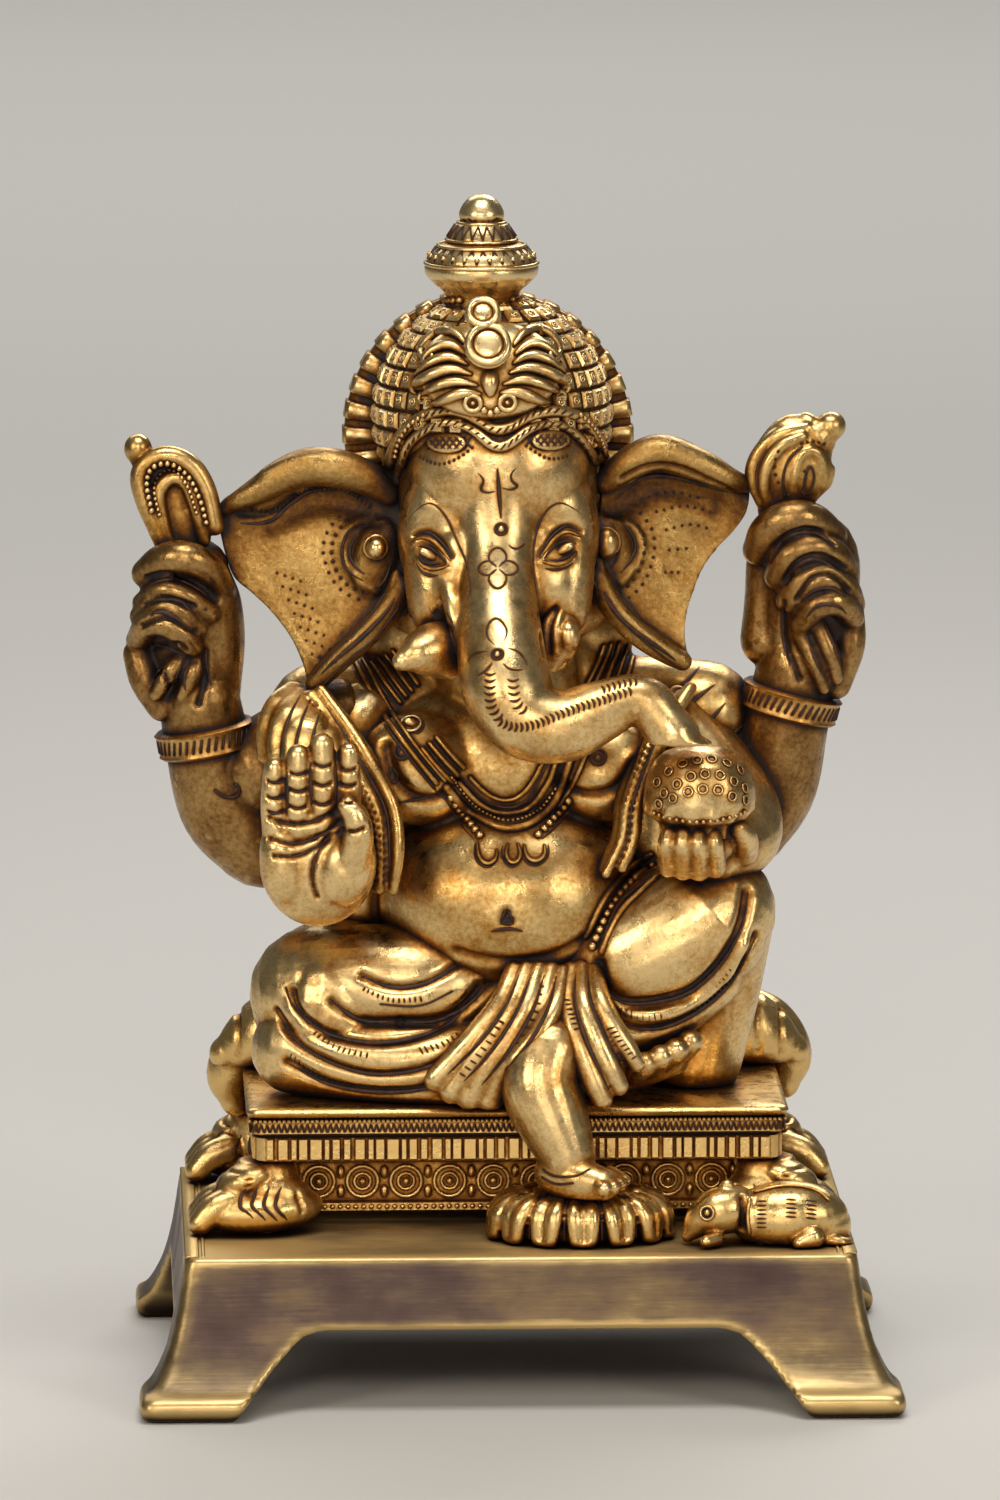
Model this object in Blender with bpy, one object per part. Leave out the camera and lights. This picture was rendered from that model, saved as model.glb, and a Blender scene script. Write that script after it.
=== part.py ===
"""Seated elephant-headed idol in cast brass, on a throne and a four-footed stand.

The idol is built the way a foundry builds one this intricate: sand castings made one by one, each
seated on its neighbour's skin and brazed there. The throne is screwed to the stand from below, and
so are the lotus footrest and the mouse.

All sizes below are in millimetres, and MM turns them into Blender's metres. +X is the idol's left
hand, -Y is the front, +Z is up, and the origin is on the ground under the middle of the stand.
"""

import math

import bmesh
import bpy
from mathutils import Euler, Vector

MM = 0.001

# Stand: a cast table with an apron all round and four corner legs that flare out.
STAND_WIDTH = 128.0
STAND_DEPTH = 92.0
STAND_HEIGHT = 29.5
PLATE_THICKNESS = 3.5
STAND_WALL = 3.2
APRON_HEIGHT = 14.0
LEG_WIDTH = 24.0
LEG_SPLAY_X = 9.0
LEG_SPLAY_Y = 13.0
TOE_HEIGHT = 4.0

# Throne: a moulded seat slab on four paws, with a set-back apron hung under it.
SEAT_WIDTH = 104.0
SEAT_DEPTH = 68.0
SEAT_THICKNESS = 10.7
SEAT_BACKSET = 7.0
PAW_HEIGHT = 14.3
PAW_LENGTH = 24.0
PAW_WIDTH = 14.0
THRONE_APRON_INSET = 8.5
THRONE_APRON_BACKSET = 14.0
THRONE_APRON_WALL = 3.0
THRONE_APRON_CLEARANCE = 2.2
CORE_WIDTH = 21.0
CORE_DEPTH = 17.0
CORE_HEIGHT = 52.0

# Lotus footrest and mouse, on the stand's front edge.
LOTUS_WIDTH = 38.0
LOTUS_DEPTH = 29.0
LOTUS_HEIGHT = 9.6
LOTUS_PETALS = 14
MOUSE_LENGTH = 30.0
MOUSE_HEIGHT = 10.5

# Figure: levels above the seat, and the girth of the main masses.
BELLY_LEVEL = 38.0
BELLY_RADIUS = 27.0
CHEST_LEVEL = 63.5
CHEST_RADIUS = 31.0
SHOULDER_LEVEL = 71.5
SHOULDER_SPAN = 74.0
NECK_LEVEL = 91.0
HEAD_LEVEL = 115.5
HEAD_RADIUS = 18.5
HEAD_SIDE = -3.5
KNEE_LEVEL = 36.0
KNEE_RADIUS = 13.2
SHIN_RADIUS = 8.6
ARM_RADIUS = 11.0
WRIST_RADIUS = 7.2
BRACELET_THICKNESS = 2.4
FINGER_RADIUS = 2.5
MODAK_RADIUS = 10.3
MODAK_HEIGHT = 18.0
EAR_THICKNESS = 3.6
CROWN_RADIUS = 22.5
CROWN_HEIGHT = 22.5
HALO_RADIUS = 28.0
HALO_THICKNESS = 7.0
HALO_RIBS = 22
FINIAL_RADIUS = 11.0
FINIAL_HEIGHT = 20.0

# Screws from below, and the gap left at each brazed or screwed seat.
THRONE_SCREW_RADIUS = 2.0
SMALL_SCREW_RADIUS = 1.5
SCREW_GRIP = 7.5
SEAT_GAP = 0.3

SEAT_BASE = STAND_HEIGHT + PAW_HEIGHT
SEAT_TOP = SEAT_BASE + SEAT_THICKNESS
LOTUS_TOP = STAND_HEIGHT + SEAT_GAP + LOTUS_HEIGHT
HALF_SPAN = SHOULDER_SPAN / 2
LOTUS_CENTRE = (12.0, -STAND_DEPTH / 2 + LOTUS_DEPTH / 2 + 4.5)
MOUSE_CENTRE = (STAND_WIDTH / 2 - MOUSE_LENGTH / 2 - 2.5, -STAND_DEPTH / 2 + 11.5)


# ---- Making and joining shapes -------------------------------------------------------------


def brass(name, rgb, roughness):
    """A metal material with one colour."""
    material = bpy.data.materials.new(name)
    material.use_nodes = True
    shader = material.node_tree.nodes["Principled BSDF"]
    shader.inputs["Base Color"].default_value = (*rgb, 1.0)
    shader.inputs["Metallic"].default_value = 1.0
    shader.inputs["Roughness"].default_value = roughness
    return material


def place(bm, centre, turn=(0, 0, 0)):
    """Turns a mesh by degrees about X, Y and Z, then moves it to its centre."""
    turned = Euler([math.radians(a) for a in turn]).to_matrix().to_4x4()
    bmesh.ops.transform(bm, matrix=turned, verts=bm.verts)
    bmesh.ops.translate(bm, vec=Vector(centre), verts=bm.verts)
    return bm


def ball(centre, radii, turn=(0, 0, 0), segments=12, rings=8):
    """A sphere stretched to three radii."""
    bm = bmesh.new()
    bmesh.ops.create_uvsphere(bm, u_segments=segments, v_segments=rings, radius=1)
    bmesh.ops.scale(bm, vec=Vector(radii), verts=bm.verts)
    return place(bm, centre, turn)


def skin_rings(bm, rings, closed_ends=True):
    """Quads between rings of points, each ring counter-clockwise as seen from the last one."""
    made = [[bm.verts.new(p) for p in ring] for ring in rings]
    count = len(made[0])
    for low, high in zip(made, made[1:]):
        for k in range(count):
            after = (k + 1) % count
            bm.faces.new((low[k], low[after], high[after], high[k]))
    if closed_ends:
        bm.faces.new(reversed(made[0]))
        bm.faces.new(made[-1])
    return bm


def smooth_path(points, steps):
    """Catmull-Rom points through stations, each a tuple of any length."""
    stations = [points[0], *points, points[-1]]
    path = []
    for i in range(1, len(stations) - 2):
        a, b, c, d = stations[i - 1 : i + 3]
        for s in range(steps):
            t = s / steps
            path.append(
                tuple(
                    0.5 * (2 * q + (r - p) * t + (2 * p - 5 * q + 4 * r - s4) * t**2 + (3 * q - p - 3 * r + s4) * t**3)
                    for p, q, r, s4 in zip(a, b, c, d)
                )
            )
    return [*path, points[-1]]


def limb(stations, flatness=1.0, sides=10, steps=1, wide=(1, 0, 0)):
    """A tapering round-ended limb through (x, y, z, radius) stations.

    Its section is as wide as the radius along the wide direction, and flatness times that across it.
    """
    path = smooth_path([s[:4] for s in stations], steps)
    points = [Vector(p[:3]) for p in path]
    ahead = [(b - a).normalized() for a, b in zip(points, points[1:])]
    ahead.append(ahead[-1])
    directions = [ahead[0]] + [(a + b).normalized() for a, b in zip(ahead, ahead[1:])]
    frames = []
    side = Vector(wide)
    for direction in directions:
        side = (side - direction * side.dot(direction)).normalized()
        frames.append((side, direction.cross(side)))
    rings = []

    def ring(index, radius, along):
        side_way, depth_way = frames[index]
        centre = points[index] + directions[index] * along
        turns = [2 * math.pi * k / sides for k in range(sides)]
        rings.append([centre + side_way * radius * math.cos(a) + depth_way * radius * flatness * math.sin(a) for a in turns])

    end = len(path) - 1
    for angle in (75, 40):
        cap = math.radians(angle)
        ring(0, path[0][3] * math.cos(cap), -path[0][3] * math.sin(cap) * flatness)
    for index, station in enumerate(path):
        ring(index, station[3], 0)
    for angle in (40, 75):
        cap = math.radians(angle)
        ring(end, path[end][3] * math.cos(cap), path[end][3] * math.sin(cap) * flatness)
    return skin_rings(bmesh.new(), rings)


def tiers(levels, centre=(0, 0), corner=2.0):
    """Stacked rectangles with rounded corners, from (z, half width, half depth) levels, bottom to top."""
    rings = []
    for z, half_width, half_depth in levels:
        ring = []
        for sx, sy, start in ((1, 1, 0), (-1, 1, 90), (-1, -1, 180), (1, -1, 270)):
            for step in range(3):
                a = math.radians(start + 45 * step)
                x = sx * (half_width - corner) + corner * math.cos(a)
                y = sy * (half_depth - corner) + corner * math.sin(a)
                ring.append((centre[0] + x, centre[1] + y, z))
        rings.append(ring)
    return skin_rings(bmesh.new(), rings)


def turned(profile, centre, segments=24, scallop=0.0, lobes=1):
    """A shape turned on a lathe, from (radius, z) points, bottom to top, with lobes if it is scalloped."""
    rings = []
    for radius, z in profile:
        ring = []
        for k in range(segments):
            a = 2 * math.pi * k / segments
            r = radius * (1 - scallop * (0.5 - 0.5 * math.cos(lobes * a)))
            ring.append((centre[0] + r * math.cos(a), centre[1] + r * math.sin(a), centre[2] + z))
        rings.append(ring)
    return skin_rings(bmesh.new(), rings)


def prism(outline, low, high, axis="Y"):
    """An outline of (x, z) points pushed along Y, or of (y, z) points pushed along X."""
    bm = bmesh.new()

    def point(a, b, depth):
        return (a, depth, b) if axis == "Y" else (depth, a, b)

    skin_rings(bm, [[point(a, b, depth) for a, b in outline] for depth in (low, high)])
    bmesh.ops.recalc_face_normals(bm, faces=bm.faces)
    return bm


def solid(name, bm, material=None):
    """An object in metres from a mesh in millimetres."""
    bmesh.ops.scale(bm, vec=(MM, MM, MM), verts=bm.verts)
    bmesh.ops.recalc_face_normals(bm, faces=bm.faces)
    mesh = bpy.data.meshes.new(name)
    bm.to_mesh(mesh)
    bm.free()
    made = bpy.data.objects.new(name, mesh)
    bpy.context.scene.collection.objects.link(made)
    if material:
        mesh.materials.append(material)
    return made


def settle(obj):
    """Bakes an object's modifiers into its mesh."""
    graph = bpy.context.evaluated_depsgraph_get()
    baked = bpy.data.meshes.new_from_object(obj.evaluated_get(graph))
    obj.modifiers.clear()
    old, obj.data = obj.data, baked
    baked.name = obj.name
    bpy.data.meshes.remove(old)
    bm = bmesh.new()
    bm.from_mesh(baked)
    bmesh.ops.triangulate(bm, faces=[f for f in bm.faces if len(f.verts) > 4])
    bm.to_mesh(baked)
    bm.free()
    return obj


def boolean(obj, tool, operation):
    """Joins or cuts obj with another object's solid."""
    modifier = obj.modifiers.new(operation.title(), "BOOLEAN")
    modifier.operation = operation
    modifier.object = tool
    modifier.solver = "MANIFOLD"
    settle(obj)
    return obj


def fuse(name, shapes, material):
    """One solid from overlapping meshes, as they are poured in one mould."""
    made = solid(name, shapes[0], material)
    for shape in shapes[1:]:
        other = solid(name + "_joined", shape)
        boolean(made, other, "UNION")
        bpy.data.objects.remove(other)
    return made


def cut(obj, shape):
    """Cuts a mesh in millimetres out of an object."""
    tool = solid(obj.name + "_cutter", shape)
    boolean(obj, tool, "DIFFERENCE")
    bpy.data.objects.remove(tool)
    return obj


def saw(obj, point, normal):
    """Saws an object flat, and keeps the side that the normal points to."""
    bm = bmesh.new()
    bm.from_mesh(obj.data)
    everything = [*bm.verts, *bm.edges, *bm.faces]
    plane = Vector(point) * MM
    bmesh.ops.bisect_plane(bm, geom=everything, plane_co=plane, plane_no=Vector(normal), clear_inner=True)
    rim = [e for e in bm.edges if e.is_boundary]
    bmesh.ops.holes_fill(bm, edges=rim)
    bmesh.ops.triangulate(bm, faces=[f for f in bm.faces if len(f.verts) > 4])
    bmesh.ops.recalc_face_normals(bm, faces=bm.faces)
    bm.to_mesh(obj.data)
    bm.free()
    return obj


def bench(obj, level):
    """Grinds an object's underside flat, a seat's gap above a level."""
    return saw(obj, (0, 0, level + SEAT_GAP), (0, 0, 1))


def box_of(obj):
    """Lowest and highest corner of an object's mesh."""
    corners = [v.co for v in obj.data.vertices]
    low = Vector([min(c[k] for c in corners) for k in range(3)])
    high = Vector([max(c[k] for c in corners) for k in range(3)])
    return low, high


def near(a, b):
    """Whether two objects' boxes come within a seat's gap of each other."""
    (low_a, high_a), (low_b, high_b) = box_of(a), box_of(b)
    reach = SEAT_GAP * MM
    return all(low_a[k] < high_b[k] + reach and low_b[k] < high_a[k] + reach for k in range(3))


def fattened(obj, gap):
    """A copy of an object grown by a gap all over."""
    bm = bmesh.new()
    bm.from_mesh(obj.data)
    bm.normal_update()
    grown = [v.co + v.normal * gap * MM * min(v.calc_shell_factor(), 2.0) for v in bm.verts]
    for vertex, place_ in zip(bm.verts, grown):
        vertex.co = place_
    mesh = bpy.data.meshes.new(obj.name + "_seat")
    bm.to_mesh(mesh)
    bm.free()
    made = bpy.data.objects.new(mesh.name, mesh)
    bpy.context.scene.collection.objects.link(made)
    return made


def file_off_slivers(obj):
    """Keeps the casting, and drops the loose slivers that cutting a seat can leave."""
    bm = bmesh.new()
    bm.from_mesh(obj.data)
    unseen = set(bm.verts)
    islands = []
    while unseen:
        todo = [unseen.pop()]
        island = set(todo)
        while todo:
            for edge in todo.pop().link_edges:
                for vertex in edge.verts:
                    if vertex in unseen:
                        unseen.discard(vertex)
                        island.add(vertex)
                        todo.append(vertex)
        islands.append(island)
    casting = max(islands, key=len)
    loose = [v for v in bm.verts if v not in casting]
    bmesh.ops.delete(bm, geom=loose, context="VERTS")
    bm.to_mesh(obj.data)
    bm.free()
    return obj


def seat_on_neighbours(castings):
    """Cuts each casting to sit, one gap clear, on every casting before it in the list.

    The second cut clears what the grown copy misses in a sharp hollow, where its skin folds.
    """
    for index, obj in enumerate(castings):
        for other in castings[:index]:
            if near(obj, other):
                for gap in (SEAT_GAP, SEAT_GAP * 0.1):
                    tool = fattened(other, gap)
                    boolean(obj, tool, "DIFFERENCE")
                    bpy.data.objects.remove(tool)
        file_off_slivers(obj)


# ---- Stand ---------------------------------------------------------------------------------


def arch(half_top, half_foot):
    """The outline cut between two legs: a flat apron edge that curves down to the feet."""
    top = STAND_HEIGHT - APRON_HEIGHT
    side = [(half_foot + 1, -1), (half_foot, 2), (half_top + 6, top - 5), (half_top + 2.5, top - 1.5), (half_top, top)]
    return [(x, z) for x, z in side] + [(-x, z) for x, z in reversed(side)]


def make_stand(material):
    half_x, half_y = STAND_WIDTH / 2, STAND_DEPTH / 2
    flare = ((0.0, 1.0), (TOE_HEIGHT, 0.97), (TOE_HEIGHT + 2.2, 0.62), (9.5, 0.32), (15.0, 0.1))
    outside = [(z, half_x + share * LEG_SPLAY_X, half_y + share * LEG_SPLAY_Y) for z, share in flare]
    outside += [(STAND_HEIGHT - PLATE_THICKNESS, half_x, half_y), (STAND_HEIGHT, half_x, half_y)]
    stand = solid("base_stand", tiers(outside), material)
    hollow = [(-1.0, half_x - 1, half_y + 2), (TOE_HEIGHT + 2.2, half_x - 1, half_y + 2)]
    hollow += [(15.0, half_x - STAND_WALL + 0.8, half_y - STAND_WALL + 1.2)]
    hollow += [(STAND_HEIGHT - PLATE_THICKNESS, half_x - STAND_WALL, half_y - STAND_WALL)]
    cut(stand, tiers(hollow))
    reach = half_x + LEG_SPLAY_X + 5
    cut(stand, prism(arch(half_x - LEG_WIDTH, half_x - 9), -reach, reach))
    cut(stand, prism(arch(half_y - LEG_WIDTH * 0.6, half_y - 2), -reach, reach, axis="X"))
    return stand


def make_screw(name, x, y, radius, material):
    """A cheese-head screw that comes up through the plate, with a driver slot in its head."""
    under = STAND_HEIGHT - PLATE_THICKNESS
    head_top = under - 2 * SEAT_GAP - 1.0
    head_radius, head_height = radius * 1.75, radius * 1.2
    profile = [(head_radius - 0.4, head_top - head_height), (head_radius, head_top - head_height + 0.4)]
    profile += [(head_radius, head_top), (radius, head_top), (radius, STAND_HEIGHT + SCREW_GRIP - radius * 0.5)]
    profile += [(radius * 0.5, STAND_HEIGHT + SCREW_GRIP)]
    screw = solid(name, turned(profile, (x, y, 0), segments=12), material)
    slot_depth = head_height * 0.4
    slot = tiers([(-slot_depth, head_radius + 1, radius * 0.25), (slot_depth, head_radius + 1, radius * 0.25)], corner=0.1)
    return cut(screw, place(slot, (x, y, head_top - head_height)))


def make_washer(name, x, y, radius, material):
    """A flat washer between a screw's head and the plate."""
    top = STAND_HEIGHT - PLATE_THICKNESS - SEAT_GAP
    disc = turned([(radius * 2.4, top - 1.0), (radius * 2.4, top)], (x, y, 0), segments=12)
    washer = solid(name, disc, material)
    return cut(washer, turned([(radius + SEAT_GAP, top - 2), (radius + SEAT_GAP, top + 1)], (x, y, 0), segments=12))


def make_lotus(material):
    """A cushion of petals, open like a flower under the hanging foot."""
    w = LOTUS_WIDTH / 2
    bottom = STAND_HEIGHT + SEAT_GAP
    profile = [(w * 0.8, 0), (w, LOTUS_HEIGHT * 0.2), (w * 0.98, LOTUS_HEIGHT * 0.55), (w * 0.84, LOTUS_HEIGHT * 0.82)]
    profile += [(w * 0.62, LOTUS_HEIGHT * 0.94), (w * 0.55, LOTUS_HEIGHT)]
    petals = turned(profile, (0, 0, bottom), segments=LOTUS_PETALS * 2, scallop=0.09, lobes=LOTUS_PETALS)
    bmesh.ops.scale(petals, vec=(1, LOTUS_DEPTH / LOTUS_WIDTH, 1), verts=petals.verts)
    return solid("lotus_footrest", place(petals, (*LOTUS_CENTRE, 0)), material)


def make_mouse(material):
    x, y = MOUSE_CENTRE
    z = STAND_HEIGHT
    length, height = MOUSE_LENGTH, MOUSE_HEIGHT
    body = ball((x + length * 0.1, y, z + height * 0.45), (length * 0.37, 7.2, height * 0.57))
    head = ball((x - length * 0.3, y - 1, z + height * 0.45), (length * 0.21, 4.8, height * 0.45), (0, 20, 0), 12, 8)
    ear = ball((x - length * 0.16, y - 2.5, z + height * 0.86), (1.8, 1.4, 2.2), segments=8, rings=6)
    tail = limb([(x + length * 0.4, y, z + 2, 2.0), (x + length * 0.46, y + 4, z + 1.6, 1.2)], sides=8)
    return bench(fuse("mouse", [body, head, ear, tail], material), STAND_HEIGHT)


# ---- Throne --------------------------------------------------------------------------------


def paw_place(sx, sy):
    """Centre of a throne paw, on the stand, under a corner of the seat."""
    return sx * (SEAT_WIDTH / 2 - 3.5), SEAT_BACKSET + sy * (SEAT_DEPTH / 2 - PAW_WIDTH / 2)


def make_paw(name, sx, sy, material):
    """A lion's paw whose toes point out past the corner of the seat."""
    x, y = paw_place(sx, sy)
    z = STAND_HEIGHT
    toes = ball((x, y, z + 5), (PAW_LENGTH / 2, PAW_WIDTH / 2, 5.6), (0, 0, sx * sy * 10))
    ankle = ball((x + sx * 0.5, y - sy * 1.5, z + PAW_HEIGHT - 5.5), (7.5, 6, 8), segments=12, rings=8)
    paw = bench(fuse(name, [toes, ankle], material), STAND_HEIGHT)
    return saw(paw, (0, 0, SEAT_BASE - SEAT_GAP), (0, 0, -1))


def make_throne_seat(material):
    """The slab: a fluted band, a groove, a beaded band and a thin lip, with the core hole through it."""
    w, d, t = SEAT_WIDTH / 2, SEAT_DEPTH / 2, SEAT_THICKNESS
    levels = [(0, w - 1.6, d - 1.6), (t * 0.48, w - 1, d - 1), (t * 0.5, w - 2.2, d - 2.2), (t * 0.58, w - 2.2, d - 2.2)]
    levels += [(t * 0.6, w - 0.4, d - 0.4), (t * 0.86, w - 0.4, d - 0.4), (t * 0.88, w, d), (t, w - 0.4, d - 0.4)]
    seat = solid("throne_seat", tiers([(SEAT_BASE + z, x, y) for z, x, y in levels], (0, SEAT_BACKSET), 1.2), material)
    core = turned([(1, SEAT_BASE - 1), (1, SEAT_TOP + 1)], (0, 0, 0), segments=20)
    bmesh.ops.scale(core, vec=(CORE_WIDTH / 2, CORE_DEPTH / 2, 1), verts=core.verts)
    return cut(seat, place(core, (0, 3, 0)))


def make_throne_apron(material):
    """A frame behind the paws that hangs from the seat and stays clear of the stand."""
    w = SEAT_WIDTH / 2 - THRONE_APRON_INSET
    front = SEAT_BACKSET - SEAT_DEPTH / 2 + THRONE_APRON_BACKSET
    back = SEAT_BACKSET + SEAT_DEPTH / 2 - THRONE_APRON_INSET / 2
    centre, d = (0, (front + back) / 2), (back - front) / 2
    low, high = STAND_HEIGHT + THRONE_APRON_CLEARANCE, SEAT_BASE - SEAT_GAP
    outer = [(low, w, d), (low + 2.6, w, d), (low + 3.4, w - 0.8, d - 0.8), (high, w - 0.8, d - 0.8)]
    apron = solid("throne_apron", tiers(outer, centre, 1.0), material)
    inside = [(z, w - THRONE_APRON_WALL, d - THRONE_APRON_WALL) for z in (low - 1, high + 1)]
    return cut(apron, tiers(inside, centre, 1.0))


def make_bolster(material):
    """The long cushion behind the idol, with its two ends drawn to points."""
    half = SEAT_WIDTH / 2 + 4
    y = SEAT_BACKSET + 13
    rise = ((1.0, 1.5, 3.0), (0.9, 3.5, 6.6), (0.76, 6.5, 8.8), (0.42, 9.0, 10.0))
    left = [(-half * share, y, SEAT_TOP + z, r) for share, z, r in rise]
    right = [(half * share, y, SEAT_TOP + z, r) for share, z, r in reversed(rise)]
    return bench(solid("bolster", limb(left + right, wide=(0, 1, 0)), material), SEAT_TOP)


# ---- Body ----------------------------------------------------------------------------------


def above(x, y, z, *more):
    """A point given by its height above the seat."""
    return (x, y, SEAT_TOP + z, *more)


def make_torso(material):
    """Belly, chest, shoulders and hips poured as one, with a core pocket open at the bottom."""
    belly, chest = BELLY_RADIUS, CHEST_RADIUS
    shapes = [
        ball(above(-1, -3, BELLY_LEVEL), (belly, belly * 0.83, belly * 0.7), segments=18, rings=10),
        ball(above(0, 7, BELLY_LEVEL), (belly + 1, 17, 32)),
        ball(above(0, 5, 12), (32, 20, 14)),
        ball(above(-1, 1, CHEST_LEVEL), (chest, 17, 17), segments=16, rings=8),
        limb([above(-HALF_SPAN, 5, SHOULDER_LEVEL, 10.5), above(HALF_SPAN, 5, SHOULDER_LEVEL, 10.5)], wide=(0, 1, 0)),
        ball(above(-19, -10, CHEST_LEVEL - 1), (10.5, 8, 9), segments=10, rings=6),
        ball(above(18, -10, CHEST_LEVEL - 1), (10.5, 8, 9), segments=10, rings=6),
        ball(above(0, 7, SHOULDER_LEVEL - 7), (HALF_SPAN - 8, 14, 19)),
        limb([above(0, 4, CHEST_LEVEL, 17), above(-2, 3, NECK_LEVEL, 14)]),
    ]
    torso = bench(fuse("torso", shapes, material), SEAT_TOP)
    return cut(torso, ball(above(0, 3, 0), (CORE_WIDTH / 2 - 1, CORE_DEPTH / 2 - 1, CORE_HEIGHT), segments=12, rings=8))


def make_folded_leg(material):
    """The idol's right leg: knee out to the side, shin across the seat, toes under the other knee."""
    shapes = [
        ball(above(-34, -3, 17), (17, 20, 16.5)),
        limb([above(-38, -6, 19, 13), above(-21, -11, 21, 12), above(-5, -8, 19, 11)], wide=(0, 1, 0)),
        limb([above(-42, -11, 9, 9), above(-24, -17, 8, 9), above(-6, -20, 7, 8), above(10, -18, 6, 6.5)], wide=(0, 1, 0)),
        limb([above(10, -18, 6, 6), above(24, -17, 6.5, 5), above(35, -16, 8.5, 3.8)], wide=(0, 1, 0), sides=10),
    ]
    return bench(fuse("leg_folded", shapes, material), SEAT_TOP)


def make_raised_leg(material):
    """The idol's left leg, knee up, with its cloth falling down the outside."""
    k = KNEE_RADIUS
    shapes = [
        limb([above(10, -3, 19, k), above(24, -12, KNEE_LEVEL - 9, k + 0.6), above(37, -13, KNEE_LEVEL - 1, k)], wide=(0, 1, 0)),
        limb([above(38, -9, KNEE_LEVEL - 2, k - 2), above(37, -5, 18, k - 3), above(35, -2, 5, k - 4)]),
    ]
    return bench(fuse("leg_raised", shapes, material), SEAT_TOP)


def make_hanging_shin(material):
    """The lower leg that hangs in front of the seat, with its foot flat on the lotus."""
    r = SHIN_RADIUS
    ankle = LOTUS_TOP + 7.5
    seat_front = SEAT_BACKSET - SEAT_DEPTH / 2
    y = seat_front - r * 0.75
    shin = limb([(4, y + 8, SEAT_TOP + 12, r), (4, y + 1, SEAT_TOP + 5, r), (7, y, SEAT_TOP - 3, r - 1.4), (10, y, ankle, r - 3)])
    foot = limb([(9, y + 1, LOTUS_TOP + 4.5, 5.2), (14, y - 3, LOTUS_TOP + 3, 5), (19, y - 6, LOTUS_TOP + 2, 3.6)], sides=10)
    return bench(fuse("shin_hanging", [shin, foot], material), LOTUS_TOP)


def make_pleats(name, top, ends, radius, material):
    """Cloth pleats that fan out from the waist."""
    shapes = []
    for x, y, z in ends:
        middle = [(a + b) / 2 for a, b in zip(top, (x, y, z))]
        stations = [above(*top, radius), above(middle[0], middle[1] - 2, middle[2], radius), above(x, y, z, radius)]
        shapes.append(limb(stations, sides=8, flatness=0.8))
    return bench(fuse(name, shapes, material), SEAT_TOP)


def make_band(name, stations, material, flatness=0.55):
    """A flat band of cloth or beads laid over the chest."""
    return solid(name, limb([above(*s) for s in stations], flatness=flatness, sides=8), material)


# ---- Arms and what the hands hold ----------------------------------------------------------


def make_rear_arm(name, side, elbow_x, wrist, fist, material):
    """An upper arm out of the shoulder, a forearm raised from the elbow, and a closed fist."""
    shoulder, a = side * (HALF_SPAN - 11), ARM_RADIUS
    upper = [above(shoulder, 6, SHOULDER_LEVEL - 2, a), above(side * (HALF_SPAN + 3), 7, SHOULDER_LEVEL - 9, a)]
    elbow = [above(side * elbow_x, 5, SHOULDER_LEVEL - 22, a)]
    forearm = [above(side * (elbow_x + 4), 4, SHOULDER_LEVEL - 22, a), above(*wrist, WRIST_RADIUS), above(*fist, WRIST_RADIUS)]
    shapes = [
        limb(upper + elbow, wide=(0, 1, 0)),
        limb(forearm),
        ball(above(*fist), (9.6, 8.4, 15)),
    ]
    return fuse(name, shapes, material)


def make_bracelet(name, wrist, tilt, material):
    """A round band pushed onto the wrist, bigger than the wrist by one seat gap."""
    inner = WRIST_RADIUS + SEAT_GAP + 0.6
    t = BRACELET_THICKNESS
    rings = 18
    bm = bmesh.new()
    section = [(inner, -t), (inner + t, -t * 0.9), (inner + t * 1.2, 0), (inner + t, t * 0.9), (inner, t)]
    points = [(r * math.cos(2 * math.pi * k / rings), r * math.sin(2 * math.pi * k / rings), z) for k in range(rings) for r, z in section]
    made = [bm.verts.new(p) for p in points]
    n = len(section)
    for k in range(rings):
        for j in range(n):
            a, b = k * n, ((k + 1) % rings) * n
            bm.faces.new((made[a + j], made[b + j], made[b + (j + 1) % n], made[a + (j + 1) % n]))
    return solid(name, place(bm, above(*wrist), tilt), material)


def make_palm_arm(material):
    """The idol's right front arm, its open hand raised in blessing over the knee."""
    x, y, z = -38.0, -26.0, 48.5
    shapes = [
        limb([above(-29, 1, SHOULDER_LEVEL - 1, 9), above(-36, -5, 60, 10), above(x, -12, 48, 10), above(x, -18, 46, 9)]),
        ball(above(x, y, z), (10.8, 6.2, 12.5)),
        ball(above(x + 7.5, y - 3, z + 4), (3.2, 3.4, 6.5), segments=10, rings=6),
    ]
    for finger in range(4):
        fx = x - 7.0 + finger * 4.5
        tip = z + (20.5, 22.5, 23.5, 20.0)[finger] - 3
        shapes.append(limb([above(fx, y - 1, z + 8, FINGER_RADIUS), above(fx + 0.6, y - 1.5, tip, FINGER_RADIUS)], sides=8, steps=1))
    return fuse("arm_front_right", shapes, material)


def make_bowl_arm(material):
    """The idol's left front arm, its cupped hand under the sweet."""
    x, y, z = 34.0, -26.0, 49.0
    shapes = [
        limb([above(30, 1, SHOULDER_LEVEL - 2, 9), above(40, -4, 56, 9.5), above(43, -12, 50, 8.5), above(38, -20, z, 7)]),
        ball(above(x, y, z + 0.5), (9, 7.5, 4.4), segments=14, rings=8),
    ]
    for finger in range(4):
        fx = x - 5.4 + finger * 3.6
        shapes.append(limb([above(fx, y - 4, z - 1, 2.1), above(fx, y - 7.2, z + 1.2, 2.1)], sides=8, steps=1))
    return fuse("arm_front_left", shapes, material)


def make_modak(material):
    """The domed sweet in the idol's left palm."""
    r = MODAK_RADIUS
    dome = [(r * 0.62, 0), (r * 0.9, MODAK_HEIGHT * 0.2), (r, MODAK_HEIGHT * 0.45), (r * 0.9, MODAK_HEIGHT * 0.72)]
    dome += [(r * 0.6, MODAK_HEIGHT * 0.92), (r * 0.25, MODAK_HEIGHT)]
    return solid("modak", turned(dome, above(34.5, -26, 52.0), segments=16), material)


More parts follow.
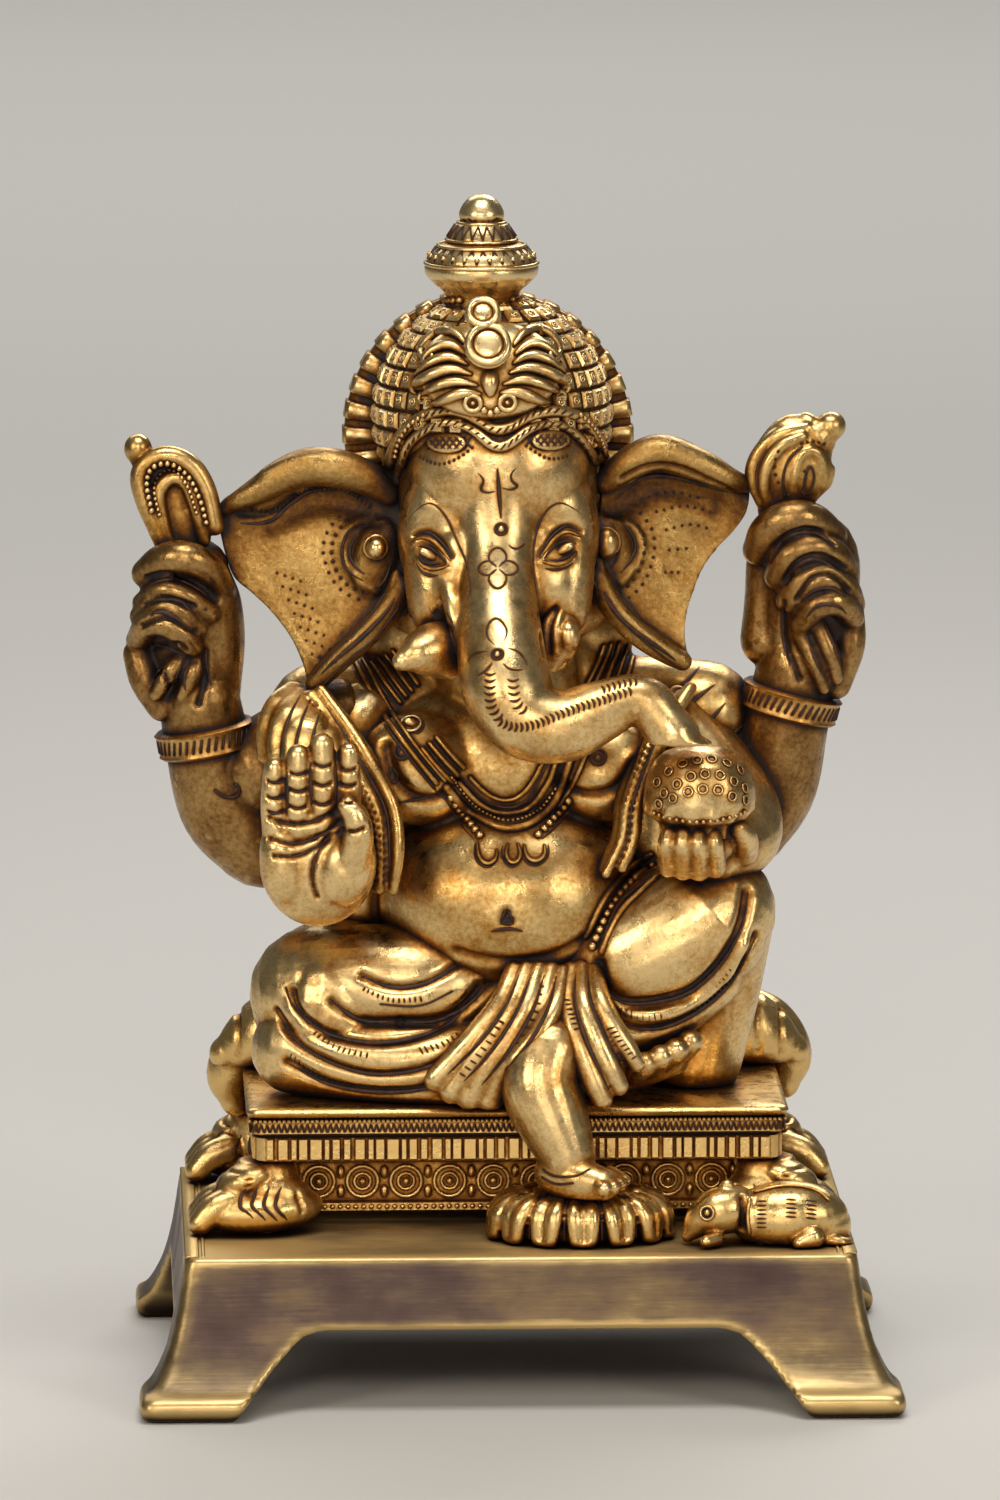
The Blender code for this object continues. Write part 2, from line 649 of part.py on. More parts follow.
def make_noose(fist, material):
    """The looped noose that stands out of the right fist, with a ball on its end."""
    x, y, z = fist
    handle = limb([above(x + 1, y, z, 3.4), above(x + 1, y, z + 14, 5)], sides=10)
    loop = limb([above(x + 2, y, z + 12, 6), above(x - 1.5, y, z + 23, 8), above(x - 4.5, y, z + 31, 6)], flatness=0.5)
    ball_end = ball(above(x - 7, y, z + 33.5), (3.2, 3.2, 3.2), segments=12, rings=8)
    return fuse("noose", [handle, loop, ball_end], material)


def make_goad(fist, material):
    """The shell-shaped goad that stands out of the left fist, with a ball on its end."""
    x, y, z = fist
    handle = limb([above(x - 1, y, z, 3.4), above(x - 2, y, z + 13, 5)], sides=10)
    shell = limb([above(x - 2.5, y, z + 13, 6.5), above(x - 1.5, y, z + 22, 9), above(x + 2.5, y, z + 29, 6.5)], flatness=0.6)
    ball_end = ball(above(x + 5.5, y, z + 32.5), (3.2, 3.2, 3.2), segments=12, rings=8)
    return fuse("goad", [handle, shell, ball_end], material)


# ---- Head and headdress --------------------------------------------------------------------


def on_head(x, y, z, *more):
    """A point given from the middle of the head."""
    return (HEAD_SIDE + x, y - 2, SEAT_TOP + HEAD_LEVEL + z, *more)


def make_head(material):
    """Skull, cheeks and the trunk that curls across to the sweet, poured as one."""
    r = HEAD_RADIUS
    trunk = [on_head(0.5, -20, -12, 11), on_head(0.5, -26, -20, 10.5), on_head(1, -29, -29, 9.5)]
    trunk += [on_head(1.5, -32, -36, 8.6), on_head(5, -33.5, -40, 7.6), on_head(11.5, -34, -40.5, 6.8)]
    trunk += [on_head(18.5, -34, -37.5, 5.8), on_head(25.5, -34, -35.5, 4.9), on_head(31, -34, -38, 4.6), on_head(34, -34, -40.5, 3.8)]
    shapes = [
        ball(on_head(0, 0, 0), (r, r, r + 1.5), segments=16, rings=10),
        ball(on_head(0, -7, -14), (17, 14, 15), segments=12, rings=8),
        ball(on_head(1, 3, -22), (14, 12, 12)),
        limb(trunk, sides=12),
    ]
    return fuse("head", shapes, material)


def make_ear(name, side, outline, material):
    """A fan-shaped ear that leans forward at its foot."""
    bm = prism([on_head(x, 0, z)[::2] for x, z in outline], -EAR_THICKNESS / 2, EAR_THICKNESS / 2)
    if side > 0:
        bmesh.ops.recalc_face_normals(bm, faces=bm.faces)
    hinge = SEAT_TOP + HEAD_LEVEL - 12
    for vertex in bm.verts:
        vertex.co.y += -1 + 0.2 * (vertex.co.z - hinge)
    bmesh.ops.triangulate(bm, faces=[f for f in bm.faces if len(f.verts) > 4])
    return solid(name, bm, material)


def make_crown(material):
    """A tall dome over the head, sawn off on a slope from brow to nape."""
    crown = ball(on_head(-0.5, 3, 14.5), (CROWN_RADIUS, CROWN_RADIUS * 0.88, CROWN_HEIGHT), segments=18, rings=12)
    return saw(solid("crown", crown, material), on_head(0, 0, 3), (0, 0.6, 1))


def make_halo(material):
    """The ribbed sun wheel behind the crown."""
    inner, outer, half = HALO_RADIUS * 0.55, HALO_RADIUS, HALO_THICKNESS / 2
    profile = [(inner, -half), (outer - 1, -half), (outer, 0), (outer - 1, half), (inner, half)]
    wheel = turned(profile, (0, 0, 0), segments=HALO_RIBS * 2, scallop=0.06, lobes=HALO_RIBS)
    wheel = solid("halo_wheel", place(wheel, on_head(-1, 13, 9.5), (90, 0, 0)), material)
    hub = turned([(inner, -half - 1), (inner, half + 1)], (0, 0, 0), segments=22)
    return cut(wheel, place(hub, on_head(-1, 13, 9.5), (90, 0, 0)))


def make_finial(material):
    """The little parasol and bud on top of the crown."""
    r, h = FINIAL_RADIUS, FINIAL_HEIGHT
    profile = [(r * 0.5, -3), (r * 0.42, h * 0.05), (r * 0.46, h * 0.12), (r * 0.8, h * 0.17), (r, h * 0.25)]
    profile += [(r * 0.98, h * 0.38), (r * 0.84, h * 0.46), (r * 0.58, h * 0.52), (r * 0.54, h * 0.62)]
    profile += [(r * 0.38, h * 0.7), (r * 0.36, h * 0.78), (r * 0.38, h * 0.86), (r * 0.24, h * 0.96), (r * 0.08, h)]
    return solid("crown_finial", turned(profile, on_head(-2.5, 3, 14.5 + CROWN_HEIGHT), segments=16), material)


# ---- The whole idol ------------------------------------------------------------------------


def build():
    for old in list(bpy.data.objects):
        bpy.data.objects.remove(old)
    stand_brass = brass("stand_brass", (0.45, 0.33, 0.18), 0.38)
    throne_brass = brass("throne_brass", (0.50, 0.30, 0.10), 0.42)
    figure_brass = brass("figure_brass", (0.66, 0.45, 0.16), 0.3)
    screw_steel = brass("screw_steel", (0.55, 0.54, 0.52), 0.35)

    screws, washers, paws = [], [], []
    for corner, (sx, sy) in {"front_right": (-1, -1), "front_left": (1, -1), "back_right": (-1, 1), "back_left": (1, 1)}.items():
        x, y = paw_place(sx, sy)
        screws.append(make_screw("throne_screw_" + corner, x, y, THRONE_SCREW_RADIUS, screw_steel))
        washers.append(make_washer("throne_washer_" + corner, x, y, THRONE_SCREW_RADIUS, screw_steel))
        paws.append(make_paw("throne_paw_" + corner, sx, sy, throne_brass))
    screws.append(make_screw("lotus_screw", *LOTUS_CENTRE, SMALL_SCREW_RADIUS, screw_steel))
    screws.append(make_screw("mouse_screw", *MOUSE_CENTRE, SMALL_SCREW_RADIUS, screw_steel))

    right_wrist, left_wrist = (-59.0, 1.0, 67.5), (53.5, 1.0, 74.0)
    right_fist, left_fist = (-62.5, -1.0, 91.0), (55.5, -1.0, 97.0)
    right_ear = [(-16, 5), (-26, 7), (-37, 7.5), (-46, 3), (-54, -4.5), (-52.5, -15), (-45, -21), (-40, -27), (-37, -32)]
    right_ear += [(-35.5, -38.5), (-30, -34), (-22, -27), (-14, -21)]
    left_ear = [(15, 7), (23, 9.5), (31, 10.5), (40, 8.5), (48.7, -0.5), (47.5, -10), (39.5, -18), (36.5, -27), (37.5, -36)]
    left_ear += [(30, -33), (22, -26), (14, -20)]

    castings = [
        *screws,
        *washers,
        make_stand(stand_brass),
        *paws,
        make_lotus(throne_brass),
        make_mouse(throne_brass),
        make_throne_seat(throne_brass),
        make_throne_apron(throne_brass),
        solid("crown_jewel", ball(on_head(-1.5, -13.5, 26), (15.5, 5.5, 11.5), (-28, 0, 0)), figure_brass),
        make_band(
            "necklace",
            [(-27, -8, 78, 3.4), (-21, -17, 67, 3.4), (-12, -19.5, 58, 3.4), (-2, -20.5, 54, 3.4), (8, -19.5, 57, 3.4)]
            + [(16, -18, 65, 3.4), (23, -9, 77, 3.4)],
            figure_brass,
        ),
        make_band(
            "shawl_right",
            [(-36, -5, 77, 6.5), (-31, -14, 70, 6.5), (-27, -18, 58, 6), (-25, -20, 44, 5), (-21, -20, 33, 4)],
            figure_brass,
        ),
        make_band(
            "shawl_left",
            [(41, -4, 74, 6.5), (33, -13, 67, 6.5), (26.5, -18, 59, 6), (23.5, -20, 45, 5), (18, -20, 35, 4)],
            figure_brass,
        ),
        solid("ear_stud_right", ball(on_head(-21, -7, -9.5), (3.2, 3.2, 3.2), segments=12, rings=8), figure_brass),
        solid("ear_stud_left", ball(on_head(20, -7, -9.5), (3.2, 3.2, 3.2), segments=12, rings=8), figure_brass),
        make_bracelet("bracelet_right", right_wrist, (0, -10, 0), figure_brass),
        make_bracelet("bracelet_left", left_wrist, (0, 14, 0), figure_brass),
        make_head(figure_brass),
        make_torso(figure_brass),
        make_hanging_shin(figure_brass),
        make_pleats("dhoti_pleats", (-3, -19, 26), [(-20, -22, 5), (-10, -25, 5), (0, -26, 10)], 4.6, figure_brass),
        make_pleats("dhoti_drape", (9, -18, 25), [(16, -27, 4), (24, -25, 3), (33, -24, 9)], 4.6, figure_brass),
        make_folded_leg(figure_brass),
        make_raised_leg(figure_brass),
        make_bowl_arm(figure_brass),
        make_palm_arm(figure_brass),
        make_modak(figure_brass),
        make_rear_arm("arm_rear_right", -1, 51.0, right_wrist, right_fist, figure_brass),
        make_rear_arm("arm_rear_left", 1, 47.0, left_wrist, left_fist, figure_brass),
        make_noose(right_fist, figure_brass),
        make_goad(left_fist, figure_brass),
        solid("tusk_right", limb([on_head(-7, -18, -20, 5.2), on_head(-14, -24, -23, 4.6), on_head(-19.5, -26.5, -28, 1.8)]), figure_brass),
        solid("tusk_left_stub", ball(on_head(12, -19, -21.5), (4, 5, 6.5), (0, 15, 0), 12, 8), figure_brass),
        make_ear("ear_right", -1, right_ear, figure_brass),
        make_ear("ear_left", 1, left_ear, figure_brass),
        make_crown(figure_brass),
        make_halo(figure_brass),
        make_finial(figure_brass),
        make_bolster(throne_brass),
    ]
    seat_on_neighbours(castings)
    for obj in castings:
        obj.data.shade_smooth()
        obj.data.set_sharp_from_angle(angle=math.radians(40))


build()
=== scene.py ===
"""Seated elephant-headed idol in cast brass, on a throne and a flared-foot stand.

Sizes are in millimetres unless a line says otherwise. Each casting is placed from its CAD solid.
"""

import math

import bpy
import numpy as np
from mathutils import Euler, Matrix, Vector
from mathutils.bvhtree import BVHTree


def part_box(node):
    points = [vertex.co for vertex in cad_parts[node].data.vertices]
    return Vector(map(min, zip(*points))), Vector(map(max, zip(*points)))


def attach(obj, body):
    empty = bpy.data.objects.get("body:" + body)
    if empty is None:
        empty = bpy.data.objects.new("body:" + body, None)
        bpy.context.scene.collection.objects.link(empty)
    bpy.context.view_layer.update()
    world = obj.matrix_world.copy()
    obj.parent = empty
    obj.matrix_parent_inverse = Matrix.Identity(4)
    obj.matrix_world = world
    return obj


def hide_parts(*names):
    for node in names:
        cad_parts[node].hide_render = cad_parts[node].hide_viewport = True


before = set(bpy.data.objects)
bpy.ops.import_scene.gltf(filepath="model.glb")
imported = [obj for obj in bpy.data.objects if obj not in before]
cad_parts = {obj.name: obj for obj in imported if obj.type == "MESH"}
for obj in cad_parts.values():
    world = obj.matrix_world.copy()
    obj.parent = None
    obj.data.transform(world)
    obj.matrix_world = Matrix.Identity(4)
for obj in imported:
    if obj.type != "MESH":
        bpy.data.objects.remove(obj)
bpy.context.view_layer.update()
MM = 0.001


# ---- Stand ----------------------------------------------------------------------------------
# The stand is a table cast in brass, with an apron all round and four corner legs that flare out
# into thick rounded lips. It is filed flat and left to tarnish, and its top is milled at both ends.


def middle(node):
    """Middle of a CAD casting."""
    low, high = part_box(node)
    return (low + high) / 2 / MM


def at(node, points):
    """Points given from a casting's middle, each with whatever follows it, such as a radius."""
    m = middle(node)
    return [(m.x + p[0], m.y + p[1], m.z + p[2], *p[3:]) for p in points]


def build(name, shapes):
    """An object from (points, faces) shapes."""
    points, faces, count = [], [], 0
    for shape_points, shape_faces in shapes:
        points.append(np.asarray(shape_points, float))
        faces += [tuple(i + count for i in face) for face in shape_faces]
        count += len(shape_points)
    mesh = bpy.data.meshes.new(name)
    mesh.from_pydata((np.vstack(points) * MM).tolist(), [], faces)
    mesh.update()
    piece = bpy.data.objects.new(name, mesh)
    bpy.context.scene.collection.objects.link(piece)
    return piece


def finish_with(piece, kind, **settings):
    """Adds a modifier to a piece and applies it."""
    bpy.ops.object.select_all(action="DESELECT")
    piece.select_set(True)
    bpy.context.view_layer.objects.active = piece
    modifier = piece.modifiers.new(kind.title(), kind)
    for key, value in settings.items():
        setattr(modifier, key, value)
    bpy.ops.object.modifier_apply(modifier=modifier.name)
    return piece


def cast(name, shapes, grain, relax):
    """One casting from overlapping shapes, its joins softened as sand and wax leave them."""
    piece = build(name, shapes)
    finish_with(piece, "REMESH", mode="VOXEL", voxel_size=grain * MM)
    finish_with(piece, "SMOOTH", iterations=relax, factor=0.5)
    piece.data.shade_smooth()
    return piece


def mount(piece, material, finish, *nodes):
    """Gives a piece its material, sets it on the idol and has it stand for its CAD castings."""
    piece.data.materials.clear()
    piece.data.materials.append(material)
    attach(piece, "root")
    if nodes:
        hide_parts(*nodes)
    return piece


def skinned(rings, closed=True):
    """Points and faces of the skin between rings of points, with flat ends."""
    count = len(rings[0])
    faces = []
    for k in range(len(rings) - 1):
        for j in range(count):
            a, b = k * count + j, k * count + (j + 1) % count
            faces.append((a, b, b + count, a + count))
    if closed:
        faces.append(tuple(range(count))[::-1])
        faces.append(tuple(range((len(rings) - 1) * count, len(rings) * count)))
    return np.vstack(rings), faces


def stacked(levels, centre, corner, steps=5):
    """Rectangles with rounded corners, from (z, half width, half depth) levels, bottom to top."""
    rings = []
    for z, half_width, half_depth in levels:
        ring = []
        for sx, sy, start in ((1, 1, 0), (-1, 1, 90), (-1, -1, 180), (1, -1, 270)):
            for step in range(steps):
                a = math.radians(start + 90 * step / (steps - 1))
                x = sx * (half_width - corner) + corner * math.cos(a)
                ring.append(
                    (centre[0] + x, centre[1] + sy * (half_depth - corner) + corner * math.sin(a), z)
                )
        rings.append(np.array(ring))
    return skinned(rings)


def cutter(outline, reach, along_x=False):
    """An arch outline of (across, up) points pushed through the stand."""
    rings = []
    for depth in (-reach, reach):
        rings.append(np.array([(depth, a, z) if along_x else (a, depth, z) for a, z in outline]))
    return skinned(rings)


def cut_out(piece, shape):
    """Cuts a shape out of a piece."""
    tool = build("tool", [shape])
    bpy.ops.object.select_all(action="DESELECT")
    tool.select_set(True)
    bpy.context.view_layer.objects.active = tool
    bpy.ops.object.mode_set(mode="EDIT")
    bpy.ops.mesh.select_all(action="SELECT")
    bpy.ops.mesh.normals_make_consistent(inside=False)
    bpy.ops.object.mode_set(mode="OBJECT")
    finish_with(piece, "BOOLEAN", operation="DIFFERENCE", solver="MANIFOLD", object=tool)
    bpy.data.objects.remove(tool)


def linear(hex_colour):
    """An sRGB hex colour as linear RGBA."""
    parts = [int(hex_colour[i : i + 2], 16) / 255 for i in (1, 3, 5)]
    return (*[c / 12.92 if c <= 0.04045 else ((c + 0.055) / 1.055) ** 2.4 for c in parts], 1.0)


def node(material, kind, links=(), **settings):
    """Adds a node with its settings, and links (input, node, output) into it."""
    tree = material.node_tree
    made = tree.nodes.new(kind)
    for key, value in settings.items():
        if key.startswith("in_"):
            name = key[3:]
            made.inputs[int(name) if name.isdigit() else name.replace("_", " ")].default_value = value
        else:
            setattr(made, key, value)
    for socket, source, output in links:
        tree.links.new(source.outputs[output], made.inputs[socket])
    return made


def ramp(material, source, output, stops):
    """A colour ramp with (place, hex colour) stops."""
    made = node(material, "ShaderNodeValToRGB", [("Fac", source, output)])
    elements = made.color_ramp.elements
    while len(elements) < len(stops):
        elements.new(1.0)
    for element, (place, colour) in zip(elements, stops):
        element.position = place
        element.color = linear(colour)
    return made


def waxed_brass(name, hollow_reach, dark, brown, body, bright, wear=0.0, grit_height=0.14):
    """Cast brass, chased, flooded with dark wax and buffed.

    The wax stays in hollows, the buffed skin goes pale on the high parts, and sand pits, file marks
    and slow stains break up the shine. More wear leaves more of it bare.
    """
    material = bpy.data.materials.new(name)
    material.use_nodes = True
    shader = material.node_tree.nodes["Principled BSDF"]
    place = node(material, "ShaderNodeTexCoord")
    wide = node(material, "ShaderNodeAmbientOcclusion", samples=10, in_Distance=hollow_reach * MM)
    tight = node(material, "ShaderNodeAmbientOcclusion", samples=8, in_Distance=1.8 * MM)
    edge = node(material, "ShaderNodeNewGeometry")
    stain = node(
        material, "ShaderNodeTexNoise", [("Vector", place, "Object")], in_Scale=95.0, in_Detail=6.0,
        in_Roughness=0.65
    )
    pits = node(
        material, "ShaderNodeTexNoise", [("Vector", place, "Object")], in_Scale=1000.0, in_Detail=4.0,
        in_Roughness=0.7
    )
    hammer = node(
        material, "ShaderNodeTexNoise", [("Vector", place, "Object")], in_Scale=330.0, in_Detail=3.0,
        in_Roughness=0.55
    )
    crest = node(
        material, "ShaderNodeMapRange", [("Value", edge, "Pointiness")], in_From_Min=0.44,
        in_From_Max=0.56, in_To_Min=-0.2, in_To_Max=0.2
    )
    both = node(material, "ShaderNodeMath", [(0, wide, "AO"), (1, tight, "AO")], operation="MULTIPLY")
    hollow = node(material, "ShaderNodeMath", [(0, both, 0)], operation="POWER")
    hollow.inputs[1].default_value = 1.5
    raised = node(material, "ShaderNodeMath", [(0, hollow, 0), (1, crest, 0)], operation="ADD")
    soil = node(
        material, "ShaderNodeMapRange", [("Value", stain, "Fac")], in_From_Min=0.3, in_From_Max=0.7,
        in_To_Min=wear - 0.27, in_To_Max=wear + 0.05
    )
    grit = node(
        material, "ShaderNodeMapRange", [("Value", pits, "Fac")], in_From_Min=0.32, in_From_Max=0.6,
        in_To_Min=-0.16, in_To_Max=0.04
    )
    soiled = node(material, "ShaderNodeMath", [(0, raised, 0), (1, soil, 0)], operation="ADD")
    clean = node(
        material, "ShaderNodeMath", [(0, soiled, 0), (1, grit, 0)], operation="ADD", use_clamp=True
    )
    colour = ramp(material, clean, 0, [(0.14, dark), (0.37, brown), (0.66, body), (1.0, bright)])
    metal = node(
        material, "ShaderNodeMapRange", [("Value", clean, 0)], in_From_Min=0.12, in_From_Max=0.42,
        in_To_Min=0.25, in_To_Max=1.0
    )
    rough = node(
        material, "ShaderNodeMapRange", [("Value", clean, 0)], in_From_Min=0.2, in_From_Max=0.9,
        in_To_Min=0.62, in_To_Max=0.28
    )
    rub = node(
        material, "ShaderNodeMapRange", [("Value", hammer, "Fac")], in_From_Min=0.3, in_From_Max=0.7,
        in_To_Min=-0.07, in_To_Max=0.1
    )
    skin_rough = node(material, "ShaderNodeMath", [(0, rough, 0), (1, rub, 0)], operation="ADD")
    bump = node(
        material, "ShaderNodeBump", [("Height", pits, "Fac")], in_Strength=0.4,
        in_Distance=grit_height * MM
    )
    dents = node(
        material, "ShaderNodeBump",
        [("Height", hammer, "Fac"), ("Normal", bump, 0)], in_Strength=0.15,
        in_Distance=0.3 * MM
    )
    waves = node(
        material, "ShaderNodeBump",
        [("Height", stain, "Fac"), ("Normal", dents, 0)], in_Strength=0.16,
        in_Distance=0.6 * MM
    )
    links = material.node_tree.links
    links.new(colour.outputs["Color"], shader.inputs["Base Color"])
    links.new(metal.outputs[0], shader.inputs["Metallic"])
    links.new(skin_rough.outputs[0], shader.inputs["Roughness"])
    links.new(waves.outputs[0], shader.inputs["Normal"])
    return material


stand_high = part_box("base_stand")[1] / MM
PLATE_HALF = (64.0, 46.0)
FLARE = (
    (0.0, 0.9), (1.2, 0.98), (3.2, 1.0), (4.4, 0.92), (5.2, 0.76), (6.5, 0.66), (8.5, 0.54), (11.0, 0.41),
    (14.7, 0.28)
)
FLARE += ((19.0, 0.17), (24.0, 0.08), (27.8, 0.02), (29.0, 0.0))
toe_x, toe_y = stand_high.x - PLATE_HALF[0] - 0.2, stand_high.y - PLATE_HALF[1] - 0.2
table = [(z, PLATE_HALF[0] + share * toe_x, PLATE_HALF[1] + share * toe_y) for z, share in FLARE]
table.append((stand_high.z, PLATE_HALF[0] - 0.4, PLATE_HALF[1] - 0.4))
stand = build("stand", [stacked(table, (0, 0), 2.4)])
cavity = [(-2.0, 62.5, 47.5), (6.0, 62.5, 47.5), (14.0, 61.0, 43.4), (26.0, 60.6, 42.6)]
cut_out(stand, stacked(cavity, (0, 0), 2.0))


def arch(half_top, half_foot, top):
    """Outline between two legs: a level edge that rounds into the legs and runs out to the feet."""
    side = [
        (half_foot + 0.6, -2), (half_foot, 1), (half_foot - 3.4, 5), (half_top + 7, top - 5.4),
        (half_top + 4, top - 2.2)
    ]
    side += [(half_top + 1.6, top - 0.6), (half_top - 1.5, top)]
    return side + [(-x, z) for x, z in reversed(side)]


cut_out(stand, cutter(arch(39.0, 54.0, 15.6), 90))
cut_out(stand, cutter(arch(31.0, 43.0, 15.6), 90, along_x=True))
finish_with(stand, "REMESH", mode="VOXEL", voxel_size=0.9 * MM)
finish_with(stand, "SMOOTH", iterations=3, factor=0.5)
stand.data.shade_smooth()


def filed_brass():
    """Filed and tarnished brass: long scratches along X, mauve-grey bloom, bright worn edges and a painted
    highlight on faces that point up. The legs are lighter low down, as wear, and the apron a little darker,
    as painted shade.
    """
    material = bpy.data.materials.new("filed_tarnished_brass_with_painted_light")
    material.use_nodes = True
    shader = material.node_tree.nodes["Principled BSDF"]
    place = node(material, "ShaderNodeTexCoord")
    drawn_out = node(material, "ShaderNodeMapping", [("Vector", place, "Object")])
    drawn_out.inputs["Scale"].default_value = (0.05, 1.0, 1.0)
    scratch = node(
        material, "ShaderNodeTexNoise", [("Vector", drawn_out, 0)], in_Scale=2200.0, in_Detail=4.0,
        in_Roughness=0.7
    )
    long_way = node(material, "ShaderNodeMapping", [("Vector", place, "Object")])
    long_way.inputs["Scale"].default_value = (0.55, 1.0, 0.9)
    bloom = node(
        material, "ShaderNodeTexNoise", [("Vector", long_way, 0)], in_Scale=48.0, in_Detail=6.0,
        in_Roughness=0.55
    )
    edge = node(material, "ShaderNodeNewGeometry")
    around = node(material, "ShaderNodeAmbientOcclusion", samples=8, in_Distance=5.0 * MM)
    worn = node(
        material, "ShaderNodeMapRange", [("Value", edge, "Pointiness")], in_From_Min=0.5,
        in_From_Max=0.56, in_To_Min=0.0, in_To_Max=0.55
    )
    mixed = node(material, "ShaderNodeMath", [(0, bloom, "Fac"), (1, worn, 0)], operation="ADD")
    streak = node(
        material, "ShaderNodeMapRange", [("Value", scratch, "Fac")], in_From_Min=0.3, in_From_Max=0.7,
        in_To_Min=-0.035, in_To_Max=0.035
    )
    stand_tone = node(material, "ShaderNodeMath", [(0, mixed, 0), (1, streak, 0)], operation="ADD")
    # Faces that point up are made lighter in colour, a painted highlight on the stand's top, and also
    # rougher.
    facing = node(material, "ShaderNodeSeparateXYZ", [("Vector", edge, "Normal")])
    level = node(
        material, "ShaderNodeMapRange", [("Value", facing, "Z")], in_From_Min=0.75, in_From_Max=1.0,
        in_To_Min=0.0, in_To_Max=0.3
    )
    # The tone is lighter low on the legs, as worn brass, and a little darker on the apron above, as painted
    # shade.
    height = node(material, "ShaderNodeSeparateXYZ", [("Vector", place, "Object")])
    foot = node(
        material, "ShaderNodeMapRange", [("Value", height, "Z")], in_From_Min=3.0 * MM,
        in_From_Max=20.0 * MM, in_To_Min=0.13, in_To_Max=-0.03
    )
    # The painted top highlight and the height shift join the tone here.
    bright = node(material, "ShaderNodeMath", [(0, level, 0), (1, foot, 0)], operation="ADD")
    stand_tone = node(material, "ShaderNodeMath", [(0, stand_tone, 0), (1, bright, 0)], operation="ADD")
    skin = ramp(
        material, stand_tone, 0,
        [(0.3, "#493A38"), (0.46, "#5A4A44"), (0.6, "#76644A"), (0.85, "#C9AC74")]
    )
    shade = ramp(material, around, "AO", [(0.3, "#4A3220"), (0.75, "#FFFFFF")])
    colour = node(material, "ShaderNodeMix", data_type="RGBA", blend_type="MULTIPLY")
    colour.inputs["Factor"].default_value = 1.0
    links = material.node_tree.links
    links.new(skin.outputs["Color"], colour.inputs[6])
    links.new(shade.outputs["Color"], colour.inputs[7])
    links.new(colour.outputs[2], shader.inputs["Base Color"])
    rough = node(
        material, "ShaderNodeMapRange", [("Value", stand_tone, 0)], in_From_Min=0.3, in_From_Max=0.8,
        in_To_Min=0.56, in_To_Max=0.36
    )
    rougher = node(material, "ShaderNodeMath", [(0, rough, 0), (1, level, 0)], operation="ADD")
    links.new(rougher.outputs[0], shader.inputs["Roughness"])
    fine = node(
        material, "ShaderNodeBump", [("Height", scratch, "Fac")], in_Strength=0.22, in_Distance=0.12 * MM
    )
    wave = node(
        material, "ShaderNodeBump",
        [("Height", bloom, "Fac"), ("Normal", fine, 0)], in_Strength=0.25,
        in_Distance=0.5 * MM
    )
    links.new(wave.outputs[0], shader.inputs["Normal"])
    shader.inputs["Metallic"].default_value = 1.0
    return material


stand_metal = filed_brass()
mount(stand, stand_metal, "stand_brass", "base_stand")

# Milled rope along both ends of the plate, one short bar after another, and a raised line inside it.


def bar(start, end, radius, sides=6):
    """A short round bar."""
    a, b = np.array(start, float), np.array(end, float)
    way = (b - a) / np.linalg.norm(b - a)
    side = np.cross(way, (0, 0, 1) if abs(way[2]) < 0.9 else (1, 0, 0))
    side /= np.linalg.norm(side)
    other = np.cross(way, side)
    turn = 2 * np.pi * np.arange(sides) / sides
    ring = np.outer(np.cos(turn), side) + np.outer(np.sin(turn), other)
    inset = way * radius * 0.5
    rings = [
        a + ring * radius * 0.55, a + inset + ring * radius, b - inset + ring * radius,
        b + ring * radius * 0.55
    ]
    return skinned(rings)


top = stand_high.z
milling = []
for end in (-1, 1):
    for k in range(84):
        y = -44.5 + k * 89.0 / 83
        milling.append(bar((end * 61.2, y, top - 0.05), (end * 63.9, y + 0.35, top - 0.1), 0.42))
    milling.append(bar((end * 60.4, -44.5, top - 0.1), (end * 60.4, 44.5, top - 0.1), 0.4))
milled_edge = build("stand_milled_edge", milling)
milled_edge.data.shade_smooth()
mount(milled_edge, stand_metal, "stand_brass")


# ---- Screws and washers ---------------------------------------------------------------------
# Cheese-head steel screws hold the throne, the lotus and the mouse from under the plate. They are
# turned, so fine rings run round their heads, and a dry grey film dulls them.

steel = bpy.data.materials.new("turned_steel")
steel.use_nodes = True
steel_shader = steel.node_tree.nodes["Principled BSDF"]
steel_shader.inputs["Metallic"].default_value = 1.0
steel_place = node(steel, "ShaderNodeTexCoord")
steel_film = node(
    steel, "ShaderNodeTexNoise", [("Vector", steel_place, "Object")], in_Scale=400.0, in_Detail=4.0
)
steel_colour = ramp(steel, steel_film, "Fac", [(0.3, "#77736C"), (0.7, "#B4B0A8")])
steel.node_tree.links.new(steel_colour.outputs["Color"], steel_shader.inputs["Base Color"])
steel_rough = node(
    steel, "ShaderNodeMapRange", [("Value", steel_film, "Fac")], in_To_Min=0.3, in_To_Max=0.55
)
steel.node_tree.links.new(steel_rough.outputs[0], steel_shader.inputs["Roughness"])
steel_rings = node(
    steel, "ShaderNodeTexWave", [("Vector", steel_place, "Object")], in_Scale=900.0, wave_type="RINGS",
    rings_direction="Z"
)
steel_bump = node(
    steel, "ShaderNodeBump", [("Height", steel_rings, "Fac")], in_Strength=0.15, in_Distance=0.05 * MM
)
steel.node_tree.links.new(steel_bump.outputs[0], steel_shader.inputs["Normal"])
for name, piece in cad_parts.items():
    if "screw" in name or "washer" in name:
        piece.data.materials.clear()
        piece.data.materials.append(steel)


# ---- Throne ---------------------------------------------------------------------------------
# A moulded slab on four lion's paws: a worn lip, a band cut in zigzags and a row of upright panels
# parted by saw cuts. Its apron, set back under it, carries a row of rosettes between two beads.

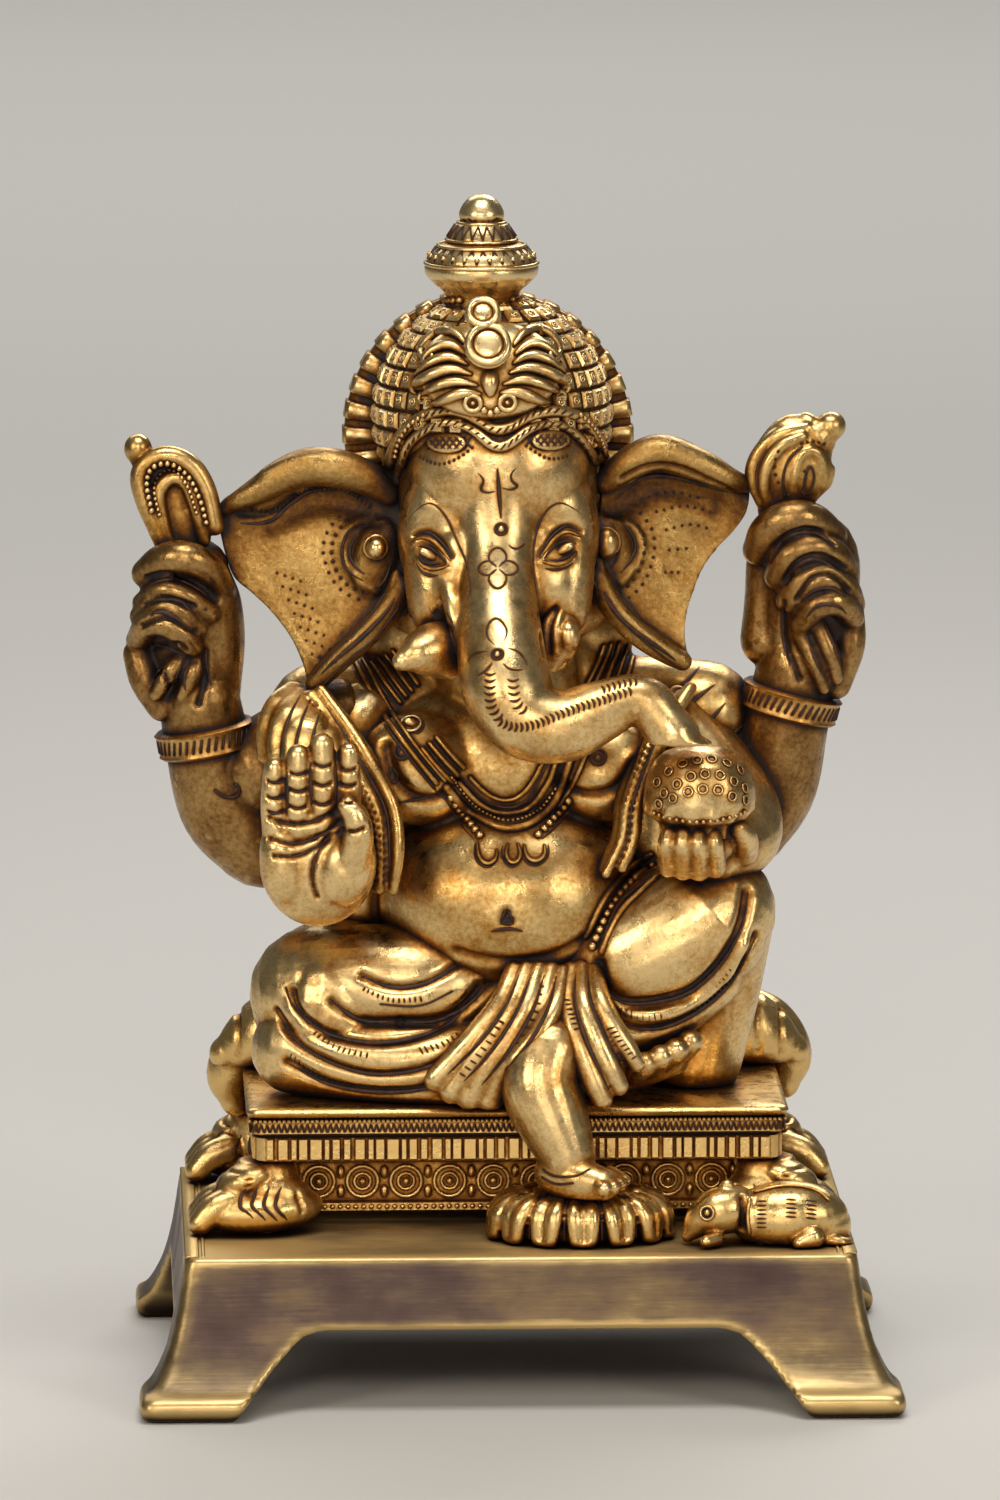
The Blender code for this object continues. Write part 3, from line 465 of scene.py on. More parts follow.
throne_metal = waxed_brass(
    "throne_waxed_brass", 3.2, "#190B05", "#7A4516", "#AC7A36", "#E0BC7A", wear=0.2, grit_height=0.25
)
seat_low, seat_high = (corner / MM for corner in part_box("throne_seat"))
seat_mid = (seat_low + seat_high) / 2
seat_half = (seat_high - seat_low) / 2
SLAB = (
    (0.0, 2.6), (0.4, 1.9), (4.7, 1.9), (5.0, 2.4), (5.3, 2.4), (5.5, 1.3), (5.8, 0.9), (8.0, 0.9),
    (8.3, 1.3), (8.5, 1.9)
)
SLAB += ((8.7, 1.5), (9.0, 0.5), (9.8, 0.1), (10.4, 0.4), (10.7, 1.4))
slab_levels = [(seat_low.z + z, seat_half.x - inset, seat_half.y - inset) for z, inset in SLAB]
slab = build("throne_slab", [stacked(slab_levels, (seat_mid.x, seat_mid.y), 2.0)])
slab.data.shade_smooth()
slab.data.set_sharp_from_angle(angle=math.radians(50))
mount(slab, throne_metal, "throne_brass", "throne_seat")

def ball(centre, radii, turn=(0, 0, 0), segments=28, rings=18):
    """A ball stretched to three radii, turned by degrees about X, Y and Z."""
    bpy.ops.mesh.primitive_uv_sphere_add(segments=segments, ring_count=rings, radius=1)
    made = bpy.context.object
    points = np.empty(len(made.data.vertices) * 3)
    made.data.vertices.foreach_get("co", points)
    faces = [tuple(p.vertices) for p in made.data.polygons]
    bpy.data.objects.remove(made)
    points = points.reshape(-1, 3) * radii
    turned = np.array(Euler([math.radians(a) for a in turn]).to_matrix())
    return points @ turned.T + np.asarray(centre, float)[:3], faces


unit_bead = ball((0, 0, 0), (1, 1, 1), segments=8, rings=5)


def bead(centre, radius, stretch=(1, 1, 1)):
    """A small plain ball."""
    return unit_bead[0] * radius * np.array(stretch) + np.asarray(centre, float)[:3], unit_bead[1]


def round_slab(inset, z, pitch):
    """Places at an even pitch round the slab, each with the way it faces."""
    half_x, half_y = seat_half.x - inset, seat_half.y - inset
    for facing, along, half, out in (
        ((0, -1), (1, 0), half_x, half_y), ((0, 1), (-1, 0), half_x, half_y),
        ((-1, 0), (0, -1), half_y, half_x), ((1, 0), (0, 1), half_y, half_x)
    ):
        count = int(2 * (half - 1.0) / pitch)
        for k in range(count + 1):
            s = -half + 1.0 + k * 2 * (half - 1.0) / count
            x = seat_mid.x + along[0] * s + facing[0] * out
            y = seat_mid.y + along[1] * s + facing[1] * out
            yield np.array((x, y, z)), np.array((*facing, 0.0)), np.array((*along, 0.0))


trim, saw_cuts = [], []
WIDTHS = (1.5, 2.1, 1.3, 1.9, 2.5, 1.2, 1.7)
spots = list(round_slab(1.9, seat_low.z, 0.35))
for side in range(4):
    row = [s for s in spots if abs(s[1] - spots[0][1]).sum() < 0.1]
    spots = [s for s in spots if abs(s[1] - row[0][1]).sum() > 0.1]
    k, n = 2, 0
    while k < len(row) - 2:
        half = WIDTHS[n % 7] / 2
        k += int(half / 0.35) + 1
        if k >= len(row) - 2:
            break
        place, facing, along = row[k]
        up = np.array((0, 0, 1.0))
        pad = []
        for lift, inset in ((-0.5, 0.0), (0.35, 0.0), (0.65, 0.22)):
            corners = (
                (-half + inset, 0.5 + inset), (half - inset, 0.5 + inset), (half - inset, 4.7 - inset),
                (-half + inset, 4.7 - inset)
            )
            pad.append(np.array([place + facing * lift + along * u + up * v for u, v in corners]))
        trim.append(skinned(pad))
        k += int(half / 0.35) + 1
        n += 1
for place, facing, along in round_slab(0.85, seat_low.z, 1.1):
    low_end, high_end = place + (0, 0, 6.0), place + (0, 0, 7.6)
    saw_cuts.append(bar(low_end - along * 0.5, high_end, 0.2, sides=5))
    saw_cuts.append(bar(high_end, low_end + along * 0.5, 0.2, sides=5))
for place, facing, along in round_slab(0.9, seat_low.z + 8.1, 0.9):
    trim.append(bead(place, 0.42))
throne_trim = build("throne_panels_and_beads", trim)
mount(throne_trim, throne_metal, "throne_brass")
throne_cuts = build("throne_zigzag_cuts", saw_cuts)


def torus(centre, axis, major, minor, around=18, section=6):
    """A ring of round wire about an axis."""
    axis = np.asarray(axis, float) / np.linalg.norm(axis)
    side = np.cross(axis, (0, 0, 1) if abs(axis[2]) < 0.9 else (1, 0, 0))
    side /= np.linalg.norm(side)
    other = np.cross(axis, side)
    points, faces = [], []
    for k in range(around):
        out = side * math.cos(2 * math.pi * k / around) + other * math.sin(2 * math.pi * k / around)
        for j in range(section):
            a = 2 * math.pi * j / section
            points.append(
                np.asarray(centre, float) + out * (
                    major + minor * math.cos(a)
                ) + axis * minor * math.sin(a)
            )
            b, n = k * section, ((k + 1) % around) * section
            faces.append((b + j, n + j, n + (j + 1) % section, b + (j + 1) % section))
    return np.array(points), faces


apron_low, apron_high = (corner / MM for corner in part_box("throne_apron"))
apron_mid = (apron_low + apron_high) / 2
apron_half = (apron_high - apron_low) / 2
apron_levels = [
    (apron_low.z + z, apron_half.x - inset, apron_half.y - inset)
    for z,
    inset in (
        (0.0, 0.6), (0.4, 0.0), (1.8, 0.0), (2.2, 0.9), (9.6, 0.9), (10.0, 0.1), (11.5, 0.1), (11.8, 0.7)
    )
]
apron = build("throne_apron_frame", [stacked(apron_levels, (apron_mid.x, apron_mid.y), 1.4)])
hole = [(z, apron_half.x - 3.4, apron_half.y - 3.4) for z in (apron_low.z - 1, apron_high.z + 1)]
cut_out(apron, stacked(hole, (apron_mid.x, apron_mid.y), 1.0))
apron.data.shade_smooth()
apron.data.set_sharp_from_angle(angle=math.radians(40))
mount(apron, throne_metal, "throne_brass", "throne_apron")
rosettes = []
level = apron_low.z + 5.9
for facing, half, out in (
    ((0, -1, 0), apron_half.x, apron_half.y), ((0, 1, 0), apron_half.x, apron_half.y),
    ((-1, 0, 0), apron_half.y, apron_half.x), ((1, 0, 0), apron_half.y, apron_half.x)
):
    facing = np.array(facing, float)
    along = np.array((abs(facing[1]), abs(facing[0]), 0.0))
    count = int(2 * half // 8.4)
    for k in range(count):
        s = (k - (count - 1) / 2) * 8.4
        spot = np.array((apron_mid.x, apron_mid.y, level)) + along * s + facing * (out - 0.9)
        rosettes.append(torus(spot, facing, 3.0, 0.42))
        rosettes.append(torus(spot, facing, 1.6, 0.36, around=12))
        rosettes.append(bead(spot, 0.75))
        for tilt in (-1, 1):
            leaf = spot + along * 4.2 + np.array((0, 0, tilt * 1.9))
            rosettes.append(bead(leaf, 1.0, stretch=(0.8, 0.8, 1.3)))
    for k in range(int(2 * half / 1.5)):
        s = -half + 0.8 + k * 1.5
        for z in (apron_low.z + 1.1, apron_high.z - 1.1):
            rosettes.append(
                bead(np.array((apron_mid.x, apron_mid.y, z)) + along * s + facing * (out + 0.0), 0.5)
            )
rosette_row = build("throne_rosettes", rosettes)
rosette_row.data.shade_smooth()
mount(rosette_row, throne_metal, "throne_brass")


# ---- Lion's paws ----------------------------------------------------------------------------
# Four paws stand under the slab's corners. Each is cast with its ankle, and curved ridges of fur
# are cut into the toe, which points out past the corner.


def even(points, pitch):
    """A smooth line through points, at an even pitch, whatever each point carries."""
    p = np.array(points, float)
    dims = min(3, p.shape[1])
    padded = np.vstack([2 * p[0] - p[1], p, 2 * p[-1] - p[-2]])
    line = []
    for a, b, c, d in zip(padded, padded[1:], padded[2:], padded[3:]):
        t = np.linspace(0, 1, 12, endpoint=False)[:, None]
        line.append(
            0.5 * (
                2 * b + (c - a) * t + (2 * a - 5 * b + 4 * c - d) * t * t + (3 * b - a - 3 * c + d) * t**3
            )
        )
    line = np.vstack([*line, p[-1:]])
    run = np.concatenate([[0], np.cumsum(np.linalg.norm(np.diff(line[:, :dims], axis=0), axis=1))])
    spots = np.linspace(0, run[-1], max(2, int(round(run[-1] / pitch)) + 1))
    return np.stack([np.interp(spots, run, line[:, k]) for k in range(line.shape[1])], 1)


def limb(stations, flat=1.0, wide=(1, 0, 0), sides=24, pitch=1.5):
    """A round-ended limb through (x, y, z, radius) stations, flat times as deep as it is wide."""
    path = even(stations, pitch)
    points, radii = path[:, :3], path[:, 3]
    ahead = np.gradient(points, axis=0)
    ahead /= np.linalg.norm(ahead, axis=1)[:, None]
    turn = 2 * np.pi * np.arange(sides) / sides
    rings = []
    side = np.array(wide, float)
    frames = []
    for way in ahead:
        side = side - way * side.dot(way)
        side /= np.linalg.norm(side)
        frames.append((side, np.cross(way, side)))

    def ring(k, radius, shift):
        across, deep = frames[k]
        centre = points[k] + ahead[k] * shift
        rings.append(
            centre + radius * (np.outer(np.cos(turn), across) + flat * np.outer(np.sin(turn), deep))
        )

    dome = np.radians((80, 60, 40, 20))
    for a in dome:
        ring(0, radii[0] * math.cos(a), -radii[0] * math.sin(a) * min(flat, 1.0))
    for k in range(len(points)):
        ring(k, radii[k], 0.0)
    for a in dome[::-1]:
        ring(len(points) - 1, radii[-1] * math.cos(a), radii[-1] * math.sin(a) * min(flat, 1.0))
    return skinned(rings)


def chase(piece, strokes):
    """Works strokes of (places, width, depth) into a piece's skin: in where depth is below zero, else out."""
    mesh = piece.data
    count = len(mesh.vertices)
    points = np.empty(count * 3, np.float32)
    mesh.vertices.foreach_get("co", points)
    points = points.reshape(-1, 3).astype(float) / MM
    normals = np.empty(count * 3, np.float32)
    mesh.vertex_normals.foreach_get("vector", normals)
    normals = normals.reshape(-1, 3)
    move = np.zeros(count)
    for places, width, depth in strokes:
        if len(places) == 0:
            continue
        spots = np.asarray(places, float)[:, :3]
        inside = ((points > spots.min(0) - 2.6 * width) & (points < spots.max(0) + 2.6 * width)).all(1)
        near = np.nonzero(inside)[0]
        if len(near) == 0:
            continue
        gap = np.full(len(near), 1e9)
        for block in np.array_split(spots, max(1, len(spots) // 24)):
            gap = np.minimum(gap, ((points[near][:, None] - block[None]) ** 2).sum(2).min(1))
        move[near] += depth * np.exp(-gap / width**2)
    points += normals * move[:, None]
    mesh.vertices.foreach_set("co", (points * MM).astype(np.float32).ravel())
    mesh.update()


def flat_below(shape_points, level):
    """Presses what hangs below a level up to it."""
    shape_points[:, 2] = np.maximum(shape_points[:, 2], level)


def snapped(tree, points, pitch=0.5):
    """Carries a line to the nearest skin: places with the way the skin faces."""
    spots = []
    for p in even(points, pitch):
        place, facing, _, _ = tree.find_nearest(Vector(p) * MM)
        spots.append((*(place / MM), *facing))
    return np.array(spots)


paw_lines = []
for corner in ("front_right", "front_left", "back_right", "back_left"):
    name = "throne_paw_" + corner
    low, high = (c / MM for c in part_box(name))
    x, y = (low.x + high.x) / 2, (low.y + high.y) / 2
    sx, sy = (1 if "left" in corner else -1), (1 if "back" in corner else -1)
    floor = low.z
    shapes = [
        ball((x + sx * 0.5, y + sy * 1.0, floor + 4.2), (12.2, 7.6, 4.6), (0, sx * 4, sx * sy * 12)),
        *[
            limb(
                [
                    (x + sx * 5.5, y + toe, floor + 6.2, 3.2),
                    (x + sx * 9.5, y + toe * 1.35, floor + 5.0, 2.9),
                    (x + sx * 12.3, y + toe * 1.6, floor + 2.4, 2.3)
                ],
                pitch=0.8
            )
            for toe in (-3.8, 0.0, 3.8)
        ],
        ball((x - sx * 1.5, y, floor + 7.0), (8.6, 6.2, 5.4), (0, sx * -18, 0)),
        limb(
            [(x - sx * 1, y - sy * 1, floor + 6, 6.8), (x - sx * 0.5, y - sy * 1.2, high.z - 1.6, 5.6)],
            pitch=1.0
        ),
        ball((x + sx * 3.5, y + sy * 1, floor + 10.2), (6.2, 5.6, 3.0), (0, sx * 20, 0))
    ]
    for shape_points, _ in shapes:
        flat_below(shape_points, floor + 0.1)
        shape_points[:, 2] = np.minimum(shape_points[:, 2], high.z)
    paw = cast("lion_paw_" + corner, shapes, 0.45, 2)
    ridges = []
    for k in range(8):
        reach = -7.5 + k * 2.2
        arc = [
            (
                x + sx * (reach + 2.0 * math.cos(math.radians(a))),
                y + (7.4 - abs(k - 4) * 0.45) * math.sin(math.radians(a)),
                floor + 9.4 - k * 0.35 - 6.2 * (1 - math.cos(math.radians(a * 0.95)))
            )
            for a in range(-80, 81, 16)
        ]
        ridges.append((even(arc, 0.5), 0.55, -0.75))
    for k in range(4):
        rise = floor + 9.6 + k * 1.35
        band = [
            (x + 7.6 * math.cos(math.radians(a)) - sx * 0.5, y + 7.2 * math.sin(math.radians(a)), rise)
            for a in range(0, 361, 15)
        ]
        ridges.append((even(band, 0.5), 0.45, -0.7))
    chase(paw, ridges)
    mount(paw, throne_metal, "throne_brass", name)
    tree = BVHTree.FromObject(paw, bpy.context.evaluated_depsgraph_get())
    for toe in (-1.9, 1.9):
        paw_lines.append(
            snapped(
                tree,
                [
                    (x + sx * 4.5, y + toe, floor + 9.5), (x + sx * 9.5, y + toe * 1.4, floor + 7.4),
                    (x + sx * 14.0, y + toe * 1.6, floor + 2.0)
                ]
            )
        )
    for k in range(4):
        paw_lines.append(
            snapped(
                tree,
                [
                    (x + sx * (k * 2.3 - 5.0), y - 7.5, floor + 2.5 + k * 0.4),
                    (x + sx * (k * 2.3 - 2.2), y - 8.0, floor + 6.2),
                    (x + sx * (k * 2.3 - 3.4), y - 5.0, floor + 9.6)
                ]
            )
        )
        paw_lines.append(
            snapped(
                tree,
                [
                    (x + sx * (k * 2.3 - 5.0), y + 7.5, floor + 2.5 + k * 0.4),
                    (x + sx * (k * 2.3 - 2.2), y + 8.0, floor + 6.2),
                    (x + sx * (k * 2.3 - 3.4), y + 5.0, floor + 9.6)
                ]
            )
        )


# ---- Lotus footrest -------------------------------------------------------------------------
# An open lotus cast as one cushion: two rings of hollow-faced petals round a beaded seed head.

mouse_metal = waxed_brass("mouse_waxed_brass", 3.0, "#1C0E06", "#84501A", "#B5823C", "#E2C080", wear=0.22)
lotus_low, lotus_high = (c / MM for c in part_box("lotus_footrest"))
lotus_mid, lotus_half = (lotus_low + lotus_high) / 2, (lotus_high - lotus_low) / 2
PETALS = 14


def on_lotus(turn, reach, height):
    """A place on the lotus, by angle in degrees, share of its radius, and height."""
    a = math.radians(turn)
    return (
        lotus_mid.x + lotus_half.x * reach * math.cos(a),
        lotus_mid.y + lotus_half.y * reach * math.sin(a), lotus_low.z + height
    )


shapes = [
    ball((lotus_mid.x, lotus_mid.y, lotus_low.z + 3.2), (lotus_half.x * 0.82, lotus_half.y * 0.8, 5.2))
]
for k in range(PETALS):
    turn = 360.0 * (k + 0.5) / PETALS
    petal = [
        (*on_lotus(turn, 0.42, 8.0), 1.8), (*on_lotus(turn, 0.7, 7.6), 3.0),
        (*on_lotus(turn, 0.85, 5.2), 3.5), (*on_lotus(turn, 0.9, 1.4), 2.9)
    ]
    across = (-math.sin(math.radians(turn)), math.cos(math.radians(turn)), 0)
    shapes.append(limb(petal, flat=0.62, wide=across, sides=14, pitch=1.2))
shapes.append(
    ball((lotus_mid.x, lotus_mid.y, lotus_low.z + 7.2), (lotus_half.x * 0.5, lotus_half.y * 0.5, 2.2))
)
for shape_points, _ in shapes:
    flat_below(shape_points, lotus_low.z)
lotus = cast("lotus", shapes, 0.4, 2)
hollows = []
for k in range(PETALS):
    turn = 360.0 * (k + 0.5) / PETALS
    face = [
        on_lotus(turn, 0.72, 9.6), on_lotus(turn, 0.92, 7.4), on_lotus(turn, 1.0, 4.6),
        on_lotus(turn, 1.0, 2.0)
    ]
    hollows.append((even(face, 0.6), 1.5, -1.1))
    gap = 360.0 * k / PETALS
    hollows.append(
        (
            even([on_lotus(gap, 0.62, 8.8), on_lotus(gap, 0.84, 6.0), on_lotus(gap, 0.88, 1.0)], 0.6),
            0.55, -1.3
        )
    )
rim = [on_lotus(turn, 0.5, 9.3) for turn in range(0, 361, 15)]
hollows.append((even(rim, 0.6), 0.5, -0.6))
chase(lotus, hollows)
mount(lotus, mouse_metal, "throne_brass", "lotus_footrest")
seeds = [bead(on_lotus(turn, 0.4, 9.2), 0.7) for turn in range(0, 360, 18)]
seed_ring = build("lotus_seed_ring", seeds)
seed_ring.data.shade_smooth()
mount(seed_ring, mouse_metal, "throne_brass")


# ---- Mouse ----------------------------------------------------------------------------------
# The idol's mount, cast whole, with a cloth over its back cut in rows of dashes, a ringed eye and
# a round ear.

shapes = [
    limb(
        at(
            "mouse",
            [
                (-14.3, -1.5, -4.1, 1.3), (-12.0, -1.5, -1.4, 3.4), (-8.9, -1.5, 0.5, 4.6),
                (-5.3, -0.5, 1.0, 4.6)
            ]
        ),
        pitch=1.0
    ),
    ball(*at("mouse", [(4.9, 0.5, -0.8)]), (11.6, 7.2, 6.8)),
    ball(*at("mouse", [(11.1, 1.5, -2.6)]), (6.0, 6.4, 5.2)),
    ball(*at("mouse", [(-6.9, -1.5, 4.7)]), (1.7, 1.1, 2.1)),
    ball(*at("mouse", [(-5.1, 3.5, 3.4)]), (1.6, 1.1, 2.0)),
    limb(
        at("mouse", [(12.0, -3.5, -4.7, 1.6), (15.8, -3.5, -5.5, 1.3), (16.9, 2.5, -5.9, 1.0)]),
        pitch=1.0, sides=10
    ),
    limb(at("mouse", [(-9.1, -4.5, -4.0, 1.7), (-11.1, -6.5, -4.3, 1.3)]), pitch=1.0, sides=10),
    limb(at("mouse", [(9.2, -5.5, -3.9, 2.4), (6.8, -6.5, -4.7, 1.5)]), pitch=1.0, sides=10)
]
mouse_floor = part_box("mouse")[0].z / MM
for shape_points, _ in shapes:
    flat_below(shape_points, mouse_floor)
mouse = cast("mouse_figure", shapes, 0.35, 2)

FRONT_EYE = Vector((-88.7, -2467.7, 510.6))
BOARD = -25.0


def tree_of(piece):
    """A search tree of a piece's skin."""
    return BVHTree.FromObject(piece, bpy.context.evaluated_depsgraph_get())


def drawn(node_name, points):
    """Points drawn on an upright board in front of the idol, from a casting's middle across and up."""
    m = middle(node_name)
    return [(m.x + x, m.z + z) for x, z in points]


def drawn_lines(node, *lines):
    """Several drawn lines, all from the middle of one casting."""
    return [drawn(node, line) for line in lines]


def lay(trees, points, pitch=0.5):
    """Carries a drawn line back to the skin: places with the way the skin faces."""
    spots = []
    for x, z in even(points, pitch) if len(points) > 1 else points:
        aim = (Vector((x, BOARD, z)) - FRONT_EYE).normalized()
        hits = [tree.ray_cast(FRONT_EYE * MM, aim) for tree in trees]
        hits = [h for h in hits if h[0] is not None]
        if hits:
            place, facing, _, _ = min(hits, key=lambda h: h[3])
            spots.append((*(place / MM), *facing))
    spots = np.array(spots) if spots else np.zeros((0, 6))
    if len(spots) > 4:
        padded = np.vstack([spots[:1], spots[:1], spots, spots[-1:], spots[-1:]])
        spots = sum(padded[k : k + len(spots)] for k in range(5)) / 5
    return spots


def wire(places, radius, lift=0.0, sides=8, taper=False):
    """A round wire along laid places, raised off the skin by a lift."""
    if len(places) < 2:
        return np.zeros((0, 3)), []
    path = places[:, :3] + places[:, 3:6] * lift
    ahead = np.gradient(path, axis=0)
    ahead /= np.maximum(np.linalg.norm(ahead, axis=1), 1e-9)[:, None]
    out = places[:, 3:6] - ahead * (places[:, 3:6] * ahead).sum(1)[:, None]
    out /= np.maximum(np.linalg.norm(out, axis=1), 1e-9)[:, None]
    across = np.cross(ahead, out)
    turn = 2 * np.pi * np.arange(sides) / sides
    rings = []
    last = len(path) - 1
    for k in range(len(path)):
        r = radius * (0.25 + 0.75 * math.sin(math.pi * k / last)) if taper else radius
        if k in (0, last):
            r *= 0.5
        rings.append(path[k] + r * (np.outer(np.cos(turn), across[k]) + np.outer(np.sin(turn), out[k])))
    return skinned(rings)


def beads_on(places, radius, pitch, lift=0.0):
    """Beads along laid places."""
    if len(places) < 2:
        return []
    line = even(places, pitch)
    return [bead(p[:3] + p[3:6] * lift, radius) for p in line]


def ring_on(trees, point, major, minor, lift=0.0):
    """A wire ring laid on the skin round a drawn point."""
    spot = lay(trees, [point])
    if len(spot) == 0:
        return []
    return [torus(spot[0][:3] + spot[0][3:] * lift, spot[0][3:], major, minor)]


wax = bpy.data.materials.new("dark_wax_in_chased_lines")
wax.use_nodes = True
wax_shader = wax.node_tree.nodes["Principled BSDF"]
wax_place = node(wax, "ShaderNodeTexCoord")
wax_grain = node(
    wax, "ShaderNodeTexNoise", [("Vector", wax_place, "Object")], in_Scale=700.0, in_Detail=3.0
)
wax_colour = ramp(wax, wax_grain, "Fac", [(0.35, "#160B07"), (0.7, "#4A2611")])
wax.node_tree.links.new(wax_colour.outputs["Color"], wax_shader.inputs["Base Color"])
wax_shader.inputs["Roughness"].default_value = 0.5
wax_shader.inputs["Metallic"].default_value = 0.2
mount(throne_cuts, wax, "throne_brass")


def detail(name, shapes, material, finish):
    """A piece of small trim, worked on a casting's skin."""
    piece = build(name, [s for s in shapes if len(s[0])])
    piece.data.shade_smooth()
    mount(piece, material, finish)
    return piece


skin = [tree_of(mouse)]
chase(
    mouse,
    [
        (lay(skin, drawn("mouse", [(-3.4, 1.4), (-3.0, -1.7), (-3.4, -5.2)])), 0.7, -1.2),
        (lay(skin, drawn("mouse", [(-1.5, 1.4), (-1.9, -2.3), (-1.5, -6.4)])), 0.5, 0.4)
    ]
)
mount(mouse, mouse_metal, "throne_brass", "mouse")
skin = [tree_of(mouse)]
trim = ring_on(skin, drawn("mouse", [(-10.1, -1.8)])[0], 1.3, 0.25, 0.1)
trim.append(bead(lay(skin, drawn("mouse", [(-10.1, -1.8)]))[0][:3], 0.7))
trim += [
    wire(lay(skin, line), 0.4, 0.15)
    for line in drawn_lines(
        "mouse",
        [(-1.9, 1.4), (-2.2, -2.3), (-1.8, -6.4)],
        [(-1.5, 2.0), (4.8, 3.3), (10.6, 2.5), (13.5, 0.1)]
    )
]
detail("mouse_trim", trim, mouse_metal, "throne_brass")
dashes = [
    wire(
        lay(skin, drawn("mouse", [(-3.6, -0.1), (-3.2, -2.1), (-3.4, -4.8)])),
        0.5, -0.15, sides=6, taper=True
    )
]
dashes += ring_on(skin, drawn("mouse", [(-10.1, -1.8)])[0], 1.0, 0.2, 0.1)
for column, rows in (
    (drawn("mouse", [(-0.9, 0.4), (1.6, 0.4)]), 7),
    (drawn("mouse", [(4.7, 0.8), (7.3, 0.6)]), 5),
    (drawn("mouse", [(8.5, 0.6), (11.2, 0.2)]), 5)
):
    for row in range(rows):
        dashes.append(
            wire(lay(skin, [(x, z - row * 0.85) for x, z in column], 0.4), 0.2, 0.0, sides=5, taper=True)
        )
detail("mouse_cloth_dashes", dashes, wax, "throne_brass")
detail(
    "paw_lines",
    [wire(line, 0.42, -0.1, sides=6, taper=True) for line in paw_lines],
    wax, "throne_brass"
)
# Wax also lies between the lotus petals.
gaps = []
for k in range(PETALS):
    gap = 360.0 * k / PETALS
    spots = even([on_lotus(gap, 0.56, 9.0), on_lotus(gap, 0.8, 6.8), on_lotus(gap, 0.86, 1.0)], 0.5)
    facing = np.tile((math.cos(math.radians(gap)), math.sin(math.radians(gap)), 0.6), (len(spots), 1))
    gaps.append(wire(np.hstack([spots, facing]), 0.5, 0.0, sides=6, taper=True))
detail("lotus_gaps", gaps, wax, "throne_brass")


# ---- Bolster --------------------------------------------------------------------------------
# The long cushion behind the idol, cast in brass. Both ends are gathered into ribs and droop over
# the slab's edge.

seat_level = seat_high.z


def above(x, y, z, *more):
    """A place by its height above the seat."""
    return (x, y, seat_level + z, *more)


low, high = (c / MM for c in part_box("bolster"))
back_y, half = (low.y + high.y) / 2, (high.x - low.x) / 2
rise = ((0.93, 2.4, 3.6), (0.9, 3.3, 5.0), (0.83, 5.2, 7.2), (0.7, 7.6, 9.0), (0.42, 9.0, 9.9))
stations = [above(-half * s, back_y, z, r) for s, z, r in rise] + [
    above(half * s, back_y, z, r) for s, z, r in reversed(rise)
]
cushion = [limb(stations, wide=(0, 1, 0), sides=32)]
flat_below(cushion[0][0], low.z)
cushion += [
    limb(
        at(
            "bolster",
            [
                (-45.2, 7.8, -3.9, 5.0), (-50.3, 7.8, -7.0, 6.0), (-53.8, 7.8, -12.6, 5.2),
                (-53.1, 7.8, -17.7, 3.2)
            ]
        ),
        sides=24, pitch=1.0
    ),
    limb(
        at(
            "bolster",
            [
                (45.0, 7.8, -0.1, 5.0), (50.5, 7.8, -3.7, 6.0), (54.4, 7.8, -9.3, 5.2),
                (54.0, 7.8, -14.8, 3.2)
            ]
        ),
        sides=24, pitch=1.0
    )
]
bolster = cast("bolster_cushion", cushion, 0.6, 1)
gathers = []
for end in (-1, 1):
    for k, (share, reach) in enumerate(((0.9, 6.0), (0.82, 8.2), (0.74, 9.0))):
        r = reach
        gathers.append(
            (
                np.array(
                    [
                        (
                            end * half * share, back_y + r * math.cos(a),
                            seat_level + 5 + k * 1.2 + r * math.sin(a)
                        )
                        for a in np.linspace(-0.3, 3.5, 40)
                    ]
                ),
                0.8, -1.0
            )
        )
chase(bolster, gathers)
mount(bolster, throne_metal, "throne_brass", "bolster")


# ---- Body -----------------------------------------------------------------------------------
# Belly, chest and shoulders are one heavy casting, filed and buffed to a soft shine. The breast
# folds are worked in with punches, and wax stays dark wherever the buff can't reach.

figure_metal = waxed_brass(
    "figure_waxed_brass", 5.0, "#1A0C06", "#7A4516", "#B58238", "#EACC92", wear=0.05
)
body_metal = waxed_brass(
    "body_matted_brass", 3.0, "#1A0C06", "#7A4516", "#AC7A34", "#E4C688", wear=-0.03, grit_height=0.16
)
aged_metal = waxed_brass("figure_aged_brass", 6.0, "#180B05", "#6E3D12", "#A0722F", "#D4B274", wear=0.02)
crown_metal = waxed_brass("crown_aged_brass", 3.0, "#1A0C06", "#80501C", "#BA8C48", "#EACE96", wear=0.28)
ear_metal = waxed_brass(
    "ear_aged_brass", 11.0, "#1A0C06", "#6A4018", "#8A632E", "#B8975C", wear=-0.02, grit_height=0.45
)
# The rear arms get a darker copy of the waxed brass. Its darker colours and lower wear are painted shade and
# a painted dark reflection, laid over the same wax, pits and stains.
arm_painted_shade_metal = waxed_brass("arm_brass_with_painted_shade", 5.0, "#170A05", "#4C2E1A", "#78542C", "#B8945C", wear=-0.06)
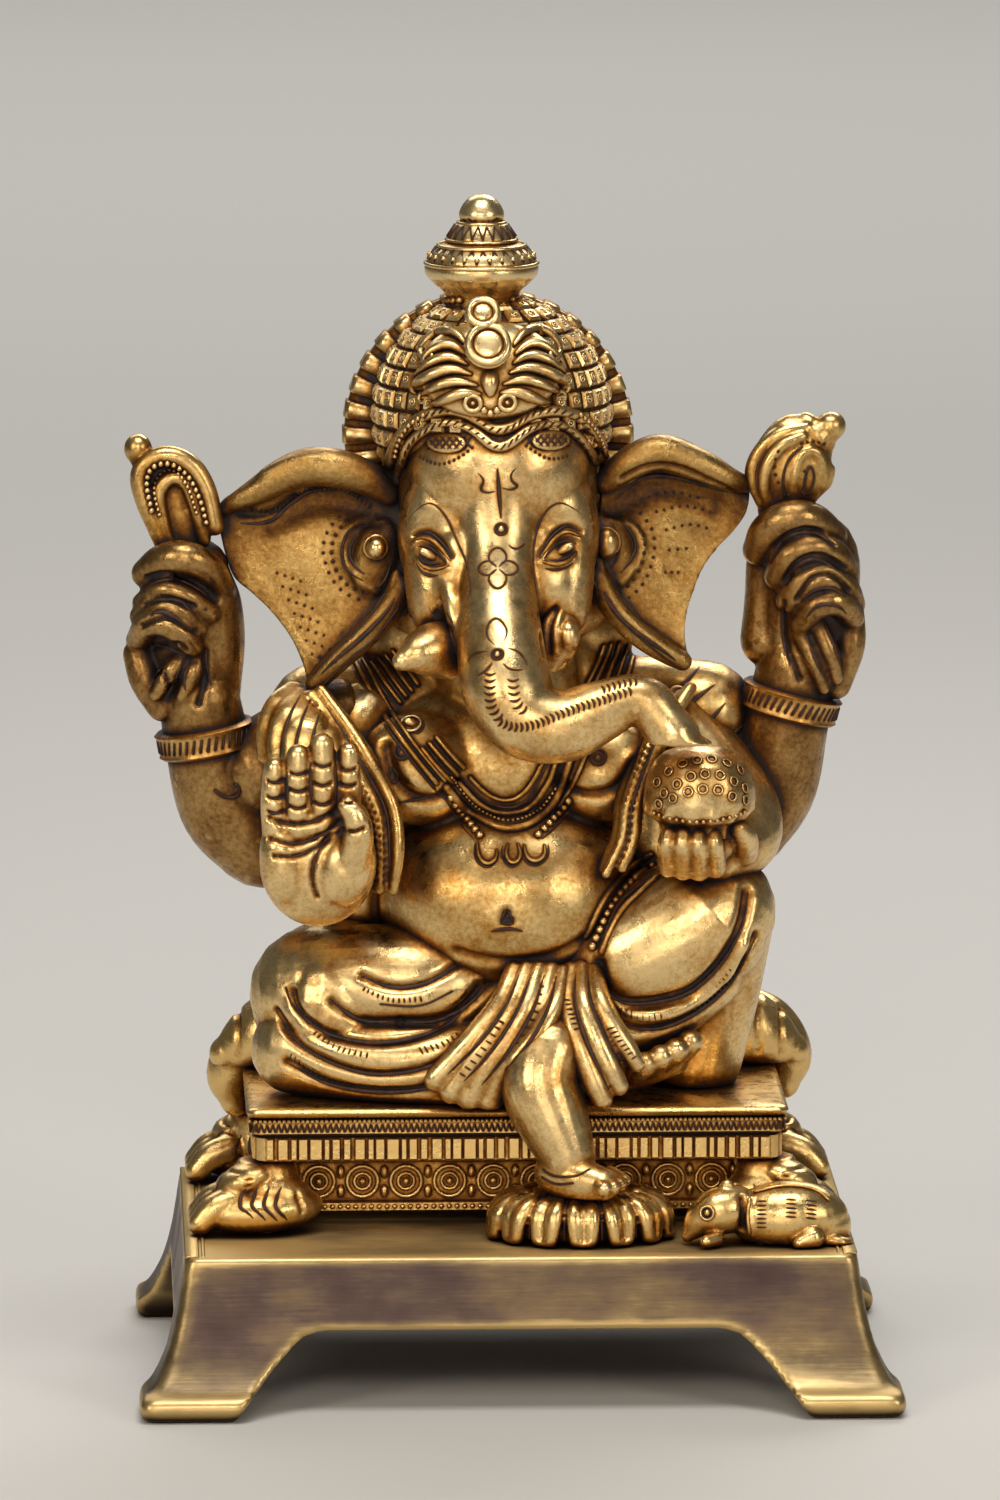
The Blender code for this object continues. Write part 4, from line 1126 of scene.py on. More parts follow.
body_shapes = [
    ball(above(-0.5, -4.5, 37), (25.5, 21, 20), segments=48, rings=32),
    ball(above(0, 7, 38), (28, 17, 32)),
    ball(above(0, 5, 12), (32, 20, 13)),
    ball(above(-1, 1, 63.5), (31, 16.5, 16.5)),
    limb(
        [
            above(-37, 5, 71.5, 10), above(-20, 5, 72.5, 10), above(20, 5, 72.5, 10),
            above(37, 5, 71.5, 10)
        ],
        wide=(0, 1, 0)
    ),
    ball(above(-18.2, -9.2, 63.0), (12.6, 8.2, 11.0)),
    ball(above(17.5, -9.4, 62.5), (11.4, 7.8, 10.0)),
    ball(above(0, 7, 64.5), (29, 14, 19)),
    limb([above(0, 4, 63.5, 17), above(-2, 3, 91, 14)]),
    ball(above(-3, 7, 88), (27, 9.5, 20)),
    limb(
        [
            above(0, 9, 8, 27), above(0, 9, 38, 27), above(0, 8, 62, 27), above(-2, 8, 82, 22),
            above(-3, 8, 96, 17)
        ],
        flat=0.6, sides=40
    ),
    limb(at("torso", [(27.0, 5.2, 9.1, 8.0), (28.6, 5.2, -2.6, 9.0), (29.4, 5.2, -13.4, 9.0)]), sides=24),
    limb(at("torso", [(-29.3, 5.2, -6.2, 8.0), (-30.9, 5.2, -21.8, 9.0)]), sides=24)
]
for shape_points, _ in body_shapes:
    flat_below(shape_points, seat_level + 0.3)
body = cast("idol_body", body_shapes, 0.62, 8)
skin = [tree_of(body)]
chase(
    body,
    [
        (
            lay(
                skin,
                drawn(
                    "torso",
                    [
                        (-25.3, 19.0), (-23.9, 13.3), (-20.9, 9.4), (-16.7, 8.2), (-13.7, 9.3),
                        (-11.0, 11.8)
                    ]
                )
            ),
            1.3, -1.5
        ),
        (
            lay(
                skin,
                drawn("torso", [(7.3, 12.1), (10.9, 9.6), (15.7, 9.2), (19.9, 11.1), (22.5, 14.9)])
            ),
            1.3, -1.5
        ),
        (lay(skin, drawn("torso", [(-9.1, -1.3), (-3.4, -2.9), (2.3, -1.4)])), 4.5, -0.5),
        (lay(skin, drawn("torso", [(-2.0, -13.3), (-2.8, -14.9), (-1.3, -14.9)])), 0.9, -0.9),
        (
            lay(skin, drawn("torso", [(-12.0, -21.0), (-3.4, -23.0), (6.2, -22.1), (12.9, -18.8)])),
            1.2, -1.0
        )
    ],
)
mount(body, body_metal, "figure_brass", "torso")
skin = [tree_of(body)]
marks = []
for line in drawn_lines(
    "torso",
    [(-2.0, -12.6), (-2.8, -14.1), (-3.4, -15.5)],
    [(-2.0, -12.6), (-1.3, -14.1), (-0.7, -15.5)],
    [(-3.6, -15.4), (-2.0, -15.7), (-0.5, -15.5)],
    [(-5.3, -17.2), (-3.4, -16.8), (-1.8, -16.6), (-0.3, -16.8), (1.2, -17.2)]
):
    marks.append(wire(lay(skin, line, 0.3), 0.34, 0.0, sides=6, taper=True))
for spot in (drawn("torso", [(-22.0, 17.7)])[0], drawn("torso", [(15.3, 16.5)])[0]):
    marks += ring_on(skin, spot, 1.5, 0.26)
    marks += ring_on(skin, spot, 0.7, 0.22)
for line in drawn_lines(
    "torso",
    [(-19.2, 24.6), (-20.3, 22.9), (-19.2, 21.1), (-17.8, 22.9), (-19.2, 24.6)],
    [(-16.3, 18.4), (-17.7, 16.7), (-16.5, 15.0), (-15.2, 16.7), (-16.3, 18.4)],
    [(-23.9, 14.6), (-24.7, 13.1), (-23.8, 11.5), (-22.8, 13.1), (-23.9, 14.6)]
):
    marks.append(wire(lay(skin, line, 0.3), 0.24, 0.0, sides=6))
detail("body_chased_marks", marks, wax, "figure_brass")


# ---- Shawl ----------------------------------------------------------------------------------
# A narrow fall of cloth, two cords wide, runs from each shoulder down beside the belly, and four
# short folds lie over the right shoulder. Wax is left in every crease.

CLOTH = {
    "shawl_right": (
        at("shawl_right", [(-7.4, 3.0, 22.5, 1.3), (-1.6, -2.0, 14.8, 1.6), (3.4, -7.0, 7.0, 1.6),
            (6.2, -9.0, 0.8, 1.5), (6.8, -10.5, -6.7, 1.4), (6.0, -10.5, -14.1, 1.0)]),
        at("shawl_right", [(-9.3, 3.0, 21.2, 1.5), (-4.3, -2.0, 13.6, 2.0), (0.0, -7.0, 6.1, 2.0),
            (2.8, -9.0, -0.4, 1.8), (3.5, -10.0, -7.6, 1.6), (3.5, -10.0, -13.8, 1.2)]),
        at("shawl_right", [(-11.5, 6.0, 22.5, 1.4), (-14.1, 2.0, 19.6, 2.1), (-15.9, 0.0, 15.3, 2.2),
            (-16.7, 0.0, 9.5, 1.7)]),
        at("shawl_right", [(-10.1, 4.0, 21.6, 1.4), (-12.5, -1.0, 18.2, 2.1), (-13.8, -3.0, 13.4, 2.2),
            (-14.4, -4.0, 8.2, 1.7)]),
        at("shawl_right", [(-8.5, 3.0, 20.2, 1.4), (-10.4, -3.0, 16.5, 2.1), (-11.2, -5.0, 11.8, 2.1),
            (-11.6, -6.0, 7.0, 1.7)]),
        at("shawl_right", [(-6.5, 1.0, 17.8, 1.3), (-7.4, -4.0, 14.3, 1.9), (-7.6, -6.0, 10.0, 1.9),
            (-7.4, -7.0, 5.5, 1.5)]),
    ),
    "shawl_left": (
        at("shawl_left", [(3.1, 3.5, 22.9, 1.3), (-1.4, -1.5, 16.7, 1.6), (-5.0, -5.5, 9.6, 1.6),
            (-7.4, -7.5, 3.0, 1.4), (-8.2, -8.5, -4.2, 1.2), (-10.5, -9.5, -9.8, 1.0)]),
        at("shawl_left", [(1.1, 3.5, 21.7, 1.0), (-3.5, -1.5, 16.0, 1.4), (-6.7, -5.5, 9.2, 1.4),
            (-9.3, -7.5, 2.6, 1.3), (-10.5, -8.5, -4.6, 1.1), (-13.6, -9.5, -11.0, 0.9)]),
    ),
}
FOLD_ACROSS = {"shawl_right": (1, 0.2, 0), "shawl_left": (-0.7, 0, 0.7)}
CLOTH_CREASES = {
    "shawl_right": drawn_lines(
        "shawl_right",
        [(-8.3, 24.2), (-3.0, 15.9), (1.8, 7.4), (4.6, 1.0), (5.2, -7.1), (4.8, -12.9)],
        [(-11.1, 25.0), (-13.4, 20.8), (-15.0, 16.0), (-15.7, 10.8)],
        [(-9.6, 23.7), (-11.5, 18.9), (-12.7, 13.9), (-13.1, 9.2)],
        [(-7.7, 21.5), (-9.1, 16.9), (-9.7, 12.1), (-9.7, 7.7)]
    ),
    "shawl_left": (
        drawn(
            "shawl_left",
            [(1.1, 24.7), (-3.1, 18.0), (-6.3, 10.5), (-8.6, 3.6), (-9.6, -3.7), (-12.2, -9.5)]
        ),
    )
}


def creases_in(trees, lines, radius=0.3, lift=-0.05):
    """Fine lines of wax left along drawn lines."""
    return [wire(lay(trees, line, 0.35), radius, lift, sides=6, taper=True) for line in lines]


for name, cords in CLOTH.items():
    backing = [(x, y + 2.6, z, r * 1.9) for x, y, z, r in cords[1]]
    fall = cast(
        name + "_cords",
        [limb(line, sides=16, pitch=1.0) for line in cords[:2]] + [
            limb(
                [(*p[:3], p[3] * 1.9) for p in line], flat=0.36, wide=FOLD_ACROSS[name], sides=18,
                pitch=1.0
            )
            for line in cords[2:]
        ] + [limb(backing, flat=0.7, pitch=1.2)],
        0.4, 1
    )
    nicks = []
    path = even([p[:3] for p in cords[1]], 1.5)
    for k in range(1, len(path) - 1):
        nicks.append(
            (
                np.array(
                    [path[k] + (-0.9, -1.2, 0.3), path[k] + (0, -1.8, 0), path[k] + (0.9, -1.2, -0.3)]
                ),
                0.4, -0.45
            )
        )
    chase(fall, nicks)
    mount(fall, aged_metal, "figure_brass", name)
    detail(
        name + "_creases",
        creases_in([tree_of(fall)], CLOTH_CREASES[name], 0.42, -0.15),
        wax, "figure_brass"
    )


# ---- Necklace -------------------------------------------------------------------------------
# Bundles of cord come down from the neck on both sides, leave the breasts bare and join in a deep
# loop with a strand of beads and three small crescents. They are cast with the chest.

skin = [tree_of(body)]
CORDS = (
    (drawn("necklace", [(-29.0, 20.7), (-23.5, 10.5), (-18.1, 3.0), (-13.0, -3.4)]), 0.6),
    (drawn("necklace", [(-27.6, 21.3), (-22.1, 11.1), (-16.8, 3.5), (-11.5, -2.8)]), 0.5),
    (drawn("necklace", [(-26.1, 20.7), (-23.1, 16.3), (-19.8, 12.0)]), 0.5),
    (drawn("necklace", [(-24.8, 21.7), (-21.7, 17.1), (-18.7, 13.2)]), 0.5),
    (drawn("necklace", [(-23.4, 22.4), (-20.6, 18.2), (-17.7, 14.3)]), 0.5),
    (drawn("necklace", [(-22.1, 23.2), (-19.3, 19.3), (-16.6, 15.5)]), 0.55),
    (drawn("necklace", [(-16.6, 4.3), (-13.2, 0.1), (-10.1, -3.2)]), 0.6),
    (drawn("necklace", [(-15.3, 5.3), (-12.0, 1.4), (-9.0, -1.7)]), 0.6),
    (drawn("necklace", [(-13.9, 6.4), (-10.9, 2.7), (-7.9, -0.4)]), 0.6),
    (
        drawn(
            "necklace",
            [
                (-12.2, -2.8), (-7.9, -7.9), (-2.5, -11.2), (1.3, -11.8), (5.3, -10.5), (8.7, -6.8),
                (11.2, -1.6), (13.1, 4.5)
            ]
        ),
        0.95
    ),
    (
        drawn(
            "necklace",
            [(-9.8, -2.1), (-5.9, -6.2), (-2.1, -8.7), (1.5, -8.9), (4.5, -7.4), (7.4, -3.5), (9.7, 1.9)]
        ),
        0.7
    ),
    (
        drawn(
            "necklace",
            [(-7.5, -1.3), (-4.0, -4.8), (-0.8, -6.2), (2.1, -5.6), (4.7, -2.9), (7.4, 2.1)]
        ),
        0.5
    ),
    (drawn("necklace", [(18.6, 24.0), (17.1, 19.9), (15.0, 15.3)]), 0.55),
    (drawn("necklace", [(19.9, 24.3), (18.4, 19.9), (16.3, 14.9)]), 0.55),
    (drawn("necklace", [(21.5, 24.5), (20.1, 19.9), (18.0, 14.5)]), 0.6),
    (drawn("necklace", [(23.0, 23.9), (21.8, 19.5), (20.0, 14.5)]), 0.5),
    (drawn("necklace", [(24.3, 23.0), (23.4, 19.1), (21.7, 14.5)]), 0.6),
    (drawn("necklace", [(15.8, 4.5), (14.4, 0.7), (12.0, -4.3), (9.3, -7.8)]), 0.55),
)
cords = [wire(lay(skin, line), r, 0.2) for line, r in CORDS]
medal = lay(skin, drawn("necklace", [(-18.3, 8.6), (-17.9, 8.6)]))[0]
cords.append(torus(medal[:3], medal[3:], 1.9, 0.3, around=28, section=8))
cords.append(ball(medal[:3], (1.5, 0.7, 1.0), (0, 30, 0), segments=20, rings=12))
detail("necklace_cords", cords, figure_metal, "figure_brass")
strand = []
for line, r in (
    (drawn("necklace", [(-10.9, -5.4), (-9.0, -8.1), (-7.1, -10.6), (-5.0, -13.3)]), 0.85),
    (drawn("necklace", [(12.0, -6.1), (10.1, -8.4), (8.0, -10.9), (5.7, -13.2)]), 0.85),
    (
        drawn(
            "necklace",
            [(-10.9, -1.5), (-7.1, -6.1), (-2.9, -9.6), (1.3, -10.4), (5.7, -8.5), (9.3, -3.9)]
        ),
        0.45
    )
):
    strand += beads_on(lay(skin, line), r, r * 2.1, 0.2)
necklace_beads = build("necklace_beads", strand)
necklace_beads.data.shade_smooth()
mount(necklace_beads, figure_metal, "figure_brass", "necklace")
gaps = creases_in(
    skin,
    drawn_lines(
        "necklace",
        [
            (-29.9, 20.2), (-24.4, 10.1), (-18.9, 2.4), (-13.6, -4.2), (-11.7, -6.1), (-8.6, -11.2),
            (-5.9, -14.3)
        ],
        [(-26.9, 20.7), (-23.1, 14.7), (-20.0, 10.9)],
        [(-25.3, 21.1), (-22.3, 16.7), (-19.1, 12.4)],
        [(-24.0, 21.9), (-21.0, 17.4), (-18.1, 13.6)],
        [(-15.8, 4.7), (-12.6, 0.6), (-9.6, -2.7)],
        [(-14.5, 5.7), (-11.5, 2.0), (-8.4, -1.1)],
        [
            (-10.9, -2.7), (-6.9, -7.3), (-2.3, -10.0), (1.3, -10.6), (5.1, -9.1), (8.2, -5.5),
            (10.4, -0.3)
        ],
        [(-8.6, -1.7), (-5.0, -5.6), (-1.6, -7.5), (1.7, -7.5), (4.5, -5.4), (8.5, 1.9)],
        [(19.4, 23.9), (17.9, 19.7), (15.8, 14.9)],
        [(20.7, 24.3), (19.4, 19.7), (17.3, 14.5)],
        [(22.4, 24.1), (21.1, 19.5), (19.0, 14.5)],
        [(13.5, -6.3), (11.2, -9.1), (8.7, -12.0), (6.4, -14.1)],
        [(-21.6, -6.6), (-18.5, -6.3), (-13.2, -5.1)]
    ),
    0.34
)
detail("necklace_gaps", gaps, wax, "figure_brass")
pendants = []
for line in drawn_lines(
    "necklace",
    [(-5.6, -13.9), (-5.4, -17.0), (-3.7, -18.7), (-1.9, -17.2), (-2.1, -15.4)],
    [(0.3, -14.3), (-0.2, -16.8), (1.1, -18.6), (2.6, -17.0), (1.9, -14.3)],
    [(3.2, -14.5), (3.6, -17.0), (5.3, -18.2), (7.2, -16.9), (7.0, -14.5)]
):
    pendants.append(wire(lay(skin, line, 0.4), 0.5, 0.1, taper=True))
detail("necklace_pendants", pendants, figure_metal, "figure_brass")
detail(
    "pendant_outlines",
    creases_in(
        skin,
        drawn_lines(
            "necklace",
            [(-6.1, -13.9), (-6.0, -17.4), (-3.7, -19.3), (-1.4, -17.6)],
            [(-0.8, -14.7), (-1.0, -17.2), (1.1, -19.3), (3.2, -17.4)],
            [(2.8, -15.5), (3.0, -17.6), (5.3, -19.0), (7.8, -17.2), (7.8, -14.3)]
        ),
        0.28
    ),
    wax, "figure_brass"
)


# ---- Folded leg -----------------------------------------------------------------------------
# The idol's right leg lies across the seat in a tight cloth. Long folds run from the knee to the
# waist, and rows of short nicks follow them.

leg_shapes = [
    ball(above(-33.5, -4, 17), (17, 19, 16)),
    limb(
        [above(-38, -7, 19, 13), above(-21, -12, 21, 12), above(-5, -9, 19, 11)],
        wide=(0, 1, 0), sides=36
    ),
    limb(
        [
            above(-42, -12, 9, 8.8), above(-24, -18.5, 8, 8.8), above(-6, -21, 7, 7.8),
            above(10, -19, 6, 6.2)
        ],
        wide=(0, 1, 0), sides=36
    ),
    limb(
        [above(10, -18, 6, 6), above(22, -17.5, 6.2, 4.6), above(30, -17, 7.4, 3.2)],
        wide=(0, 1, 0), sides=20
    )
]
for tip in (
    at("leg_folded", [(28.9, -16.5, -11.4, 2.0), (30.4, -20.0, -8.8, 2.5)]),
    at("leg_folded", [(32.0, -15.5, -10.4, 2.0), (33.5, -19.0, -7.6, 2.5)]),
    at("leg_folded", [(34.7, -14.5, -9.4, 2.0), (36.5, -18.0, -6.5, 2.5)]),
    at("leg_folded", [(37.5, -12.5, -8.6, 2.1), (39.2, -16.0, -5.3, 2.6)])
):
    leg_shapes.append(limb(tip, sides=14, pitch=0.8))
for shape_points, _ in leg_shapes:
    flat_below(shape_points, seat_level + 0.3)
folded_leg = cast("folded_leg", leg_shapes, 0.45, 2)
skin = [tree_of(folded_leg)]
folds = [
    (
        drawn("leg_folded", [(-24.0, 8.7), (-18.3, 6.4), (-12.6, 6.7), (-7.8, 9.0), (-3.4, 12.5)]),
        0.9, -1.0
    ),
    (
        drawn(
            "leg_folded",
            [
                (-37.0, 5.9), (-35.5, 1.6), (-29.8, -2.7), (-21.2, -4.5), (-12.6, -3.2), (-5.9, 0.1),
                (-1.1, 6.7)
            ]
        ),
        0.9, -1.1
    ),
    (
        drawn(
            "leg_folded",
            [
                (-40.2, 2.1), (-35.9, -4.2), (-28.8, -8.5), (-20.2, -10.5), (-10.7, -9.0), (-3.0, -4.8),
                (2.3, 2.2)
            ]
        ),
        0.9, -1.1
    ),
    (drawn("leg_folded", [(-16.4, -0.4), (-9.7, -0.3), (-3.8, 2.6), (0.1, 6.5), (2.0, 9.9)]), 1.0, -1.2),
    (
        drawn("leg_folded", [(-38.4, -8.0), (-29.8, -12.4), (-19.3, -14.0), (-9.7, -12.9), (-3.0, -9.0)]),
        1.1, -1.2
    ),
    (drawn("leg_folded", [(-29.7, 3.9), (-24.0, 0.0), (-16.4, -0.4)]), 0.9, -0.9),
    (
        drawn("leg_folded", [(-31.6, 10.1), (-25.9, 5.8), (-18.3, 3.3), (-10.6, 3.6), (-4.9, 6.7)]),
        2.2, 0.35
    ),
    (
        drawn("leg_folded", [(-35.5, -1.5), (-27.8, -5.8), (-19.3, -7.4), (-10.7, -5.9), (-4.0, -2.0)]),
        2.0, 0.3
    )
]
chase(folded_leg, [(lay(skin, line), w, d) for line, w, d in folds])
mount(folded_leg, figure_metal, "figure_brass", "leg_folded")
skin = [tree_of(folded_leg)]


def hatch(trees, top, bottom, pitch, radius=0.2):
    """Short nicks between two drawn lines, as a row of fine wires of wax."""
    above_line, below_line = even(top, 0.2), even(bottom, 0.2)
    run = np.linalg.norm(np.diff(above_line, axis=0), axis=1).sum()
    count = max(2, int(run / pitch))
    nicks = []
    for k in range(count + 1):
        a = above_line[int(k / count * (len(above_line) - 1))]
        b = below_line[int(k / count * (len(below_line) - 1))]
        nicks.append(
            wire(
                lay(trees, [tuple(a), tuple((a + b) / 2), tuple(b)], 0.35), radius,
                0.0, sides=5, taper=True
            )
        )
    return nicks


nicks = hatch(
    skin,
    drawn("leg_folded", [(-22.9, 6.6), (-17.9, 4.6), (-12.6, 4.8)]),
    drawn("leg_folded", [(-23.6, 5.4), (-18.3, 3.1), (-12.2, 3.2)]),
    0.95
)
nicks += hatch(
    skin,
    drawn("leg_folded", [(-32.0, -1.9), (-27.8, -4.6), (-22.5, -6.0)]),
    drawn("leg_folded", [(-33.2, -3.0), (-28.6, -6.2), (-22.9, -7.7)]),
    1.0
)
nicks += hatch(
    skin,
    drawn("leg_folded", [(-12.9, -5.1), (-8.7, -4.0), (-4.9, -1.7)]),
    drawn("leg_folded", [(-11.8, -7.0), (-7.6, -5.5), (-3.8, -3.2)]),
    1.0
)
nicks += hatch(
    skin,
    drawn("leg_folded", [(-37.0, -6.1), (-32.1, -9.6), (-25.9, -11.4)]),
    drawn("leg_folded", [(-37.4, -7.7), (-32.4, -11.2), (-26.0, -13.2)]),
    1.0
)
for line in drawn_lines(
    "leg_folded", [(-19.2, 6.8), (-12.6, 6.5), (-6.8, 9.2)], [(-20.6, 3.1), (-12.6, 2.7), (-5.9, 5.7)],
    [(-38.3, 6.9), (-37.0, 3.0), (-33.6, -0.9)]
):
    nicks.append(wire(lay(skin, line), 0.2, 0.0, sides=5))
nicks += creases_in(skin, [line for line, _, depth in folds if depth < 0], 0.6, -0.15)
detail("folded_leg_nicks", nicks, wax, "figure_brass")


# ---- Raised leg -----------------------------------------------------------------------------
# The left knee stands up beside the belly. Its cloth is buffed bright over the knee and gathered
# into a hemmed band below it.

knee_shapes = [
    limb(
        [
            above(9, -5, 20, 12.4), above(23, -12.5, 26.5, 13.6), above(36, -13.5, 34, 13.4),
            above(37.5, -13, 35.5, 12.6)
        ],
        wide=(0, 1, 0), sides=36
    ),
    limb([above(38, -9.5, 33, 11.8), above(37, -5, 18, 10.2), above(35, -2, 5, 9.2)], sides=30),
    limb(
        [above(14, -16, 12, 8.0), above(26, -16, 17, 8.0), above(36, -14, 24, 8.0)],
        wide=(0, 1, 0), sides=24
    )
]
for shape_points, _ in knee_shapes:
    flat_below(shape_points, seat_level + 0.3)
raised_leg = cast("raised_leg", knee_shapes, 0.45, 3)
skin = [tree_of(raised_leg)]
folds = [
    (
        drawn(
            "leg_raised",
            [
                (-11.3, 3.9), (-10.1, -1.2), (-6.7, -3.9), (-1.3, -4.1), (6.3, -2.0), (12.4, 3.7),
                (16.3, 10.9), (17.4, 17.7)
            ]
        ),
        1.3, -1.7
    ),
    (
        drawn(
            "leg_raised",
            [(-10.5, -3.5), (-6.6, -8.2), (0.6, -9.0), (8.3, -5.5), (14.4, 0.2), (19.1, 8.9)]
        ),
        1.1, -1.4
    ),
    (
        drawn(
            "leg_raised",
            [(-10.9, 0.4), (-8.6, -3.5), (-3.2, -6.3), (4.4, -5.9), (12.1, -0.7), (17.4, 7.0)]
        ),
        1.6, 0.7
    ),
    (drawn("leg_raised", [(-10.9, 7.2), (-7.4, 14.9), (-2.3, 19.7), (2.1, 22.4)]), 0.9, -1.0)
]
chase(raised_leg, [(lay(skin, line), w, d) for line, w, d in folds])
mount(raised_leg, figure_metal, "figure_brass", "leg_raised")
skin = [tree_of(raised_leg)]
nicks = hatch(
    skin,
    drawn("leg_raised", [(-6.7, -4.7), (-3.2, -5.9), (0.6, -5.9)]),
    drawn("leg_raised", [(-7.0, -6.6), (-3.2, -7.8), (1.0, -7.8)]),
    0.95
)
nicks += hatch(
    skin,
    drawn("leg_raised", [(6.3, -4.4), (10.2, -1.7), (13.6, 2.6)]),
    drawn("leg_raised", [(7.9, -5.9), (11.7, -3.2), (15.1, 1.0)]),
    1.0
)
nicks += creases_in(skin, [line for line, _, depth in folds if depth < 0], 0.6, -0.15)
detail("raised_leg_nicks", nicks, wax, "figure_brass")
skin = [tree_of(raised_leg), tree_of(body)]
rope = beads_on(
    lay(skin, drawn("leg_raised", [(-12.4, 6.6), (-8.6, 14.9), (-4.0, 20.1), (0.6, 23.6)])),
    0.95, 1.7, 0.1
)
rope += [
    wire(lay(skin, line), 0.75, 0.1)
    for line in drawn_lines(
        "leg_raised",
        [(-13.9, 8.2), (-10.1, 16.3), (-5.2, 22.0), (-0.4, 25.1)],
        [(-10.9, 5.0), (-7.1, 13.2), (-2.3, 18.2), (2.1, 22.0)]
    )
]
detail("waist_rope", rope, figure_metal, "figure_brass")


# ---- Hanging shin and foot ------------------------------------------------------------------
# The left shin comes down over the seat's edge to a bare foot, flat on the lotus, with four toes
# and an anklet line.

foot_level = lotus_high.z
shin_shapes = [
    limb(
        at(
            "shin_hanging",
            [
                (-3.2, 3.0, 8.0, 8.2), (-4.6, 0.0, 2.2, 7.9), (-2.4, -2.0, -4.2, 7.0),
                (0.0, -3.5, -10.2, 5.6), (0.8, -4.0, -14.0, 4.9)
            ]
        ),
        sides=28, pitch=1.0
    ),
    limb(
        at("shin_hanging", [(-1.5, -3.0, -14.1, 4.6), (2.6, -6.0, -15.1, 4.4), (6.7, -8.5, -15.5, 3.2)]),
        sides=24, pitch=0.8
    )
]
for tip in (
    at("shin_hanging", [(4.8, -7.0, -15.3, 2.2), (6.9, -12.0, -15.7, 1.5)]),
    at("shin_hanging", [(6.2, -7.0, -15.0, 2.0), (8.7, -11.0, -15.6, 1.4)]),
    at("shin_hanging", [(7.6, -6.0, -14.8, 1.9), (10.1, -9.5, -15.3, 1.3)]),
    at("shin_hanging", [(8.4, -4.0, -14.6, 1.8), (11.1, -7.5, -14.9, 1.2)])
):
    shin_shapes.append(limb(tip, sides=14, pitch=0.6))
for shape_points, _ in shin_shapes:
    flat_below(shape_points, foot_level - 0.6)
shin = cast("hanging_shin", shin_shapes, 0.35, 1)
mount(shin, figure_metal, "figure_brass", "shin_hanging")
skin = [tree_of(shin)]
lines = [
    wire(lay(skin, line, 0.4), 0.22, 0.0, sides=5)
    for line in drawn_lines(
        "shin_hanging",
        [(-4.4, -14.9), (-2.1, -16.4), (2.1, -16.5), (5.3, -14.9)],
        [(-4.6, -16.4), (-1.7, -18.0), (2.1, -17.8)]
    )
]
detail("shin_lines", lines, wax, "figure_brass")


# ---- Pleats and drape -----------------------------------------------------------------------
# The cloth's loose ends: pleats spread from the waist over the seat's edge, and a wide hemmed fall
# hangs over the hidden side of the shin.

pleat_lines = (
    at("dhoti_pleats", [(10.1, 0.4, 11.7, 1.7), (7.3, -3.6, 5.8, 2.1), (2.1, -5.1, -0.9, 2.4),
        (-5.0, -4.6, -8.7, 2.6)]),
    at("dhoti_pleats", [(12.4, -0.1, 11.8, 1.7), (9.5, -4.6, 5.2, 2.2), (4.3, -6.1, -2.2, 2.6),
        (-1.9, -5.1, -10.9, 2.7)]),
    at("dhoti_pleats", [(14.7, -0.6, 11.6, 1.8), (12.0, -5.6, 4.6, 2.3), (7.0, -6.6, -3.3, 2.8),
        (1.5, -5.6, -12.0, 2.8)]),
    at("dhoti_pleats", [(17.1, -0.6, 11.4, 1.8), (14.7, -5.6, 4.2, 2.3), (9.8, -7.6, -3.4, 2.8),
        (5.3, -6.1, -12.3, 2.8)]),
    at("dhoti_pleats", [(19.4, -0.6, 11.0, 1.6), (17.9, -5.6, 5.9, 2.0), (14.7, -8.6, 0.9, 2.4),
        (10.2, -9.1, -4.4, 2.4)]),
)
pleat_shapes = [limb(line, sides=18, pitch=1.0) for line in pleat_lines]
for shape_points, _ in pleat_shapes:
    flat_below(shape_points, seat_level + 0.3)
pleats = cast("waist_pleats", pleat_shapes, 0.4, 1)
mount(pleats, figure_metal, "figure_brass", "dhoti_pleats")
skin = [tree_of(pleats)]
nicks = hatch(
    skin,
    drawn("dhoti_pleats", [(6.8, 2.2), (3.1, -3.3), (-0.7, -7.9)]),
    drawn("dhoti_pleats", [(8.3, 1.4), (4.8, -4.2), (1.0, -8.9)]),
    1.5
)
nicks += hatch(
    skin,
    drawn("dhoti_pleats", [(14.6, 8.9), (13.1, 3.1), (9.6, -1.7)]),
    drawn("dhoti_pleats", [(16.1, 8.5), (14.6, 2.5), (11.2, -2.5)]),
    1.6
)
nicks += creases_in(
    skin,
    drawn_lines(
        "dhoti_pleats",
        [(11.1, 11.4), (8.5, 5.1), (3.3, -2.3), (-3.0, -8.5)],
        [(13.4, 11.4), (10.8, 4.3), (5.8, -3.7), (0.1, -10.0)],
        [(15.9, 11.2), (13.4, 3.7), (8.7, -4.3), (3.5, -10.8)],
        [(18.2, 11.0), (16.5, 4.4), (12.9, -2.2), (7.9, -7.9)]
    ),
    0.45, -0.1
)
detail("pleat_nicks", nicks, wax, "figure_brass")

drape_lines = (
    at("dhoti_drape", [(-10.4, 0.6, 11.5, 1.8), (-11.2, -4.4, 5.8, 2.4), (-9.4, -8.4, -0.8, 2.6),
        (-6.8, -10.4, -7.1, 2.5), (-4.9, -10.9, -11.4, 2.1)]),
    at("dhoti_drape", [(-8.3, 0.6, 11.9, 1.8), (-8.3, -5.4, 6.4, 2.3), (-6.2, -8.9, 0.4, 2.5),
        (-3.6, -10.4, -5.1, 2.3), (-1.7, -10.4, -9.0, 1.9)]),
    at("dhoti_drape", [(-6.0, 0.6, 11.5, 1.8), (-5.1, -5.4, 6.7, 2.2), (-2.5, -8.4, 1.5, 2.3),
        (0.3, -9.4, -2.6, 2.0), (1.8, -9.4, -5.0, 1.6)]),
)
drape = cast("side_drape", [limb(line, sides=18, pitch=1.0) for line in drape_lines], 0.4, 1)
